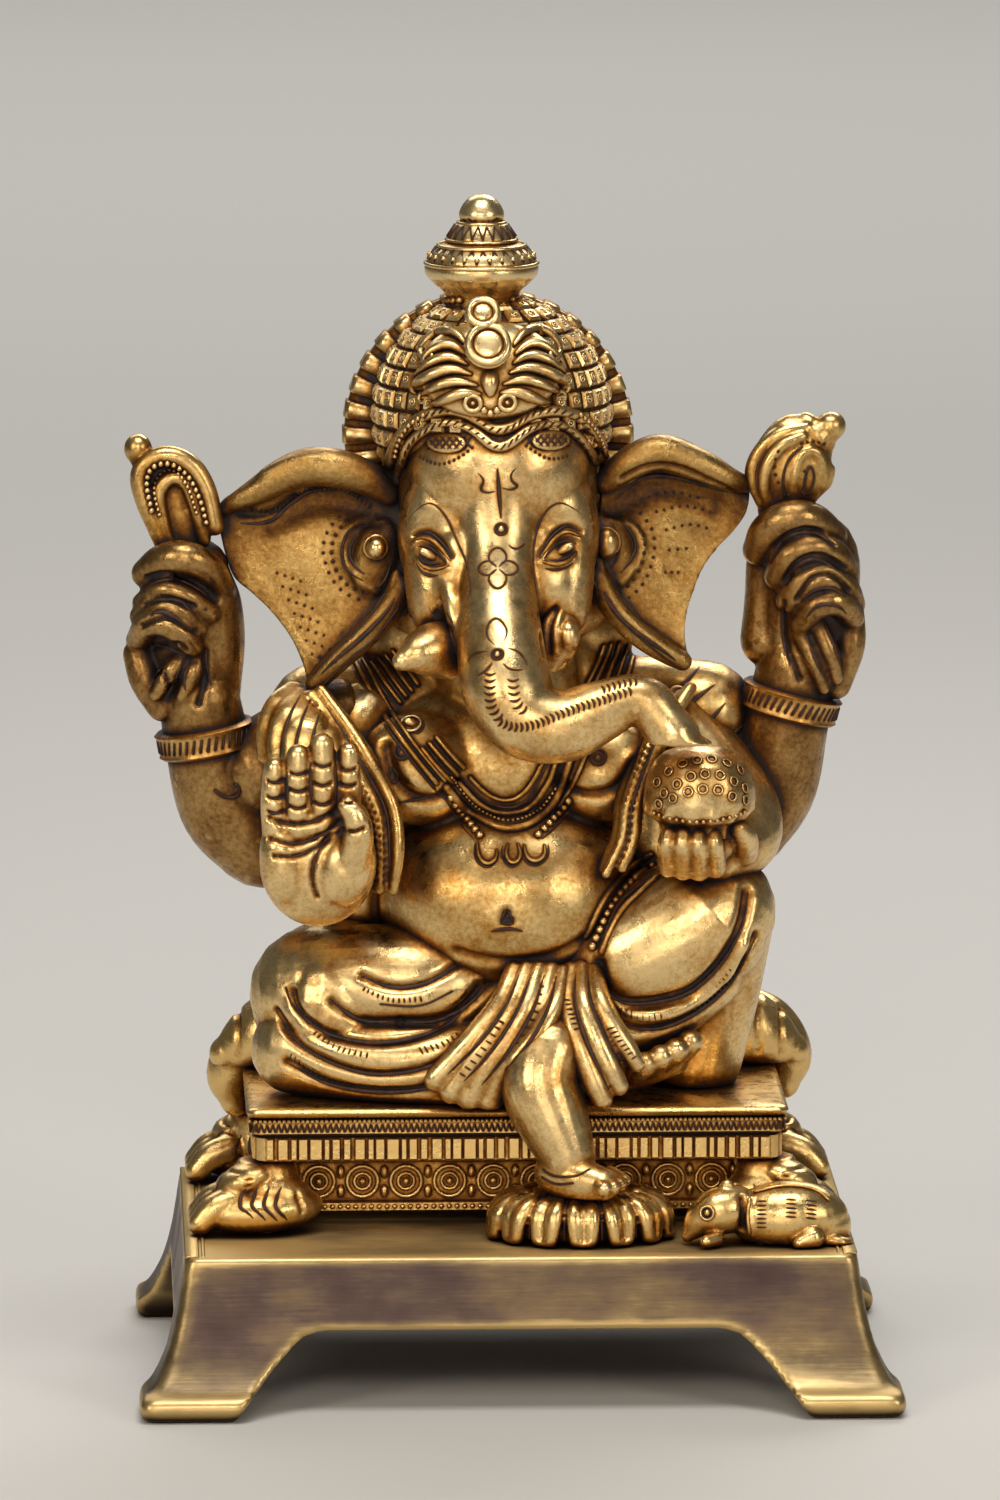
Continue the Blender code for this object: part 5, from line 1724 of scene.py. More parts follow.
mount(drape, figure_metal, "figure_brass", "dhoti_drape")
skin = [tree_of(drape)]
nicks = hatch(
    skin,
    drawn("dhoti_drape", [(-12.2, 6.3), (-11.5, 3.9), (-10.3, 0.4)]),
    drawn("dhoti_drape", [(-10.5, 6.2), (-9.7, 3.9), (-8.8, 0.8)]),
    1.0
)
nicks += hatch(
    skin,
    drawn("dhoti_drape", [(-3.8, 0.4), (-1.5, -2.7), (0.8, -5.5)]),
    drawn("dhoti_drape", [(-1.9, 1.0), (0.2, -2.0), (2.3, -4.5)]),
    1.0
)
nicks += creases_in(
    skin,
    drawn_lines(
        "dhoti_drape",
        [(-9.6, 11.7), (-9.7, 5.5), (-7.6, -1.5), (-4.9, -7.8), (-2.8, -12.1)],
        [(-7.3, 11.7), (-6.7, 5.8), (-4.2, -0.4), (-1.5, -5.8), (0.4, -9.4)]
    ),
    0.45, -0.1
)
detail("drape_nicks", nicks, wax, "figure_brass")


# ---- Rear arms ------------------------------------------------------------------------------
# The two rear arms rise from the shoulders to closed fists. Each is one casting with its four
# fingers wrapped round the handle it grips, and dark wax is left between the knuckles.

right_arm_shapes = [
    limb(
        [above(-26, 6, 69.5, 11), above(-38, 6.5, 62.5, 11), above(-47, 5.5, 50.5, 10.6)],
        wide=(0, 1, 0), sides=32
    ),
    limb(
        [
            above(-48, 5, 48, 10.4), above(-54.5, 4, 54.5, 10.0), above(-58.5, 1.5, 66, 8.4),
            above(-60.5, 0, 76, 7.8)
        ],
        sides=32
    ),
    limb(
        at("arm_rear_right", [(12.6, -4.3, -1.7, 9.0), (6.0, -4.3, -5.7, 9.2), (-1.3, -3.3, -10.7, 9.6)]),
        sides=28
    ),
    limb(
        [
            above(-60, 1, 76, 7.8), above(-61.0, 0, 86, 9.6), above(-61.5, -0.5, 95, 9.2),
            above(-61.5, -0.5, 101, 7.0)
        ],
        flat=0.82, sides=28
    ),
    limb(
        at(
            "arm_rear_right",
            [
                (-23.4, -8.3, 28.0, 2.9), (-20.0, -11.8, 31.0, 3.3), (-15.6, -13.3, 31.6, 3.3),
                (-11.4, -11.3, 29.0, 3.1), (-8.9, -7.3, 24.5, 2.8)
            ]
        ),
        sides=20, pitch=0.8
    ),
    limb(
        at(
            "arm_rear_right",
            [
                (-24.0, -8.3, 22.2, 2.2), (-20.8, -12.3, 25.3, 2.2), (-16.0, -13.3, 24.4, 2.2),
                (-11.6, -11.3, 20.7, 2.2)
            ]
        ),
        sides=20, pitch=0.8
    ),
    limb(
        at(
            "arm_rear_right",
            [
                (-24.6, -8.3, 19.7, 2.1), (-21.8, -12.3, 22.6, 2.1), (-17.6, -13.8, 21.8, 2.1),
                (-13.4, -11.3, 17.8, 2.1)
            ]
        ),
        sides=20, pitch=0.8
    ),
    limb(
        at(
            "arm_rear_right",
            [
                (-25.0, -7.3, 14.9, 2.4), (-23.1, -11.8, 18.7, 2.7), (-19.9, -13.8, 19.3, 2.8),
                (-16.8, -13.8, 17.4, 2.7), (-14.7, -12.3, 14.6, 2.3)
            ]
        ),
        sides=20, pitch=0.8
    ),
    limb(
        at(
            "arm_rear_right",
            [(-16.2, -10.3, 13.0, 1.7), (-19.0, -11.8, 9.4, 1.8), (-21.6, -10.8, 5.0, 1.3)]
        ),
        sides=14, pitch=0.8
    ),
    limb(
        at(
            "arm_rear_right",
            [(-13.4, -10.3, 12.4, 1.7), (-14.7, -11.8, 8.9, 1.8), (-16.7, -10.8, 4.7, 1.3)]
        ),
        sides=14, pitch=0.8
    ),
    limb(
        at(
            "arm_rear_right",
            [(-25.0, -6.3, 12.0, 3.0), (-23.5, -7.3, 7.1, 3.2), (-20.5, -7.3, 2.1, 3.0)]
        ),
        sides=16, pitch=0.8
    )
]
right_arm = cast("rear_right_arm", right_arm_shapes, 0.45, 1)
left_arm_shapes = [
    limb(
        [above(26, 6, 69.5, 11), above(37, 6.5, 63.5, 11), above(43.5, 5.5, 52.5, 10.6)],
        wide=(0, 1, 0), sides=32
    ),
    limb(
        [
            above(43.5, 5, 50.5, 10.4), above(49, 4, 58, 10.0), above(52.5, 1.5, 70, 8.4),
            above(55, 0, 82, 7.8)
        ],
        sides=32
    ),
    limb(
        [
            above(54.5, 1, 82, 7.8), above(56.5, 0, 92, 9.4), above(57.5, -0.5, 102, 9.0),
            above(55.5, -0.5, 107, 6.8)
        ],
        flat=0.82, sides=28
    ),
    limb(
        at("arm_rear_left", [(5.9, -3.3, 25.8, 4.6), (5.8, -3.3, 18.4, 4.8), (5.4, -3.3, 10.7, 5.2)]),
        sides=20, pitch=1.0
    ),
    limb(
        at(
            "arm_rear_left",
            [
                (3.3, -8.3, 28.9, 3.0), (5.1, -11.3, 33.0, 3.5), (9.0, -12.8, 35.5, 3.6),
                (13.5, -11.8, 35.1, 3.4), (17.5, -8.3, 31.7, 3.0)
            ]
        ),
        sides=20, pitch=0.8
    ),
    limb(
        at(
            "arm_rear_left",
            [
                (7.1, -10.3, 24.1, 2.8), (9.0, -12.8, 28.1, 3.2), (13.4, -13.3, 29.9, 3.3),
                (17.7, -11.3, 28.3, 3.1), (20.3, -8.3, 24.1, 2.7)
            ]
        ),
        sides=20, pitch=0.8
    ),
    limb(
        at(
            "arm_rear_left",
            [
                (9.2, -11.3, 19.6, 2.7), (11.7, -13.3, 23.4, 3.0), (16.1, -13.3, 24.5, 3.0),
                (19.9, -10.3, 21.7, 2.8), (21.5, -7.8, 18.2, 2.6)
            ]
        ),
        sides=20, pitch=0.8
    ),
    limb(
        at(
            "arm_rear_left",
            [
                (11.7, -11.3, 15.3, 2.4), (14.4, -13.3, 18.9, 2.8), (18.5, -12.8, 19.4, 2.8),
                (21.4, -9.3, 16.1, 2.5)
            ]
        ),
        sides=20, pitch=0.8
    ),
    limb(
        at("arm_rear_left", [(14.0, -10.8, 16.0, 1.8), (16.8, -11.8, 9.9, 1.9), (18.3, -10.8, 4.4, 1.4)]),
        sides=14, pitch=0.8
    ),
    limb(
        at("arm_rear_left", [(11.3, -10.8, 13.3, 1.6), (14.0, -11.8, 7.6, 1.7), (15.8, -10.8, 2.4, 1.3)]),
        sides=14, pitch=0.8
    ),
    limb(
        at("arm_rear_left", [(21.0, -6.3, 16.5, 3.0), (20.9, -7.3, 10.2, 3.2), (18.5, -7.3, 2.7, 3.0)]),
        sides=16, pitch=0.8
    )
]
left_arm = cast("rear_left_arm", left_arm_shapes, 0.45, 1)
for arm, lines in (
    (
        right_arm,
        drawn_lines(
            "arm_rear_right",
            [(-23.6, 30.1), (-19.0, 31.0), (-13.4, 28.9), (-10.3, 25.8)],
            [(-24.4, 24.9), (-20.0, 26.2), (-14.3, 24.5)],
            [(-24.8, 20.9), (-20.0, 22.6), (-13.8, 19.5)],
            [(-22.9, 16.6), (-18.1, 17.8), (-16.1, 16.2)], [(-21.0, 12.8), (-18.7, 8.6)],
            [(-12.4, 16.2), (-12.5, 10.4), (-13.8, 5.6)]
        ),
    ),
    (
        left_arm,
        drawn_lines(
            "arm_rear_left",
            [(4.5, 29.9), (7.5, 34.5), (12.4, 35.7), (17.0, 32.8)],
            [(7.3, 25.5), (9.6, 29.5), (14.0, 30.9), (18.9, 27.9)],
            [(9.6, 22.2), (12.5, 26.6), (16.7, 27.0), (19.7, 23.7)],
            [(7.0, 22.2), (7.4, 14.6), (10.3, 6.8)]
        ),
    ),
):
    skin = [tree_of(arm)]
    chase(arm, [(lay(skin, line), 0.6, -0.9) for line in lines])
# The rear arms take the darker brass copy, whose darkness is painted shade.
mount(right_arm, arm_painted_shade_metal, "figure_brass", "arm_rear_right")
mount(left_arm, arm_painted_shade_metal, "figure_brass", "arm_rear_left")
knuckle_wax = creases_in(
    [tree_of(right_arm)],
    drawn_lines(
        "arm_rear_right",
        [(-25.1, 25.9), (-22.5, 29.1), (-17.9, 29.9), (-13.5, 27.9), (-10.1, 24.6)],
        [(-24.4, 23.6), (-22.5, 25.5), (-19.8, 26.0), (-16.6, 25.3), (-13.2, 21.6)],
        [(-23.8, 21.6), (-21.7, 23.6), (-18.7, 22.8), (-15.3, 20.1)]
    ),
    0.62, -0.25
)
knuckle_wax += creases_in(
    [tree_of(right_arm)],
    drawn_lines(
        "arm_rear_right",
        [(-24.6, 19.7), (-23.3, 17.6), (-20.6, 17.2), (-17.4, 15.8), (-14.4, 15.1)],
        [(-22.9, 10.1), (-20.8, 12.8), (-18.7, 15.5)],
        [(-20.1, 6.6), (-18.4, 10.1), (-16.4, 14.3)],
        [(-16.1, 7.8), (-16.5, 11.2), (-15.3, 14.3)],
        [(-12.1, 18.1), (-12.3, 13.9), (-11.1, 8.5)],
        [(-11.6, 30.6), (-10.7, 28.9), (-10.3, 27.3)], [(-12.8, 23.5), (-12.0, 24.7)]
    ),
    0.42, -0.15
)
knuckle_wax += creases_in(
    [tree_of(left_arm)],
    drawn_lines(
        "arm_rear_left",
        [(4.5, 30.3), (7.5, 34.1), (12.4, 35.3), (17.4, 32.6)],
        [(7.0, 25.3), (9.6, 28.8), (14.0, 29.9), (19.0, 26.6)],
        [(9.3, 20.3), (12.5, 23.8), (16.7, 24.3), (20.1, 21.8)]
    ),
    0.62, -0.25
)
knuckle_wax += creases_in(
    [tree_of(left_arm)],
    drawn_lines(
        "arm_rear_left",
        [(10.8, 18.0), (13.6, 21.1), (17.5, 21.0), (19.7, 18.7)],
        [(7.0, 22.2), (7.2, 14.6), (8.7, 8.4)],
        [(11.4, 15.7), (13.3, 10.7), (15.6, 6.0)],
        [(14.8, 18.4), (17.1, 12.6), (18.3, 8.3)]
    ),
    0.42, -0.15
)
detail("knuckle_creases", knuckle_wax, wax, "figure_brass")
shoulder = [tree_of(left_arm), tree_of(body)]
folds = creases_in(
    shoulder,
    drawn_lines(
        "arm_rear_left", [(-15.6, 2.0), (-12.2, 5.8), (-8.4, 10.0)],
        [(-14.5, -0.7), (-9.9, 3.1), (-5.4, 6.5)], [(-11.4, -5.4), (-7.2, -1.2), (-3.4, 3.1)],
        [(-8.0, -7.7), (-4.2, -5.0), (-0.4, -1.6)], [(-5.3, -10.8), (-1.9, -7.7), (1.2, -5.4)]
    ),
    0.5, -0.15
)
detail("shoulder_folds", folds, wax, "figure_brass")
skin = [tree_of(right_arm)]
comma = [
    wire(
        lay(
            skin,
            drawn(
                "arm_rear_right",
                [(-11.0, -10.4), (-8.9, -12.1), (-6.3, -11.9), (-5.9, -10.0), (-7.4, -9.4)]
            )
        ),
        0.3, 0.0, sides=6
    )
]
detail("arm_comma_mark", comma, wax, "figure_brass")


# ---- Bracelets ------------------------------------------------------------------------------
# A band on each rear wrist, between two plain beads, with slanting cuts across it.

BAND_STEPS, BAND_CUTS = 72, 40
cuts_of_wax = []
for name, tilt in (("bracelet_right", -10), ("bracelet_left", 14)):
    low, high = (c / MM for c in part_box(name))
    centre = (low + high) / 2
    turned = np.array(Euler((0, math.radians(tilt), 0)).to_matrix())
    reach = 9.4
    band, nicks = [], []
    PROFILE = (
        (7.0, -2.6), (reach - 0.5, -2.7), (reach + 0.1, -2.2), (reach - 0.2, -1.5), (reach, 1.4),
        (reach + 0.4, 2.0), (reach - 0.3, 2.6), (7.0, 2.5)
    )
    rings = []
    for k in range(BAND_STEPS):
        a = 2 * math.pi * k / BAND_STEPS
        ring = np.array([(r * math.cos(a), r * math.sin(a), z) for r, z in PROFILE])
        rings.append(ring @ turned.T + np.array(centre))
    rings.append(rings[0])
    points, faces = skinned(rings[:-1], closed=False)
    count = len(PROFILE)
    last = (BAND_STEPS - 1) * count
    faces += [(last + j, last + (j + 1) % count, (j + 1) % count, j) for j in range(count)]
    bracelet = build(name + "_band", [(points, faces)])
    bracelet.data.shade_smooth()
    bracelet.data.set_sharp_from_angle(angle=math.radians(50))
    mount(bracelet, figure_metal, "figure_brass", name)
    for k in range(BAND_CUTS):
        a, b = 2 * math.pi * k / BAND_CUTS, 2 * math.pi * (k + 0.55) / BAND_CUTS
        start = np.array(
            ((reach - 0.05) * math.cos(a), (reach - 0.05) * math.sin(a), -1.3)
        ) @ turned.T + np.array(centre)
        end = np.array(
            ((reach - 0.05) * math.cos(b), (reach - 0.05) * math.sin(b), 1.2)
        ) @ turned.T + np.array(centre)
        cuts_of_wax.append(bar(start, end, 0.24))
detail("bracelet_cuts", cuts_of_wax, wax, "figure_brass")


# ---- Noose and goad -------------------------------------------------------------------------
# What the fists hold: a doubled noose with a beaded edge, and a bud-shaped goad with curved
# ribs. Each has a plain ball on its tip.

noose_shapes = [
    limb(at("noose", [(1.7, 0.0, -18.5, 3.4), (1.0, 0.0, -12.6, 4.4), (0.4, 0.0, -5.9, 5.6),
        (-1.3, 0.0, 0.9, 5.8), (-4.7, 0.0, 5.6, 4.2)]), flat=0.42, sides=24, pitch=1.0),
    limb(at("noose", [(-2.1, -2.0, -11.6, 1.8), (-4.4, -2.0, -6.5, 1.9), (-6.9, -2.0, -0.7, 1.9),
        (-7.8, -2.0, 4.1, 1.9), (-5.3, -2.0, 7.2, 2.0), (-1.3, -2.0, 7.7, 2.0),
        (2.5, -2.0, 5.4, 2.0), (5.0, -2.0, 0.8, 2.0), (6.5, -2.0, -5.8, 1.9)]), sides=16, pitch=0.8),
    limb(at("noose", [(-1.5, -2.2, -11.5, 1.4), (-3.4, -2.4, -5.5, 1.5), (-4.2, -2.4, 0.5, 1.5),
        (-2.1, -2.4, 3.4, 1.5), (0.8, -2.4, 2.8, 1.5), (2.9, -2.4, -1.9, 1.5),
        (4.4, -2.0, -8.5, 1.3)]), sides=14, pitch=0.8),
    ball(*at("noose", [(-8.1, 0.0, 8.9)]), (2.7, 2.7, 2.9)),
    limb(at("noose", [(-7.8, 0.0, 7.1, 2.0), (-6.2, 0.0, 4.8, 2.4)]), sides=14, pitch=0.6),
]
noose = cast("noose_loop", noose_shapes, 0.35, 1)
mount(noose, aged_metal, "figure_brass", "noose")
skin = [tree_of(noose)]
noose_beads = beads_on(
    lay(
        skin,
        drawn(
            "noose",
            [(-5.7, 0.0), (-6.8, 5.4), (-5.7, 8.6), (-2.3, 9.4), (1.0, 7.1), (3.4, 2.3), (4.7, -2.3)]
        )
    ),
    0.62, 1.35, 0.15
)
noose_beads += beads_on(
    lay(
        skin,
        drawn("noose", [(-4.2, -0.8), (-5.3, 4.2), (-4.0, 7.5), (-1.5, 8.0), (1.1, 4.8), (2.8, -0.4)])
    ),
    0.45, 1.05, 0.0
)
detail("noose_beads", noose_beads, figure_metal, "figure_brass")

goad_shapes = [
    limb(
        at(
            "goad",
            [
                (-1.6, 0.0, -18.4, 4.0), (-2.7, -0.5, -11.4, 4.8), (-2.7, -0.8, -7.1, 5.6),
                (-1.7, -0.8, -1.7, 8.2), (0.7, -0.5, 3.7, 7.4), (3.3, 0.0, 6.3, 4.8)
            ]
        ),
        flat=0.5, sides=28, pitch=1.0
    ),
    limb(
        at(
            "goad",
            [
                (-7.2, -2.0, -6.9, 1.3), (-9.1, -2.0, -1.8, 1.5), (-7.6, -2.0, 2.8, 1.5),
                (-3.8, -2.0, 6.2, 1.5), (1.3, -1.5, 7.3, 1.5)
            ]
        ),
        sides=16, pitch=0.8
    ),
    limb(
        at(
            "goad",
            [
                (-5.7, -3.0, -7.3, 1.2), (-6.9, -3.6, -3.6, 1.3), (-6.2, -4.0, 0.7, 1.3),
                (-3.5, -3.8, 4.2, 1.3), (0.4, -3.0, 5.8, 1.2)
            ]
        ),
        sides=14, pitch=0.8
    ),
    limb(
        at(
            "goad",
            [
                (-1.3, -3.0, -7.2, 1.1), (-1.2, -4.0, -2.0, 1.2), (-0.2, -4.0, 1.9, 1.2),
                (1.9, -3.6, 3.3, 1.2), (3.9, -3.0, 1.7, 1.2), (3.9, -2.5, -2.6, 1.1),
                (2.4, -2.0, -6.2, 1.0)
            ]
        ),
        sides=14, pitch=0.8
    ),
    ball(*at("goad", [(6.1, 0.0, 7.5)]), (2.9, 2.9, 2.8)),
    limb(at("goad", [(3.7, 0.0, 5.6, 3.6), (5.2, 0.0, 6.7, 3.0)]), sides=14, pitch=0.6)
]
goad = cast("goad_bud", goad_shapes, 0.35, 1)
mount(goad, aged_metal, "figure_brass", "goad")
skin = [tree_of(goad)]
goad_pits = beads_on(
    lay(skin, drawn("goad", [(-5.2, 6.1), (-6.1, 3.8), (-5.9, 1.5), (-5.0, -0.8), (-3.1, -2.7)])),
    0.3, 1.5, -0.02
)
goad_pits += beads_on(lay(skin, drawn("goad", [(-1.2, 7.3), (1.1, 7.8), (3.7, 7.2)])), 0.3, 1.3, -0.02)
goad_pits += beads_on(lay(skin, drawn("goad", [(-0.4, 2.3), (0.0, 0.0), (-0.8, -2.3)])), 0.26, 1.4, -0.02)
for line in drawn_lines(
    "goad",
    [(-9.0, -2.3), (-9.4, 2.3), (-7.3, 6.5)],
    [(-4.0, -3.5), (-4.4, 0.8), (-3.1, 4.6), (-0.4, 6.9)],
    [(-0.6, -3.5), (-0.2, 0.7), (0.7, 3.4), (1.5, 0.3), (0.0, -3.1)]
):
    goad_pits.append(wire(lay(skin, line), 0.26, -0.02, sides=5))
detail("goad_punch_marks", goad_pits, wax, "figure_brass")


# ---- Blessing hand --------------------------------------------------------------------------
# The right front arm comes forward to an open palm: four fingers with filed joint lines, a thumb
# bent in beside them, and the lines of the hand.

palm_shapes = [
    limb(
        [
            above(-29, 1, 70.5, 9), above(-36, -5, 60, 10), above(-38, -12, 48, 9.6),
            above(-38, -18, 45, 8.6)
        ],
        sides=28
    ),
    ball(*at("arm_front_right", [(-1.6, -13.9, -8.7)]), (11.2, 5.4, 12.4)),
    ball(*at("arm_front_right", [(3.6, -16.9, -9.4)]), (5.6, 4.2, 7.4), (0, 12, 0)),
    ball(*at("arm_front_right", [(-8.3, -15.9, -8.3)]), (4.4, 3.8, 8.4), (0, -8, 0)),
    ball(*at("arm_front_right", [(-2.8, -15.9, -0.7)]), (8.6, 3.4, 3.6)),
    limb(
        at(
            "arm_front_right",
            [(-9.6, -15.9, -2.6, 2.7), (-10.0, -16.4, 3.7, 2.6), (-9.8, -16.9, 9.9, 2.2)]
        ),
        sides=18, pitch=0.7
    ),
    limb(
        at(
            "arm_front_right",
            [(-5.3, -16.4, -1.7, 2.8), (-5.5, -17.4, 5.8, 2.7), (-5.4, -17.9, 12.4, 2.3)]
        ),
        sides=18, pitch=0.7
    ),
    limb(
        at(
            "arm_front_right",
            [(-0.5, -16.4, -1.4, 2.9), (-0.7, -17.4, 6.7, 2.8), (-0.9, -17.9, 14.5, 2.4)]
        ),
        sides=18, pitch=0.7
    ),
    limb(
        at("arm_front_right", [(3.9, -15.9, -0.7, 2.6), (4.1, -16.9, 6.6, 2.5), (4.2, -17.4, 13.0, 2.1)]),
        sides=18, pitch=0.7
    ),
    limb(
        at(
            "arm_front_right",
            [
                (4.8, -17.9, -8.1, 3.6), (5.9, -19.9, -3.1, 3.0), (5.5, -20.9, 0.9, 2.6),
                (4.0, -20.9, 3.2, 2.0)
            ]
        ),
        sides=18, pitch=0.7
    )
]
palm_arm = cast("blessing_arm", palm_shapes, 0.38, 1)
skin = [tree_of(palm_arm)]
hand_lines = [
    (drawn("arm_front_right", [(-11.3, -0.3), (-6.9, -1.7), (-2.7, -1.3), (1.9, 0.6)]), 0.6, -0.9),
    (drawn("arm_front_right", [(-11.1, -4.4), (-5.8, -5.4), (-0.2, -3.5), (3.0, -1.0)]), 0.5, -0.7),
    (drawn("arm_front_right", [(-10.3, -7.8), (-5.8, -7.9), (-1.6, -6.0), (1.1, -3.7)]), 0.5, -0.7),
    (drawn("arm_front_right", [(0.3, -4.4), (-1.9, -7.9), (-2.7, -12.1), (-1.6, -16.0)]), 0.5, -0.7),
    (drawn("arm_front_right", [(2.6, -2.1), (4.9, -3.3), (7.6, -2.5)]), 0.5, -0.7)
]
chase(palm_arm, [(lay(skin, line), w, d) for line, w, d in hand_lines])
finger_creases = drawn_lines(
    "arm_front_right", [(-11.4, 6.8), (-9.7, 6.2), (-8.0, 6.8)], [(-11.4, 3.7), (-9.7, 3.2), (-8.0, 3.7)],
    [(-11.4, 0.9), (-9.7, 0.3), (-8.0, 0.8)], [(-7.1, 8.3), (-5.3, 7.8), (-3.4, 8.3)],
    [(-7.1, 5.1), (-5.3, 4.5), (-3.4, 5.0)], [(-7.1, 1.8), (-5.4, 1.2), (-3.5, 1.8)],
    [(-2.5, 9.9), (-0.6, 9.3), (1.3, 9.8)], [(-2.5, 6.2), (-0.6, 5.6), (1.3, 6.2)],
    [(-2.5, 2.5), (-0.6, 1.9), (1.3, 2.5)], [(2.5, 9.1), (4.2, 8.5), (5.9, 9.0)],
    [(2.5, 6.0), (4.2, 5.4), (5.9, 6.0)], [(2.5, 2.9), (4.2, 2.3), (5.9, 2.9)]
)
chase(palm_arm, [(lay(skin, line, 0.3), 0.45, -0.6) for line in finger_creases])
mount(palm_arm, figure_metal, "figure_brass", "arm_front_right")
skin = [tree_of(palm_arm)]
hand_wax = creases_in(skin, finger_creases, 0.42, -0.1) + creases_in(
    skin, [line for line, _, _ in hand_lines], 0.36, -0.1
)
hand_wax += creases_in(
    skin,
    drawn_lines(
        "arm_front_right", [(-7.4, 9.1), (-7.4, 4.9), (-7.3, -0.1)],
        [(-3.0, 11.4), (-2.9, 6.0), (-2.7, 0.6)], [(1.7, 11.0), (1.9, 6.0), (1.9, 1.4)]
    ),
    0.5, -0.2
)
detail("palm_lines", hand_wax, wax, "figure_brass")


# ---- Sweet and the hand under it ------------------------------------------------------------
# The left front hand cups a domed sweet, punched all over its top with small rings.

bowl_shapes = [
    limb(
        [
            above(30, 1, 69.5, 9), above(40, -4, 57, 9.5), above(43, -12, 50.5, 8.2),
            above(38, -20, 49.0, 6.6)
        ],
        sides=28
    ),
    ball(*at("arm_front_left", [(-3.9, -11.9, -8.4)]), (7.6, 6.6, 4.6)),
    limb(
        at("arm_front_left", [(4.9, -7.9, -10.7, 3.2), (5.0, -12.9, -7.6, 2.6), (3.7, -14.9, -5.3, 2.1)]),
        sides=16, pitch=0.6
    )
]
for tip in (
    at("arm_front_left", [(-9.5, -12.9, -12.9, 2.2), (-9.9, -17.9, -8.2, 1.9), (-9.6, -17.9, -5.9, 1.5)]),
    at("arm_front_left", [(-6.6, -12.9, -13.5, 2.2), (-7.1, -18.9, -8.4, 1.9), (-7.0, -18.9, -5.9, 1.5)]),
    at("arm_front_left", [(-3.6, -12.9, -13.7, 2.2), (-4.1, -18.9, -8.4, 1.9), (-4.1, -18.9, -6.1, 1.5)]),
    at("arm_front_left", [(-0.5, -12.9, -13.1, 2.2), (-1.0, -17.9, -8.4, 1.9), (-1.2, -17.9, -6.1, 1.5)])
):
    bowl_shapes.append(limb(tip, sides=16, pitch=0.6))
bowl_arm = cast("cupping_arm", bowl_shapes, 0.38, 1)
mount(bowl_arm, figure_metal, "figure_brass", "arm_front_left")

sweet_low, sweet_high = (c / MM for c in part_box("modak"))
sweet_mid = (sweet_low + sweet_high) / 2
tall = sweet_high.z - sweet_low.z
SWEET = (
    (0.5, 0.0), (0.68, 0.03), (0.7, 0.1), (0.72, 0.17), (0.88, 0.22), (1.0, 0.3), (1.04, 0.42),
    (1.02, 0.56), (0.95, 0.7), (0.84, 0.82), (0.66, 0.91), (0.42, 0.965), (0.15, 0.99)
)
sweet_radius = (sweet_high.x - sweet_low.x) / 2
rings = []
for share, rise in SWEET:
    ring = []
    for k in range(64):
        a = 2 * math.pi * k / 64
        lobe = 1 + (0.04 * math.cos(14 * a) if rise < 0.34 else 0.015 * math.cos(7 * a + 0.5))
        ring.append(
            (
                sweet_mid.x + sweet_radius * share * lobe * math.cos(a),
                sweet_mid.y + sweet_radius * share * lobe * 0.97 * math.sin(a),
                sweet_low.z + tall * rise
            )
        )
    rings.append(np.array(ring))
sweet = cast("sweet", [skinned(rings)], 0.35, 1)
mount(sweet, figure_metal, "figure_brass", "modak")
skin = [tree_of(sweet)]
punches = []
for point in drawn(
    "modak",
    [
        (-7.9, 1.6), (-5.7, 3.7), (-3.0, 5.1), (-0.3, 5.8), (2.5, 6.0), (5.4, 5.2), (7.9, 3.9),
        (-6.6, -0.5), (-4.1, 1.2), (-1.5, 2.7), (1.2, 3.1), (4.1, 2.9), (6.7, 1.7), (8.8, 0.4),
        (-4.9, -1.5), (-2.0, -0.3), (0.8, 0.2), (3.7, 0.0), (6.4, -1.2), (-7.6, -2.6), (8.9, -1.9)
    ]
):
    punches += ring_on(skin, point, 0.85, 0.2, 0.08)
detail("sweet_ring_punches", punches, figure_metal, "figure_brass")
skin = [tree_of(sweet)]
base_beads = beads_on(
    lay(skin, drawn("modak", [(-8.7, -4.2), (-5.8, -5.3), (-0.1, -6.1), (5.6, -5.4), (8.9, -4.1)])),
    0.5, 1.3, 0.0
)
detail("sweet_beads", base_beads, figure_metal, "figure_brass")


# ---- Head and trunk -------------------------------------------------------------------------
# The elephant's head is one casting, filed smooth and buffed brightest of all: a broad brow, a
# hollow round each eye, full cheeks, and a trunk that curls across to the sweet.

HEAD = np.array(above(-3.5, -2.0, 115.5))


def on_head(x, y, z, *more):
    """A place given from the middle of the head."""
    return (HEAD[0] + x, HEAD[1] + y, HEAD[2] + z, *more)


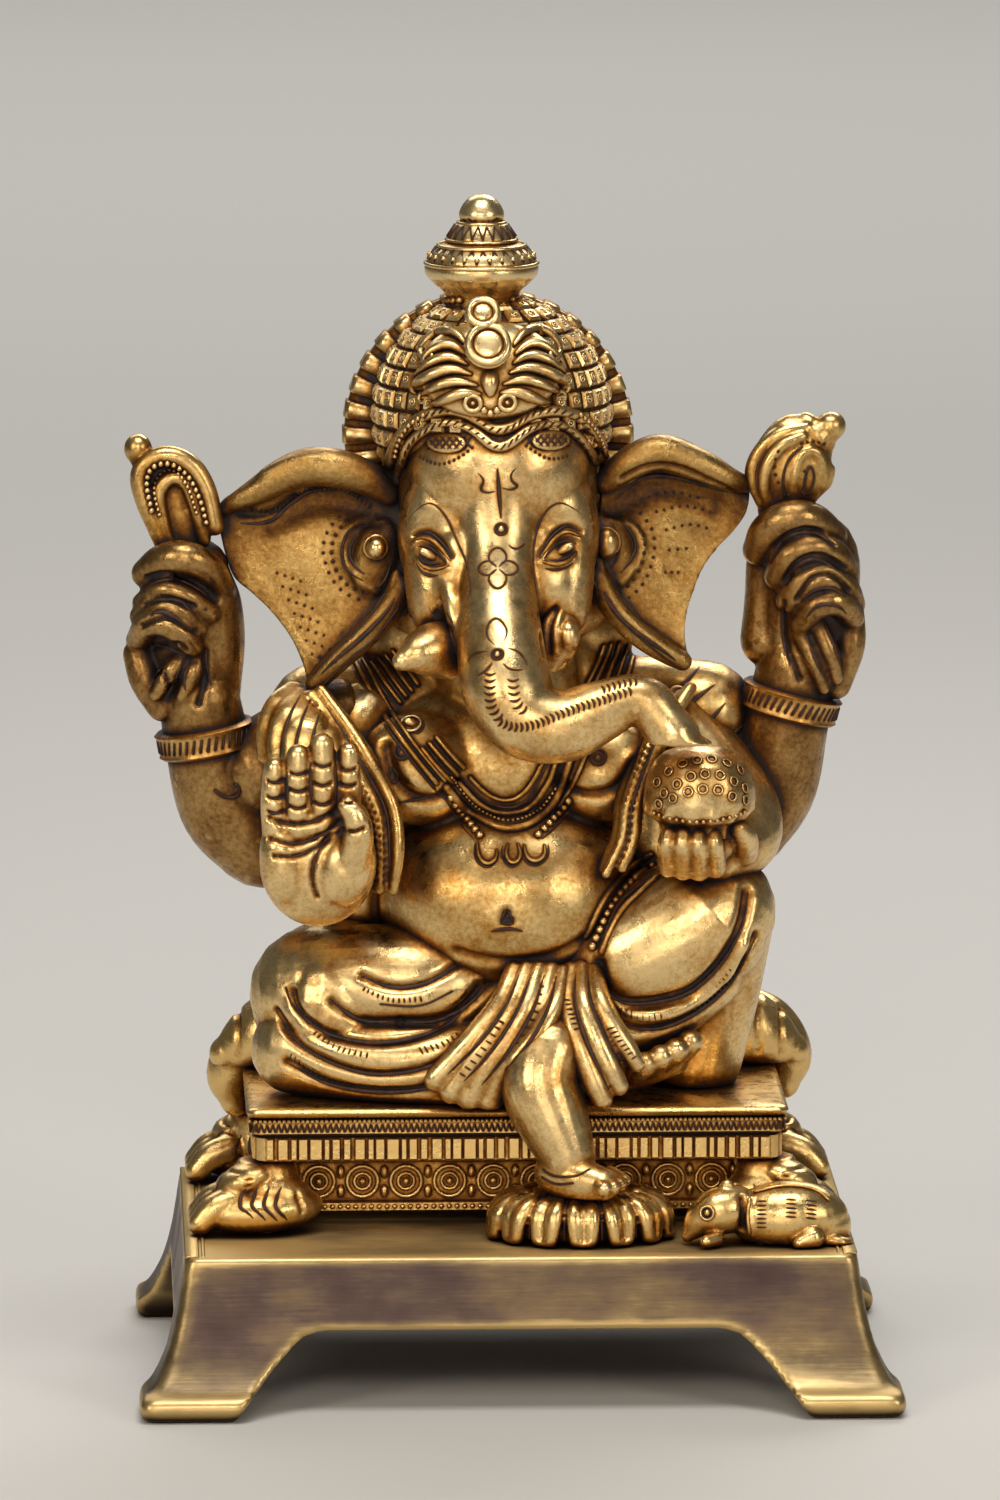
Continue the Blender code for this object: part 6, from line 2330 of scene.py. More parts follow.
trunk = [
    on_head(0.0, -10.3, 5, 9.4), on_head(0.0, -11.8, -4, 9.0), on_head(0.0, -14.8, -11, 8.2),
    on_head(-0.2, -19.8, -19, 7.8), on_head(0.2, -26.0, -27, 8.4), on_head(1.4, -30.5, -34.0, 8.6),
    on_head(5.0, -33.0, -39.0, 7.8), on_head(11.5, -34, -40.3, 7.0), on_head(18.5, -34, -37.6, 6.0),
    on_head(25.0, -34, -35.0, 4.7), on_head(28.2, -34, -36.4, 4.9), on_head(30.6, -34.6, -39.4, 4.7),
    on_head(32.6, -35, -42.2, 5.2)
]
head_shapes = [
    ball(on_head(0.4, 0, 1.0), (19.4, 18.0, 19.5), segments=48, rings=32),
    ball(on_head(0.4, -6.5, 5.0), (17.4, 13.4, 16.0), segments=40, rings=28),
    ball(on_head(-9.8, -7.8, -7), (9.2, 9.4, 14.5), segments=32, rings=20),
    ball(on_head(10.6, -7.8, -7), (9.2, 9.4, 14.5), segments=32, rings=20),
    ball(on_head(0.2, -5.5, -14), (17.2, 12.8, 13), segments=40, rings=28),
    ball(on_head(0.1, -13.5, -15), (11.4, 9.0, 13), segments=32, rings=20),
    ball(on_head(0.5, 6, -18), (24, 9, 20)),
    limb(trunk, sides=40, pitch=1.0),
    ball(on_head(33.6, -35.3, -42.8), (6.8, 4.8, 1.5), (0, 8, 0)),
    ball(on_head(-8.0, -14.6, -14), (6.4, 6.0, 10.5)),
    ball(on_head(8.8, -14.6, -14), (6.4, 6.0, 10.5)),
    limb(
        [
            on_head(-10.4, -9.6, -6, 7.4), on_head(-11.2, -11.6, -13, 6.8),
            on_head(-11.4, -13.2, -20.5, 5.8)
        ],
        sides=28, pitch=1.0
    ),
    limb(
        [on_head(11.0, -9.6, -6, 7.4), on_head(11.9, -11.6, -13, 6.8), on_head(12.2, -13.2, -20.5, 5.8)],
        sides=28, pitch=1.0
    ),
    limb(
        [
            on_head(-10.0, -19.0, -15.0, 1.5), on_head(-8.8, -22.0, -19.0, 1.9),
            on_head(-8.0, -23.8, -23.5, 1.8), on_head(-8.4, -24.6, -26.5, 1.2)
        ],
        sides=14, pitch=0.6
    )
]
for shape_points, _ in (head_shapes[8], head_shapes[7]):
    tip = shape_points[:, 0] > HEAD[0] + 24
    shape_points[tip, 2] = np.maximum(shape_points[tip, 2], HEAD[2] - 43.6)
head = cast("elephant_head", head_shapes, 0.45, 20)
skin = [tree_of(head)]
hollow_right = lay(skin, drawn("head", [(-23.9, 9.8), (-22.4, 6.5), (-20.9, 3.7)]), 0.7)
hollow_left = lay(skin, drawn("head", [(3.8, 9.7), (2.3, 6.4), (0.8, 3.5)]), 0.7)
chase(head, [(hollow_right, 4.2, -1.3), (hollow_left, 4.2, -1.3)])
skin = [tree_of(head)]
work = [
    (drawn("head", [(-21.6, -6.3), (-19.7, -8.3), (-18.6, -11.3), (-18.4, -14.4)]), 0.6, -0.5),
    (drawn("head", [(1.2, -5.7), (-0.7, -8.0), (-1.7, -11.0), (-1.1, -14.9)]), 0.6, -0.7),
    (drawn("head", [(-26.0, 8.1), (-24.3, 8.8), (-22.4, 8.5), (-20.5, 6.7), (-18.8, 4.2)]), 0.7, -0.45),
    (drawn("head", [(5.7, 8.9), (3.3, 9.9), (1.0, 8.5), (-0.7, 6.4), (-2.1, 4.3)]), 0.7, -0.45),
    (drawn("head", [(-25.8, 6.9), (-24.5, 7.7), (-22.6, 7.3), (-20.7, 5.6), (-19.2, 3.5)]), 0.6, 0.5),
    (drawn("head", [(5.7, 7.7), (3.4, 8.7), (1.4, 7.8), (-0.5, 5.9), (-1.7, 3.9)]), 0.6, 0.5),
    (drawn("head", [(-25.4, 3.7), (-24.3, 2.1), (-22.6, 1.6), (-20.7, 1.7), (-19.4, 2.3)]), 0.6, 0.45),
    (drawn("head", [(4.6, 3.9), (2.9, 2.8), (1.0, 2.6), (-0.9, 2.8), (-1.7, 3.2)]), 0.6, 0.45)
]
chase(head, [(lay(skin, line, 0.3), w, d) for line, w, d in work])
head.data.shade_smooth()
mount(head, figure_metal, "figure_brass", "head")

# The eyes are small almonds set between raised lids. Their creases hold wax.
skin = [tree_of(head)]
eyes = []
for spot, turn in ((drawn("head", [(-22.8, 4.6)])[0], 30), (drawn("head", [(2.5, 5.5)])[0], -30)):
    place = lay(skin, [spot])[0]
    eyes.append(ball(place[:3] - place[3:] * 0.1, (2.5, 1.15, 1.0), (0, turn, 0), segments=24, rings=14))
eyes += [
    wire(lay(skin, line, 0.3), r, 0.1, sides=8, taper=True) for line,
    r in (
        (drawn("head", [(-26.2, 7.1), (-24.7, 7.9), (-22.6, 7.5), (-20.5, 5.6), (-18.8, 3.3)]), 0.5),
        (drawn("head", [(5.9, 7.9), (3.4, 8.9), (1.4, 8.0), (-0.5, 5.9), (-1.9, 3.8)]), 0.5),
        (drawn("head", [(-25.4, 4.4), (-24.5, 2.7), (-22.6, 1.9), (-20.5, 2.1), (-19.0, 2.7)]), 0.42),
        (drawn("head", [(5.2, 5.3), (4.0, 3.7), (2.1, 2.8), (0.0, 2.8), (-1.7, 3.4)]), 0.42),
    )
]
detail("eyes_and_lids", eyes, figure_metal, "figure_brass")
creases = creases_in(
    skin,
    drawn_lines(
        "head",
        [(-26.2, 8.1), (-24.5, 9.0), (-22.4, 8.6), (-20.5, 6.9), (-19.0, 5.0), (-18.4, 3.1)],
        [(5.9, 8.9), (3.3, 10.1), (1.0, 8.7), (-0.7, 6.6), (-2.1, 4.3)],
        [(-25.4, 6.0), (-24.5, 6.4), (-22.8, 6.0), (-20.7, 4.4), (-19.4, 2.9)],
        [(5.4, 6.4), (3.4, 7.2), (1.5, 6.6), (-0.2, 5.1), (-1.3, 3.6)],
        [(-25.2, 4.8), (-24.1, 3.3), (-22.2, 2.9), (-20.3, 3.1)],
        [(5.0, 5.6), (3.8, 4.3), (1.7, 3.5), (-0.4, 3.6)],
        [(-25.6, 3.5), (-24.5, 1.6), (-22.8, 0.6), (-20.9, 0.8)],
        [(4.6, 3.1), (2.9, 2.0), (0.8, 1.6), (-1.3, 2.0)]
    ),
    0.3,
)
creases += creases_in(
    skin,
    drawn_lines(
        "head",
        [
            (-26.8, 11.7), (-24.7, 13.8), (-22.8, 14.6), (-21.1, 13.6), (-19.3, 11.1), (-17.5, 6.9),
            (-15.9, 3.1), (-15.2, -0.6), (-15.0, -4.4)
        ],
        [
            (6.5, 12.0), (4.0, 13.7), (1.9, 14.5), (-0.2, 13.5), (-1.9, 11.0), (-2.8, 8.0), (-3.2, 4.5),
            (-3.0, 0.3), (-2.2, -4.5)
        ]
    ),
    0.24
)
forehead = creases_in(
    skin,
    drawn_lines(
        "head",
        [(-14.0, 20.5), (-12.9, 19.5), (-12.5, 18.6), (-13.3, 17.2), (-12.1, 16.5), (-10.0, 16.8)],
        [(-6.2, 21.4), (-7.4, 20.1), (-7.2, 18.5), (-5.9, 17.8), (-7.6, 17.0), (-9.5, 17.6)],
        [(-8.0, 6.7), (-7.0, 5.7), (-5.7, 5.9), (-4.5, 7.0)],
        [
            (-10.2, -12.9), (-11.8, -11.4), (-11.9, -9.1), (-10.4, -7.5), (-9.1, -8.3), (-8.1, -10.2),
            (-8.9, -12.3)
        ],
        [(-11.6, -13.9), (-13.8, -14.2), (-15.2, -15.0), (-15.9, -16.2)],
        [(-10.8, -15.8), (-11.8, -17.3), (-13.1, -18.3), (-14.2, -18.7)],
        [(-8.3, -13.3), (-6.2, -13.9), (-4.9, -15.4), (-4.1, -17.0)],
        [(-9.1, -16.0), (-8.0, -17.2), (-6.4, -17.6), (-4.7, -17.4)],
        [(-20.9, -4.8), (-19.0, -7.5), (-18.0, -11.3), (-18.4, -15.0)],
        [(-23.2, -5.2), (-21.5, -8.2), (-20.3, -12.1), (-19.6, -15.6)],
        [(-9.9, 2.1), (-11.4, 3.2), (-11.6, 4.8), (-9.9, 6.1), (-8.3, 4.7), (-8.5, 3.2), (-9.9, 2.1)],
        [(-9.9, 2.1), (-11.4, 0.9), (-11.6, -0.6), (-9.9, -2.0), (-8.3, -0.6), (-8.5, 0.9), (-9.9, 2.1)],
        [(-9.9, 2.1), (-11.2, 3.4), (-12.7, 3.2), (-13.7, 1.9), (-12.5, 0.7), (-11.0, 0.9), (-9.9, 2.1)],
        [(-9.9, 2.1), (-8.7, 3.4), (-7.0, 3.2), (-5.9, 1.9), (-7.2, 0.7), (-8.7, 0.9), (-9.9, 2.1)]
    ),
    0.27,
)
forehead.append(
    wire(
        lay(skin, drawn("head", [(-10.0, 21.4), (-9.7, 17.0), (-9.3, 11.3)]), 0.35),
        0.42, -0.02, sides=6, taper=True
    )
)
forehead += ring_on(skin, drawn("head", [(-9.3, 9.5)])[0], 1.15, 0.22)
forehead += ring_on(skin, drawn("head", [(-10.0, -14.5)])[0], 1.1, 0.22)
detail("face_creases", creases + forehead, wax, "figure_brass")
bosses = [
    bead(lay(skin, drawn("head", [(-9.3, 9.5)])[0:1])[0][:3], 0.72),
    bead(lay(skin, drawn("head", [(-10.0, -14.5)])[0:1])[0][:3], 0.7)
]
detail("face_bosses", bosses, figure_metal, "figure_brass")

# Under the rim hang two ovals cut in a lattice, each over a dotted arc.
drops, lattice = [], []
for cx, cz, rx, rz in (
    (drawn("head", [(-19.7, 26.1)])[0][0], drawn("head", [(-19.7, 26.1)])[0][1], 4.3, 2.1),
    (drawn("head", [(0.2, 26.5)])[0][0], drawn("head", [(0.2, 26.5)])[0][1], 4.3, 2.1)
):
    place = lay(skin, [(cx, cz)])[0]
    tilt = [math.degrees(a) for a in Vector(place[3:]).to_track_quat("Z", "Y").to_euler()]
    drops.append(ball(place[:3], (rx, rz, 0.9), tilt, segments=28, rings=12))
    for k in range(-3, 4):
        for lean in (-1, 1):
            lattice.append(
                [
                    (cx + k * 1.3 - lean * 1.2, cz - 1.4), (cx + k * 1.3, cz),
                    (cx + k * 1.3 + lean * 1.2, cz + 1.4)
                ]
            )
lattices = detail("brow_lattices", drops, figure_metal, "figure_brass")
lattice_skin = [tree_of(lattices), *skin]
lattice_wax = creases_in(lattice_skin, lattice, 0.22, 0.0)
for line in drawn_lines(
    "head",
    [(-24.8, 23.6), (-23.1, 22.6), (-21.2, 22.0), (-19.0, 22.4), (-16.7, 23.6), (-14.6, 25.3)],
    [(-4.7, 25.6), (-2.6, 24.1), (-0.7, 23.1), (1.2, 22.9), (3.4, 23.5)]
):
    lattice_wax += beads_on(lay(skin, line, 0.4), 0.3, 1.1, 0.0)
detail("brow_lattice_lines", lattice_wax, wax, "figure_brass")

# Rows of crescents, one gouge stroke each, climb the trunk and turn along its upper edge.
gouges = []


def crescents(trees, line, pitch, size, turn):
    """Crescent cuts along a drawn line, each a bow across the way the line runs."""
    spots = even(line, pitch)
    cuts = []
    for k in range(len(spots)):
        a, b = spots[max(k - 1, 0)], spots[min(k + 1, len(spots) - 1)]
        way = (b - a) / max(np.linalg.norm(b - a), 1e-9)
        side = np.array((-way[1], way[0])) * turn
        bow = [
            spots[k] + side * s * size + way * (1 - s * s) * size * 0.55 for s in (-1, -0.5, 0, 0.5, 1)
        ]
        cuts.append(wire(lay(trees, [tuple(p) for p in bow], 0.3), 0.24, -0.02, sides=5, taper=True))
    return cuts


gouges += crescents(
    skin,
    drawn("head", [(-11.4, -17.9), (-11.4, -21.4), (-11.2, -24.3), (-10.0, -26.4)]),
    1.25, 1.3, 1
)
gouges += crescents(
    skin,
    drawn("head", [(-7.0, -19.1), (-6.8, -21.8), (-6.4, -23.9), (-5.3, -25.1)]),
    1.25, 1.3, 1
)
gouges += crescents(
    skin,
    drawn(
        "head",
        [
            (-9.7, -27.5), (-7.2, -28.5), (-4.5, -28.5), (-1.9, -27.8), (1.0, -26.6), (4.2, -25.3),
            (7.7, -24.2), (11.5, -23.0), (14.9, -21.9)
        ]
    ),
    1.05, 1.1, 1
)
gouges += crescents(skin, drawn("head", [(9.9, -21.5), (13.0, -20.5), (16.0, -20.0)]), 1.1, 1.0, 1)
gouges.append(ball(on_head(33.4, -35.2, -43.5), (3.6, 3.0, 0.5)))
detail("trunk_crescents", gouges, wax, "figure_brass")


# ---- Tusks ----------------------------------------------------------------------------------
# The right tusk is a whole blunt cone. The left is the broken one: a round stub in a ridged
# socket, where the old story says it was snapped off.

tusk_shapes = [limb(at("tusk_right", [(2.8, 3.4, -5.2, 5.6), (0.0, -0.6, -4.6, 5.2), (-3.3, -3.6, -5.1, 3.8),
    (-5.8, -5.1, -6.0, 1.9)]), sides=32, pitch=0.7)]
tusk = cast("right_tusk", tusk_shapes, 0.35, 1)
mount(tusk, figure_metal, "figure_brass", "tusk_right")
stub_shapes = [
    ball(*at("tusk_left_stub", [(-0.2, 2.0, -4.8)]), (3.6, 4.6, 6.0), (0, 12, 0)),
    ball(*at("tusk_left_stub", [(1.2, -1.0, -3.6)]), (2.3, 2.6, 3.0)),
    limb(
        at(
            "tusk_left_stub",
            [
                (-1.6, 1.0, 0.7, 1.0), (-3.0, -1.0, -2.4, 1.2), (-3.0, -1.0, -6.3, 1.2),
                (-1.6, 0.0, -9.9, 0.9)
            ]
        ),
        sides=12, pitch=0.6
    ),
    limb(
        at("tusk_left_stub", [(0.1, 1.0, 1.1, 0.9), (-1.1, -2.0, -2.3, 1.0), (-1.1, -2.0, -6.5, 1.0)]),
        sides=12, pitch=0.6
    )
]
stub = cast("broken_tusk", stub_shapes, 0.3, 1)
mount(stub, figure_metal, "figure_brass", "tusk_left_stub")


# ---- Ears -----------------------------------------------------------------------------------
# Two fan ears are cast thin. Each top edge folds forward in a thick lip, two ribs follow the lower
# edge, and dots are punched round the root.


def ear_plate(outline, thickness):
    """A thin plate through an outline of (x, y, z) places."""
    ring = even([*outline, outline[0]], 1.0)[:-1]
    front, back = ring.copy(), ring.copy()
    front[:, 1] -= thickness / 2
    back[:, 1] += thickness / 2
    return skinned([front, back])


right_outline = at(
    "ear_right",
    [
        (15.4, 1.5, 18.6), (9.1, 2.5, 20.1), (4.4, 2.5, 21.1), (-1.4, 3.5, 21.7), (-6.2, 3.5, 20.8),
        (-10.6, 3.5, 18.1), (-14.8, 2.5, 15.0), (-18.9, 1.5, 11.8), (-18.5, 1.5, 5.2), (-16.4, 0.5, -1.4),
        (-12.6, -0.5, -4.9), (-8.8, -1.5, -8.7), (-5.2, -2.5, -13.6), (-2.9, -3.5, -18.3),
        (-1.3, -4.5, -23.0), (3.2, -4.5, -18.8), (8.9, -4.5, -14.3), (14.7, -4.5, -9.9),
        (17.6, -3.5, -5.8)
    ]
)
right_ear_shapes = [
    ear_plate(right_outline, 3.0),
    limb(at("ear_right", [(13.4, -2.5, 14.5, 2.4), (9.2, -3.0, 17.7, 3.4), (3.8, -3.0, 19.5, 3.8),
        (-1.5, -3.0, 19.9, 3.8), (-6.3, -3.0, 18.4, 3.4), (-10.7, -2.5, 15.8, 2.8),
        (-14.9, -2.0, 13.5, 2.0), (-17.6, -0.5, 11.7, 1.5)]), sides=24, pitch=0.8),
    limb(at("ear_right", [(-0.7, -5.5, -21.7, 1.9), (3.1, -6.5, -17.5, 2.4), (8.3, -7.0, -12.6, 2.6),
        (12.9, -7.0, -7.6, 2.5), (16.0, -6.5, -2.7, 2.2)]), sides=16, pitch=0.8),
    limb(at("ear_right", [(0.7, -5.5, -18.6, 1.2), (5.0, -6.5, -14.2, 1.3), (9.8, -7.0, -9.5, 1.3),
        (13.3, -7.0, -4.9, 1.2), (15.0, -6.5, -0.5, 1.1)]), sides=14, pitch=0.8),
    ball(*at("ear_right", [(11.1, -1.5, 0.5)]), (5.0, 3.6, 10.0), (0, 8, 0)),
]
right_ear = cast("fan_ear_right", right_ear_shapes, 0.4, 2)
skin = [tree_of(right_ear)]
chase(
    right_ear,
    [
        (
            lay(
                skin,
                drawn("ear_right", [(11.0, 12.1), (5.7, 15.2), (0.0, 16.0), (-5.4, 14.1), (-9.5, 11.8)])
            ),
            2.6, -1.5
        ),
        (lay(skin, drawn("ear_right", [(-13.3, 7.8), (-7.7, 1.1), (-2.0, -6.6)])), 5.0, -0.9),
        (
            lay(
                skin,
                drawn(
                    "ear_right",
                    [(10.2, 13.3), (6.6, 12.1), (4.5, 8.7), (4.9, 4.5), (7.5, 0.6), (10.9, -1.3)]
                )
            ),
            1.0, 0.6
        ),
        (
            lay(skin, drawn("ear_right", [(-16.2, 14.1), (-11.8, 13.7), (-8.0, 14.9), (-4.6, 17.5)])),
            0.7, -0.8
        ),
        (lay(skin, drawn("ear_right", [(-11.0, 21.8), (-6.7, 23.7), (-1.0, 24.4)])), 1.2, 0.3)
    ],
)
mount(right_ear, ear_metal, "figure_brass", "ear_right")
skin = [tree_of(right_ear)]
ear_wax = [
    wire(lay(skin, line, 0.4), 0.34, -0.02, sides=6, taper=True)
    for line in drawn_lines(
        "ear_right",
        [(8.7, 11.7), (5.6, 10.6), (4.1, 6.8), (5.1, 2.9), (8.3, 0.6)],
        [(7.9, 10.4), (6.2, 8.5), (5.6, 5.8), (6.8, 3.3), (8.7, 1.9)],
        [(9.8, -1.3), (12.3, 1.0), (13.6, 4.8)]
    )
]
ear_wax += beads_on(
    lay(
        skin,
        drawn(
            "ear_right",
            [
                (5.3, 12.5), (3.2, 10.2), (2.2, 7.7), (2.2, 5.2), (3.0, 2.9), (4.1, 1.0), (6.0, -0.5),
                (8.3, -1.3)
            ]
        )
    ),
    0.36, 1.75, -0.02
)
ear_wax += beads_on(
    lay(
        skin,
        drawn(
            "ear_right",
            [(3.8, 13.3), (1.5, 10.6), (0.5, 7.2), (1.1, 3.7), (2.6, 0.6), (4.9, -1.7), (7.5, -2.8)]
        )
    ),
    0.3, 1.9, -0.02
)
for row in range(7):
    start = (-8.5 + row * 1.1, 2.5 - row * 2.6)
    ear_wax += beads_on(
        lay(
            skin,
            [
                (middle("ear_right").x + start[0], middle("ear_right").z + start[1]),
                (middle("ear_right").x + start[0] + 5, middle("ear_right").z + start[1] - 1.8)
            ]
        ),
        0.24, 1.7, -0.02
    )
ear_wax += [
    wire(lay(skin, line, 0.4), 0.24, -0.02, sides=5)
    for line in drawn_lines(
        "ear_right",
        [(-0.5, -20.1), (4.6, -15.1), (10.4, -10.2), (15.1, -4.0)],
        [(-1.6, -17.4), (2.8, -12.4), (8.3, -7.1), (12.5, -1.3)]
    )
]
band = hatch(
    skin,
    drawn(
        "ear_right",
        [(-12.9, 15.3), (-8.6, 15.3), (-4.6, 17.9), (0.3, 19.4), (5.3, 19.0), (9.8, 15.9)]
    ),
    drawn(
        "ear_right",
        [(-12.9, 13.9), (-8.0, 13.7), (-4.2, 16.4), (0.3, 17.9), (4.9, 17.5), (9.1, 14.4)]
    ),
    0.9
)
ear_wax += creases_in(
    skin,
    drawn_lines(
        "ear_right",
        [
            (-17.9, 13.8), (-15.2, 12.0), (-9.3, 12.4), (-5.7, 15.8), (-1.4, 18.1), (4.9, 18.1),
            (10.4, 14.6)
        ],
        [(-1.6, -18.9), (2.7, -14.5), (7.9, -10.0), (12.8, -4.8), (15.1, 0.0)]
    ),
    0.6, -0.25
)
detail("right_ear_punches", ear_wax + band, wax, "figure_brass")

left_outline = at(
    "ear_left",
    [
        (-10.8, 1.1, 16.4), (-7.0, 2.1, 20.2), (-2.5, 2.1, 22.1), (1.3, 2.6, 22.8), (5.8, 3.1, 21.7),
        (9.6, 3.1, 19.0), (13.4, 2.6, 16.5), (17.2, 2.1, 14.6), (17.2, 1.1, 8.9), (14.9, 1.1, 4.7),
        (11.9, 1.1, 1.4), (9.1, 0.1, -2.3), (7.2, -0.9, -6.6), (5.7, -2.9, -11.2), (5.1, -3.9, -15.8),
        (5.7, -4.9, -21.1), (1.6, -4.9, -18.6), (-3.8, -4.9, -14.9), (-9.1, -4.9, -11.0),
        (-12.9, -3.9, -6.1)
    ]
)
left_ear_shapes = [
    ear_plate(left_outline, 3.0),
    limb(at("ear_left", [(-10.2, -2.9, 14.7, 2.4), (-6.0, -3.4, 18.2, 3.2), (-0.3, -3.4, 20.5, 3.5),
        (5.1, -3.4, 18.9, 3.4), (9.3, -3.4, 17.3, 3.0), (13.1, -2.9, 15.3, 2.4),
        (16.1, -0.9, 13.9, 1.9)]), sides=24, pitch=0.8),
    limb(at("ear_left", [(4.4, -5.9, -19.6, 1.9), (0.0, -6.9, -16.9, 2.4), (-5.0, -7.4, -13.1, 2.6),
        (-9.4, -7.4, -8.3, 2.5), (-11.9, -6.9, -3.1, 2.2)]), sides=16, pitch=0.8),
    limb(at("ear_left", [(3.1, -5.9, -17.5, 1.2), (-1.9, -6.9, -13.8, 1.3), (-6.8, -7.4, -9.5, 1.3),
        (-10.4, -7.4, -4.8, 1.2), (-11.9, -6.9, 0.2, 1.1)]), sides=14, pitch=0.8),
    ball(*at("ear_left", [(-9.4, -1.9, -0.6)]), (5.0, 3.6, 10.0), (0, -8, 0)),
]
left_ear = cast("fan_ear_left", left_ear_shapes, 0.4, 2)
skin = [tree_of(left_ear)]
chase(
    left_ear,
    [
        (
            lay(
                skin,
                drawn("ear_left", [(-10.0, 11.8), (-5.6, 14.8), (-0.5, 16.3), (4.8, 15.2), (9.6, 13.2)])
            ),
            2.6, -1.5
        ),
        (lay(skin, drawn("ear_left", [(9.6, 10.2), (4.9, 2.5), (1.4, -7.1)])), 5.0, -0.9),
        (
            lay(
                skin,
                drawn("ear_left", [(-10.0, 11.0), (-6.2, 9.1), (-4.3, 5.4), (-5.4, 1.4), (-8.5, -2.0)])
            ),
            1.0, 0.6
        ),
        (
            lay(
                skin,
                drawn("ear_left", [(-8.1, 18.3), (-2.8, 20.6), (2.9, 20.2), (8.2, 17.8), (13.4, 15.5)])
            ),
            0.7, -0.8
        )
    ],
)
mount(left_ear, ear_metal, "figure_brass", "ear_left")
skin = [tree_of(left_ear)]
ear_wax = [
    wire(lay(skin, line, 0.4), 0.34, -0.02, sides=6, taper=True)
    for line in drawn_lines(
        "ear_left",
        [(-8.9, 10.3), (-6.6, 8.3), (-5.4, 5.3), (-6.6, 2.2), (-8.5, -0.1)],
        [(-10.0, 9.9), (-8.8, 7.2), (-8.8, 3.4), (-10.4, 0.7)],
        [(-12.6, -3.2), (-13.8, -0.3), (-13.4, 2.6)]
    )
]
ear_wax += beads_on(
    lay(
        skin,
        drawn(
            "ear_left",
            [(-6.6, 10.2), (-4.3, 8.3), (-3.7, 4.9), (-4.5, 1.4), (-6.0, -1.3), (-8.5, -3.6)]
        )
    ),
    0.36, 1.75, -0.02
)
ear_wax += beads_on(
    lay(
        skin,
        drawn(
            "ear_left",
            [(-4.7, 11.8), (-2.4, 8.7), (-1.8, 4.9), (-2.8, 0.6), (-4.6, -2.8), (-6.9, -4.7)]
        )
    ),
    0.3, 1.9, -0.02
)
for line in drawn_lines(
    "ear_left", [(-4.7, 14.1), (1.0, 15.6), (6.7, 14.4)], [(-1.8, 11.8), (3.9, 12.9), (9.0, 11.7)],
    [(0.1, 8.3), (4.8, 9.4), (8.3, 8.6)], [(0.7, 4.5), (4.5, 4.8)], [(-0.1, 0.2), (3.0, 0.2)]
):
    ear_wax += beads_on(lay(skin, line), 0.26, 1.6, -0.02)
ear_wax += [
    wire(lay(skin, line, 0.4), 0.24, -0.02, sides=5)
    for line in drawn_lines(
        "ear_left",
        [(4.1, -19.0), (-1.8, -14.7), (-7.5, -9.3), (-11.5, -3.2)],
        [(1.5, -12.8), (-4.6, -8.6), (-9.2, -3.2)]
    )
]
ear_wax += creases_in(
    skin,
    drawn_lines(
        "ear_left",
        [(15.1, 15.5), (12.4, 15.5), (7.9, 16.7), (2.9, 18.2), (-2.8, 18.7), (-8.1, 15.6), (-10.8, 11.8)],
        [(4.1, -18.2), (-0.8, -14.4), (-5.8, -10.9), (-10.2, -6.2), (-12.3, -1.2)]
    ),
    0.6, -0.25
)
detail("left_ear_punches", ear_wax, wax, "figure_brass")


# ---- Ear studs ------------------------------------------------------------------------------
# A plain stud with a raised collar sits on each ear's root.

studs = []
for spot, (rx, rz) in (
    (at("ear_stud_right", [(-2.0, 0.0, -0.4)])[0], (1.9, 2.1)),
    (at("ear_stud_left", [(1.0, 0.0, 0.4)])[0], (2.3, 2.9))
):
    studs.append(ball(spot, (rx, 2.2, rz), segments=24, rings=16))
    studs.append(torus(np.array(spot) + (0, 1.6, 0), (0, 1, 0.1), rx + 0.2, 0.5, around=28, section=10))
ear_studs = build("ear_studs", studs)
ear_studs.data.shade_smooth()
mount(ear_studs, figure_metal, "figure_brass", "ear_stud_right", "ear_stud_left")


# ---- Crown ----------------------------------------------------------------------------------
# A tall dome set with rows of raised tiles, each with a ring and a dot on it, over two rolls of rope
# that dip to a point on the brow.

CROWN = np.array(on_head(-0.5, 3, 14.5))
CROWN_HALF = np.array((22.2, 19.6, 22.2))
dome_shapes = [ball(CROWN, CROWN_HALF, segments=72, rings=48)]
for shape_points, _ in dome_shapes:
    below = shape_points[:, 2] < HEAD[2] + 3 - 0.6 * (shape_points[:, 1] - HEAD[1])
    shape_points[below, 2] = HEAD[2] + 3 - 0.6 * (shape_points[below, 1] - HEAD[1])
dome = cast("crown_dome", dome_shapes, 0.45, 1)
mount(dome, aged_metal, "figure_brass", "crown")


def on_dome(turn, rise, lift=0.0):
    """A place on the crown's dome, by angles in degrees, with the way it faces."""
    a, b = math.radians(turn), math.radians(rise)
    way = np.array((math.cos(b) * math.cos(a), math.cos(b) * math.sin(a), math.sin(b)))
    facing = way / CROWN_HALF
    facing /= np.linalg.norm(facing)
    return (*(CROWN + CROWN_HALF * way + facing * lift), *facing)


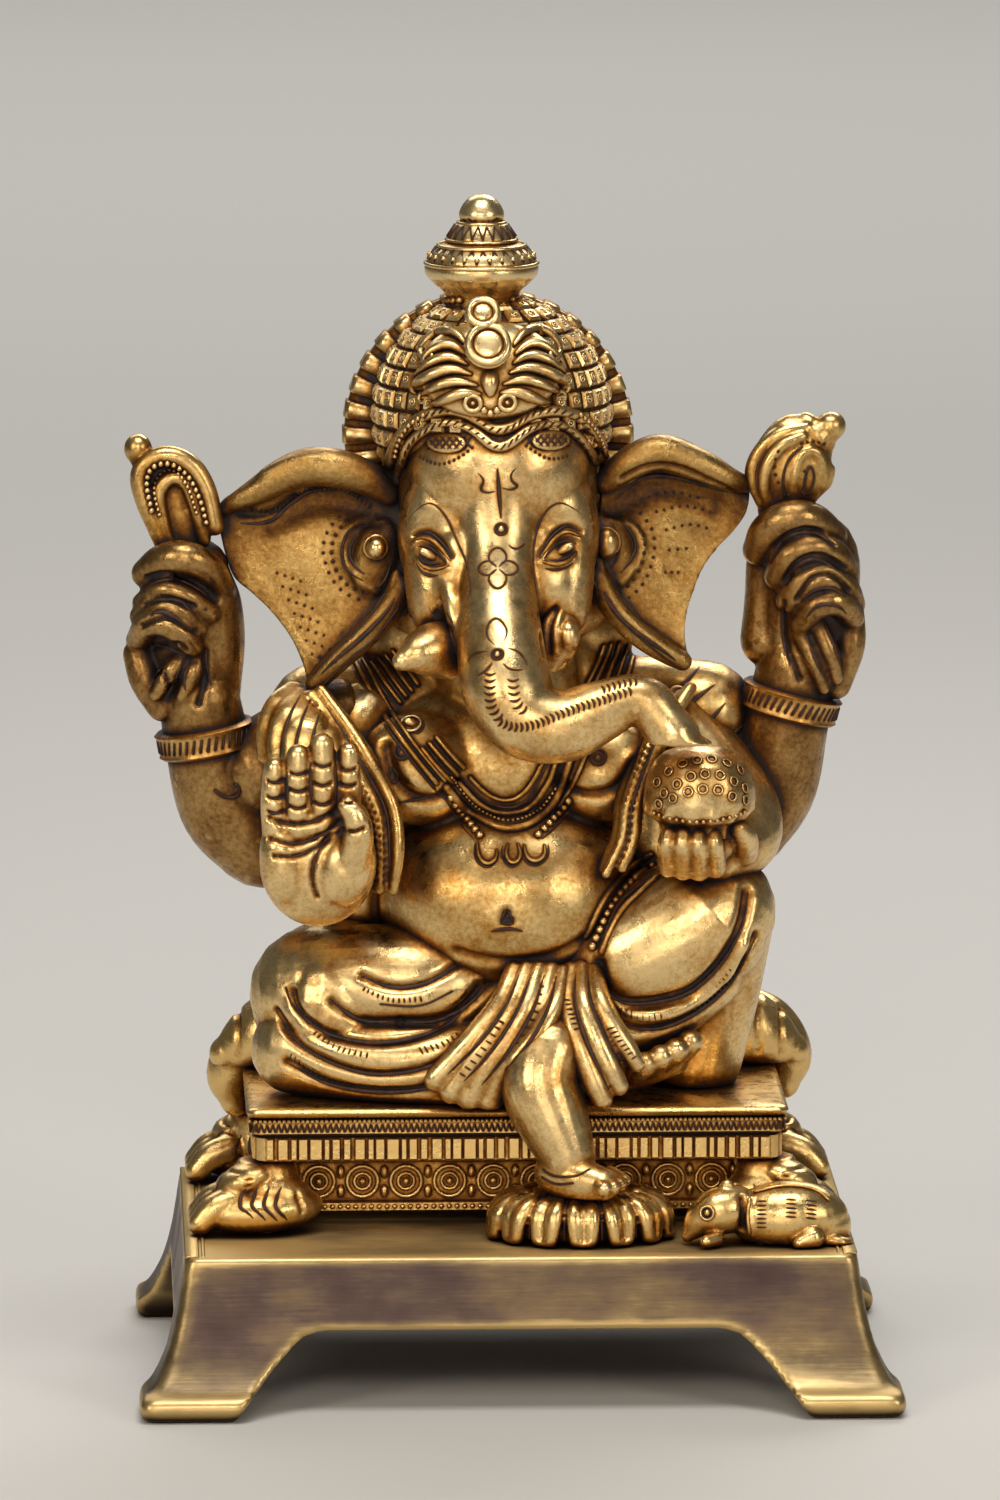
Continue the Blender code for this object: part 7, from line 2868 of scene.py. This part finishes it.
TILE_ROWS, TILE_COLUMNS = 12, 38
net, rings_in_net = [], []
for row in range(TILE_ROWS):
    rise = -40 + row * 10.2
    columns = max(8, int(TILE_COLUMNS * math.cos(math.radians(rise))))
    for k in range(columns):
        turn = 360.0 * (k + 0.5 * (row % 2)) / columns - 90
        spot = np.array(on_dome(turn, rise))
        if spot[2] < HEAD[2] + 5.5 - 0.6 * (spot[1] - HEAD[1]):
            continue
        facing = spot[3:]
        along = np.cross((0, 0, 1), facing)
        along /= np.linalg.norm(along)
        up = np.cross(facing, along)
        half_tile = 0.385 * 2 * math.pi * CROWN_HALF[0] * math.cos(math.radians(rise)) / columns
        pad = []
        for lift, share in ((-0.6, 1.0), (0.35, 1.0), (0.95, 0.72)):
            corners = ((-half_tile, -1.65), (half_tile, -1.65), (half_tile, 1.65), (-half_tile, 1.65))
            pad.append(
                np.array(
                    [spot[:3] + facing * lift + along * u * share + up * v * share for u, v in corners]
                )
            )
        net.append(skinned(pad))
        rings_in_net.append(torus(spot[:3] + facing * 0.95, facing, 0.62, 0.22, around=10, section=5))
        rings_in_net.append(bead(spot[:3] + facing * 0.95, 0.3))
net_piece = build("crown_tiles", net)
mount(net_piece, crown_metal, "figure_brass")
detail("crown_tile_rosettes", rings_in_net, crown_metal, "figure_brass")

skin = [tree_of(head), tree_of(dome)]
rolls = [
    (
        drawn(
            "head",
            [
                (-31.1, 16.7), (-30.3, 21.7), (-28.6, 26.7), (-25.0, 30.5), (-19.9, 32.4), (-15.5, 31.6),
                (-11.9, 29.1), (-9.7, 28.3), (-7.0, 29.1), (-3.2, 31.5), (1.9, 32.1), (6.3, 30.0),
                (9.5, 25.3), (11.2, 20.7), (11.8, 16.5)
            ]
        ),
        1.3
    ),
    (
        drawn(
            "head",
            [
                (-29.2, 17.1), (-28.4, 21.5), (-26.7, 25.9), (-23.5, 28.6), (-19.1, 30.1), (-15.0, 28.7),
                (-11.4, 25.8), (-9.5, 25.1), (-7.4, 26.0), (-3.6, 28.7), (1.2, 29.6), (5.0, 27.3),
                (7.8, 23.6), (9.5, 19.6), (10.1, 16.5)
            ]
        ),
        1.05
    )
]
rim = [wire(lay(skin, line), r, 0.25, sides=12) for line, r in rolls]
rim_piece = build("crown_rim_rolls", rim)
rim_piece.data.shade_smooth()
mount(rim_piece, crown_metal, "figure_brass")
rim_tree = [tree_of(rim_piece), *skin]
rope_cuts = []
for line, size in ((rolls[0][0], 1.0), (rolls[1][0], 0.8)):
    laid = lay(rim_tree, line, 0.5)
    for k in range(1, len(laid) - 2, 3):
        rope_cuts.append(
            wire(
                laid[k : k + 3] + np.array(
                    [(0, 0, -0.5, 0, 0, 0), (0, 0, 0, 0, 0, 0), (0, 0, 0.5, 0, 0, 0)]
                ),
                0.2, 0.0, sides=5
            )
        )
detail("crown_rim_cuts", rope_cuts, wax, "figure_brass")
front_beads = beads_on(
    lay(skin, drawn("head", [(-28.4, 23.8), (-27.7, 26.7), (-25.8, 29.7), (-23.1, 31.6)]), 0.5),
    0.55, 1.2, 1.4
)
front_beads += beads_on(
    lay(skin, drawn("head", [(9.5, 23.6), (8.7, 26.5), (6.8, 29.6), (4.6, 31.5)]), 0.5),
    0.55, 1.2, 1.4
)
detail("crown_rim_beads", front_beads, figure_metal, "figure_brass")


# ---- Crown jewel ----------------------------------------------------------------------------
# Leafy scrolls spread from two round jewels and a drop over the brow, cast as one low boss on the
# front of the crown.

jewel_shapes = [ball(on_head(-1.5, -12.8, 25.0), (13.6, 4.6, 10.0), (-28, 0, 0), segments=40, rings=24)]
boss = cast("jewel_boss", jewel_shapes, 0.45, 1)
mount(boss, crown_metal, "figure_brass", "crown_jewel")
skin = [tree_of(boss), tree_of(dome)]
leaves = [
    wire(lay(skin, line, 0.4), r, 0.3, sides=10, taper=True) for line,
    r in (
        (
            drawn(
                "crown_jewel",
                [(-4.1, 4.4), (-6.9, 7.3), (-10.1, 7.3), (-12.6, 5.2), (-13.2, 3.1), (-11.6, 2.3)]
            ),
            1.20
        ),
        (drawn("crown_jewel", [(-4.4, 2.9), (-7.8, 5.0), (-11.3, 3.9), (-13.5, 1.2)]), 1.20),
        (drawn("crown_jewel", [(-4.1, 1.2), (-7.9, 2.7), (-11.6, 1.6), (-14.5, -0.9)]), 1.20),
        (
            drawn(
                "crown_jewel",
                [(-3.3, -0.6), (-7.5, 0.4), (-11.6, -0.7), (-14.9, -3.0), (-13.5, -4.7)]
            ),
            1.28
        ),
        (drawn("crown_jewel", [(-2.2, -2.7), (-6.3, -1.9), (-10.1, -2.6), (-13.5, -4.5)]), 1.12),
        (drawn("crown_jewel", [(-1.6, -4.2), (-5.6, -4.0), (-9.0, -5.3), (-12.0, -6.3)]), 1.20),
        (
            drawn(
                "crown_jewel",
                [(3.9, 4.6), (6.6, 7.6), (9.8, 7.6), (12.2, 5.5), (12.8, 3.4), (11.5, 2.6)]
            ),
            1.20
        ),
        (drawn("crown_jewel", [(4.1, 3.0), (7.5, 5.3), (10.9, 4.1), (13.2, 1.5)]), 1.20),
        (drawn("crown_jewel", [(3.7, 1.3), (7.3, 3.0), (11.1, 1.8), (14.1, -0.6)]), 1.20),
        (drawn("crown_jewel", [(3.0, -0.4), (6.9, 0.7), (11.1, -0.4), (14.5, -2.8), (13.2, -4.7)]), 1.28),
        (drawn("crown_jewel", [(1.8, -2.5), (6.0, -1.6), (9.8, -2.5), (13.0, -4.3)]), 1.12),
        (drawn("crown_jewel", [(1.2, -4.0), (5.0, -3.9), (8.5, -5.2), (11.5, -6.2)]), 1.20),
    )
]
curls = []
for spot, r in (
    (drawn("crown_jewel", [(-3.5, -5.9)])[0], 1.5),
    (drawn("crown_jewel", [(3.0, -5.8)])[0], 1.5),
    (drawn("crown_jewel", [(-12.0, 2.7)])[0], 1.0),
    (drawn("crown_jewel", [(11.7, 3.0)])[0], 1.0),
    (drawn("crown_jewel", [(-12.8, -4.9)])[0], 0.9),
    (drawn("crown_jewel", [(13.0, -4.7)])[0], 0.9)
):
    curls += ring_on(skin, spot, r, 0.55, 0.3)
    curls.append(bead(lay(skin, [spot])[0][:3], 0.6))
# Both round jewels are set upright, one over the other, on a tab that stands off the dome.
for spot, ring_r, stone, facing in (
    ((-2.9, -16.9, 36.6), 2.6, 1.9, (0, -0.86, 0.5)),
    ((-2.0, -19.6, 30.9), 3.7, 2.8, (0, -0.9, 0.44))
):
    centre = np.array(on_head(*spot))
    facing = np.array(facing) / np.linalg.norm(facing)
    tilt = Vector(facing).to_track_quat("Z", "Y").to_euler()
    tilt = [math.degrees(a) for a in tilt]
    curls.append(
        ball(centre - facing * 1.2, (ring_r + 0.9, ring_r + 0.9, 1.5), tilt, segments=28, rings=14)
    )
    curls.append(torus(centre, facing, ring_r, 0.75, around=36, section=12))
    curls.append(ball(centre + facing * 0.05, (stone, stone, 0.45), tilt, segments=24, rings=12))
drop = lay(skin, drawn("crown_jewel", [(-0.3, 1.5), (-0.3, -0.4), (-0.3, -2.3), (-0.1, -5.0)]), 0.3)
curls.append(wire(drop, 1.8, 0.3, sides=14, taper=True))
curls += beads_on(
    lay(skin, drawn("crown_jewel", [(-1.6, -7.1), (-0.3, -8.0), (1.2, -7.1)]), 0.4),
    0.8, 1.4, 0.2
)
detail("jewel_scrolls", leaves + curls, crown_metal, "figure_brass")


# ---- Sun wheel ------------------------------------------------------------------------------
# Behind the crown stands a thick wheel with square teeth all round, and a ring of wire and beads on
# its front.

WHEEL = np.array(on_head(-1, 13, 9.5))
wheel_low, wheel_high = (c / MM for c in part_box("halo_wheel"))
wheel_radius = (wheel_high.x - wheel_low.x) / 2
WHEEL_STEPS = 96
rings = []
for a in np.linspace(0, 2 * math.pi, WHEEL_STEPS, endpoint=False):
    out = np.array((math.cos(a), 0, math.sin(a)))
    section = [
        (15.6, -2.6), (21.0, -3.2), (25.8, -2.6), (27.6, -1.8), (27.6, 1.8), (25.8, 2.6), (21.0, 3.2),
        (15.6, 2.6)
    ]
    rings.append(np.array([WHEEL + out * r + np.array((0, y, 0)) for r, y in section]))
points, faces = skinned(rings, closed=False)
count = len(section)
last = (WHEEL_STEPS - 1) * count
faces += [(last + j, last + (j + 1) % count, (j + 1) % count, j) for j in range(count)]
TEETH = 34
teeth = []
for k in range(TEETH):
    a = 2 * math.pi * k / TEETH
    out, along = np.array((math.cos(a), 0, math.sin(a))), np.array((-math.sin(a), 0, math.cos(a)))
    rings = []
    for reach, wide, deep in (
        (19.0, 1.2, 2.9), (20.5, 1.35, 3.6), (24.0, 1.6, 3.9), (wheel_radius - 0.9, 1.8, 3.5),
        (wheel_radius, 1.5, 2.9)
    ):
        corners = (
            (-wide, -deep * 0.8), (-wide * 0.8, -deep), (wide * 0.8, -deep), (wide, -deep * 0.8),
            (wide, deep * 0.8), (wide * 0.8, deep), (-wide * 0.8, deep), (-wide, deep * 0.8)
        )
        rings.append(
            np.array([WHEEL + out * reach + along * u + np.array((0, v, 0)) for u, v in corners])
        )
    teeth.append(skinned(rings))
wheel = build("sun_wheel", [(points, faces)])
wheel.data.shade_smooth()
mount(wheel, aged_metal, "figure_brass", "halo_wheel")
detail("sun_wheel_teeth", teeth, crown_metal, "figure_brass")
inner_ring = [torus(WHEEL + (0, -2.9, 0), (0, 1, 0), 19.2, 0.8, around=90, section=8)]
inner_ring += [
    bead(WHEEL + np.array((20.6 * math.cos(a), -3.4, 20.6 * math.sin(a))), 0.55)
    for a in np.linspace(0, 2 * math.pi, WHEEL_STEPS, endpoint=False)
]
detail("sun_wheel_ring", inner_ring, figure_metal, "figure_brass")


# ---- Finial ---------------------------------------------------------------------------------
# A parasol, a smaller one above it and a bud, turned as one and then chased with rows of petals.

finial_low, finial_high = (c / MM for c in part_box("crown_finial"))
FINIAL = np.array(((finial_low.x + finial_high.x) / 2, (finial_low.y + finial_high.y) / 2, 0.0))
PARASOL = (
    (7.6, 203.6), (6.9, 205.2), (6.7, 207.2), (7.4, 208.4), (9.4, 210.0), (10.7, 211.4), (11.0, 212.6),
    (10.8, 213.6), (10.3, 213.9), (10.5, 214.4), (9.8, 215.8), (8.4, 217.0)
)
PARASOL += (
    (7.2, 217.6), (6.5, 217.8), (6.7, 218.5), (5.8, 220.2), (5.0, 221.3), (4.2, 221.7), (3.9, 222.0),
    (4.4, 222.5), (4.3, 223.6), (3.6, 225.0), (2.5, 226.2), (1.2, 226.8), (0.2, 226.9)
)
rings = []
for radius, z in PARASOL:
    ring = []
    for k in range(72):
        a = 2 * math.pi * k / 72
        ring.append((FINIAL[0] + radius * math.cos(a), FINIAL[1] + radius * math.sin(a), z))
    rings.append(np.array(ring))
parasol = cast("finial_parasol", [skinned(rings)], 0.4, 1)
mount(parasol, crown_metal, "figure_brass", "crown_finial")
petals, petal_wax = [], []
for radius, z, r in (
    (10.75, 213.7, 0.42), (8.3, 217.1, 0.42), (6.7, 218.2, 0.4), (4.5, 221.5, 0.36), (7.2, 204.6, 0.6)
):
    petals.append(torus(FINIAL + (0, 0, z), (0, 0, 1), radius, r, around=60, section=8))


PARASOL_BEADS = 26


def zigzag(low, high, count, radius):
    """A zigzag of fine wire between two (radius, z) circles on the finial."""
    for k in range(count):
        for (r_a, z_a), (r_b, z_b), a, b in ((low, high, k, k + 0.5), (high, low, k + 0.5, k + 1)):
            ends = [
                FINIAL + np.array(
                    (r * math.cos(2 * math.pi * t / count), r * math.sin(2 * math.pi * t / count), z)
                )
                for r, z,
                t in ((r_a, z_a, a), (r_b, z_b, b))
            ]
            petal_wax.append(bar(ends[0], ends[1], radius))


zigzag((10.45, 214.5), (8.75, 216.9), PARASOL_BEADS, 0.2)
zigzag((6.7, 218.8), (5.1, 221.2), 20, 0.18)
for k in range(PARASOL_BEADS):
    a = 2 * math.pi * k / PARASOL_BEADS
    petals.append(bead(FINIAL + np.array((10.0 * math.cos(a), 10.0 * math.sin(a), 215.3)), 0.5))
detail("finial_petals", petals, crown_metal, "figure_brass")
detail("finial_petal_lines", petal_wax, wax, "figure_brass")
skin = [tree_of(parasol), tree_of(dome), tree_of(boss)]
braid = beads_on(
    lay(skin, drawn("crown", [(-17.9, 18.2), (-14.9, 19.8), (-10.7, 20.9), (-6.6, 21.4)])),
    0.85, 1.6, 0.2
)
braid += beads_on(
    lay(skin, drawn("crown", [(2.5, 21.4), (6.3, 20.4), (9.7, 18.9), (12.0, 17.0)])),
    0.85, 1.6, 0.2
)
braid += [
    wire(lay(skin, line), 0.6, 0.2)
    for line in drawn_lines(
        "crown",
        [(-18.3, 16.3), (-14.9, 18.0), (-10.7, 19.2), (-6.2, 19.7)],
        [(2.1, 19.7), (5.9, 18.7), (9.3, 17.2), (11.6, 15.3)]
    )
]
detail("crown_braid", braid, figure_metal, "figure_brass")


# ---- Studio ---------------------------------------------------------------------------------
# A wide pale floor, with soft boxes on both sides, above, behind and in front. One is low, to reach
# the chest, and one large box lights the floor behind the idol.

floor_paint = bpy.data.materials.new("pale_matt_paper")
floor_paint.use_nodes = True
paper = floor_paint.node_tree.nodes["Principled BSDF"]
paper.inputs["Base Color"].default_value = linear("#C9C6C0")
paper.inputs["Roughness"].default_value = 0.85
FLOOR_REACH, FLOOR_DROP = 7.0, 0.0002
floor_mesh = bpy.data.meshes.new("studio_floor")
FLOOR_SIDES = 64
rim_turns = [2 * math.pi * k / FLOOR_SIDES for k in range(FLOOR_SIDES)]
floor_mesh.from_pydata(
    [(FLOOR_REACH * math.cos(a), FLOOR_REACH * math.sin(a), -FLOOR_DROP) for a in rim_turns],
    [], [tuple(range(FLOOR_SIDES))]
)
floor = bpy.data.objects.new("studio_floor", floor_mesh)
bpy.context.scene.collection.objects.link(floor)
floor.data.materials.append(floor_paint)


def soft_box(name, place, aim, width, height, watts, tint="#FFFFFF"):
    """A soft box that faces a point."""
    lamp = bpy.data.lights.new(name, "AREA")
    lamp.shape = "RECTANGLE"
    lamp.size, lamp.size_y = width, height
    lamp.energy = watts
    lamp.color = linear(tint)[:3]
    box = bpy.data.objects.new(name, lamp)
    box.location = place
    box.rotation_euler = (Vector(aim) - Vector(place)).to_track_quat("-Z", "Y").to_euler()
    bpy.context.scene.collection.objects.link(box)


heart = (0.0, 0.0, 0.12)
soft_box("left_box", (-0.85, -0.95, 0.65), heart, 0.35, 0.6, 4.8, "#FFF4E4")
soft_box("right_box", (0.85, -0.95, 0.6), heart, 0.3, 0.6, 4.0, "#FFF6EA")
soft_box("top_box", (0.0, -0.3, 1.1), heart, 0.6, 0.4, 6.0)
soft_box("front_box", (-0.1, -1.5, 0.8), heart, 0.45, 0.3, 5.4, "#FFF6EA")
soft_box("low_box", (-0.15, -1.4, 0.12), heart, 0.8, 0.22, 1.8, "#FFF4E4")
soft_box("back_box", (0.25, 0.7, 0.75), heart, 0.5, 0.3, 2.0)
soft_box("floor_box", (0.0, 2.2, 1.7), (0.0, 1.9, 0.0), 2.6, 1.8, 34.0)

world = bpy.data.worlds.new("studio_air")
world.use_nodes = True
world.node_tree.nodes["Background"].inputs["Color"].default_value = linear("#DCD8D0")
world.node_tree.nodes["Background"].inputs["Strength"].default_value = 0.16
bpy.context.scene.world = world

# ---- Camera ---------------------------------------------------------------------------------
# A long lens, a little to the idol's right and nine degrees above level.

CAMERA_TURN, CAMERA_RISE, CAMERA_REACH = math.radians(-2.0), math.radians(9.0), 2.5
AIM = Vector((-0.0025, 0.0, 0.1195))
LENS = 312.0
away = Vector(
    (
        math.sin(CAMERA_TURN) * math.cos(CAMERA_RISE),
        -math.cos(CAMERA_TURN) * math.cos(CAMERA_RISE), math.sin(CAMERA_RISE)
    )
)
lens = bpy.data.cameras.new("studio_camera")
lens.lens = LENS
lens.sensor_width = 36.0
lens.clip_end = 20.0
camera = bpy.data.objects.new("studio_camera", lens)
camera.location = AIM + away * CAMERA_REACH
camera.rotation_euler = (-away).to_track_quat("-Z", "Y").to_euler()
bpy.context.scene.collection.objects.link(camera)
bpy.context.scene.camera = camera
bpy.context.scene.view_settings.view_transform = "Standard"
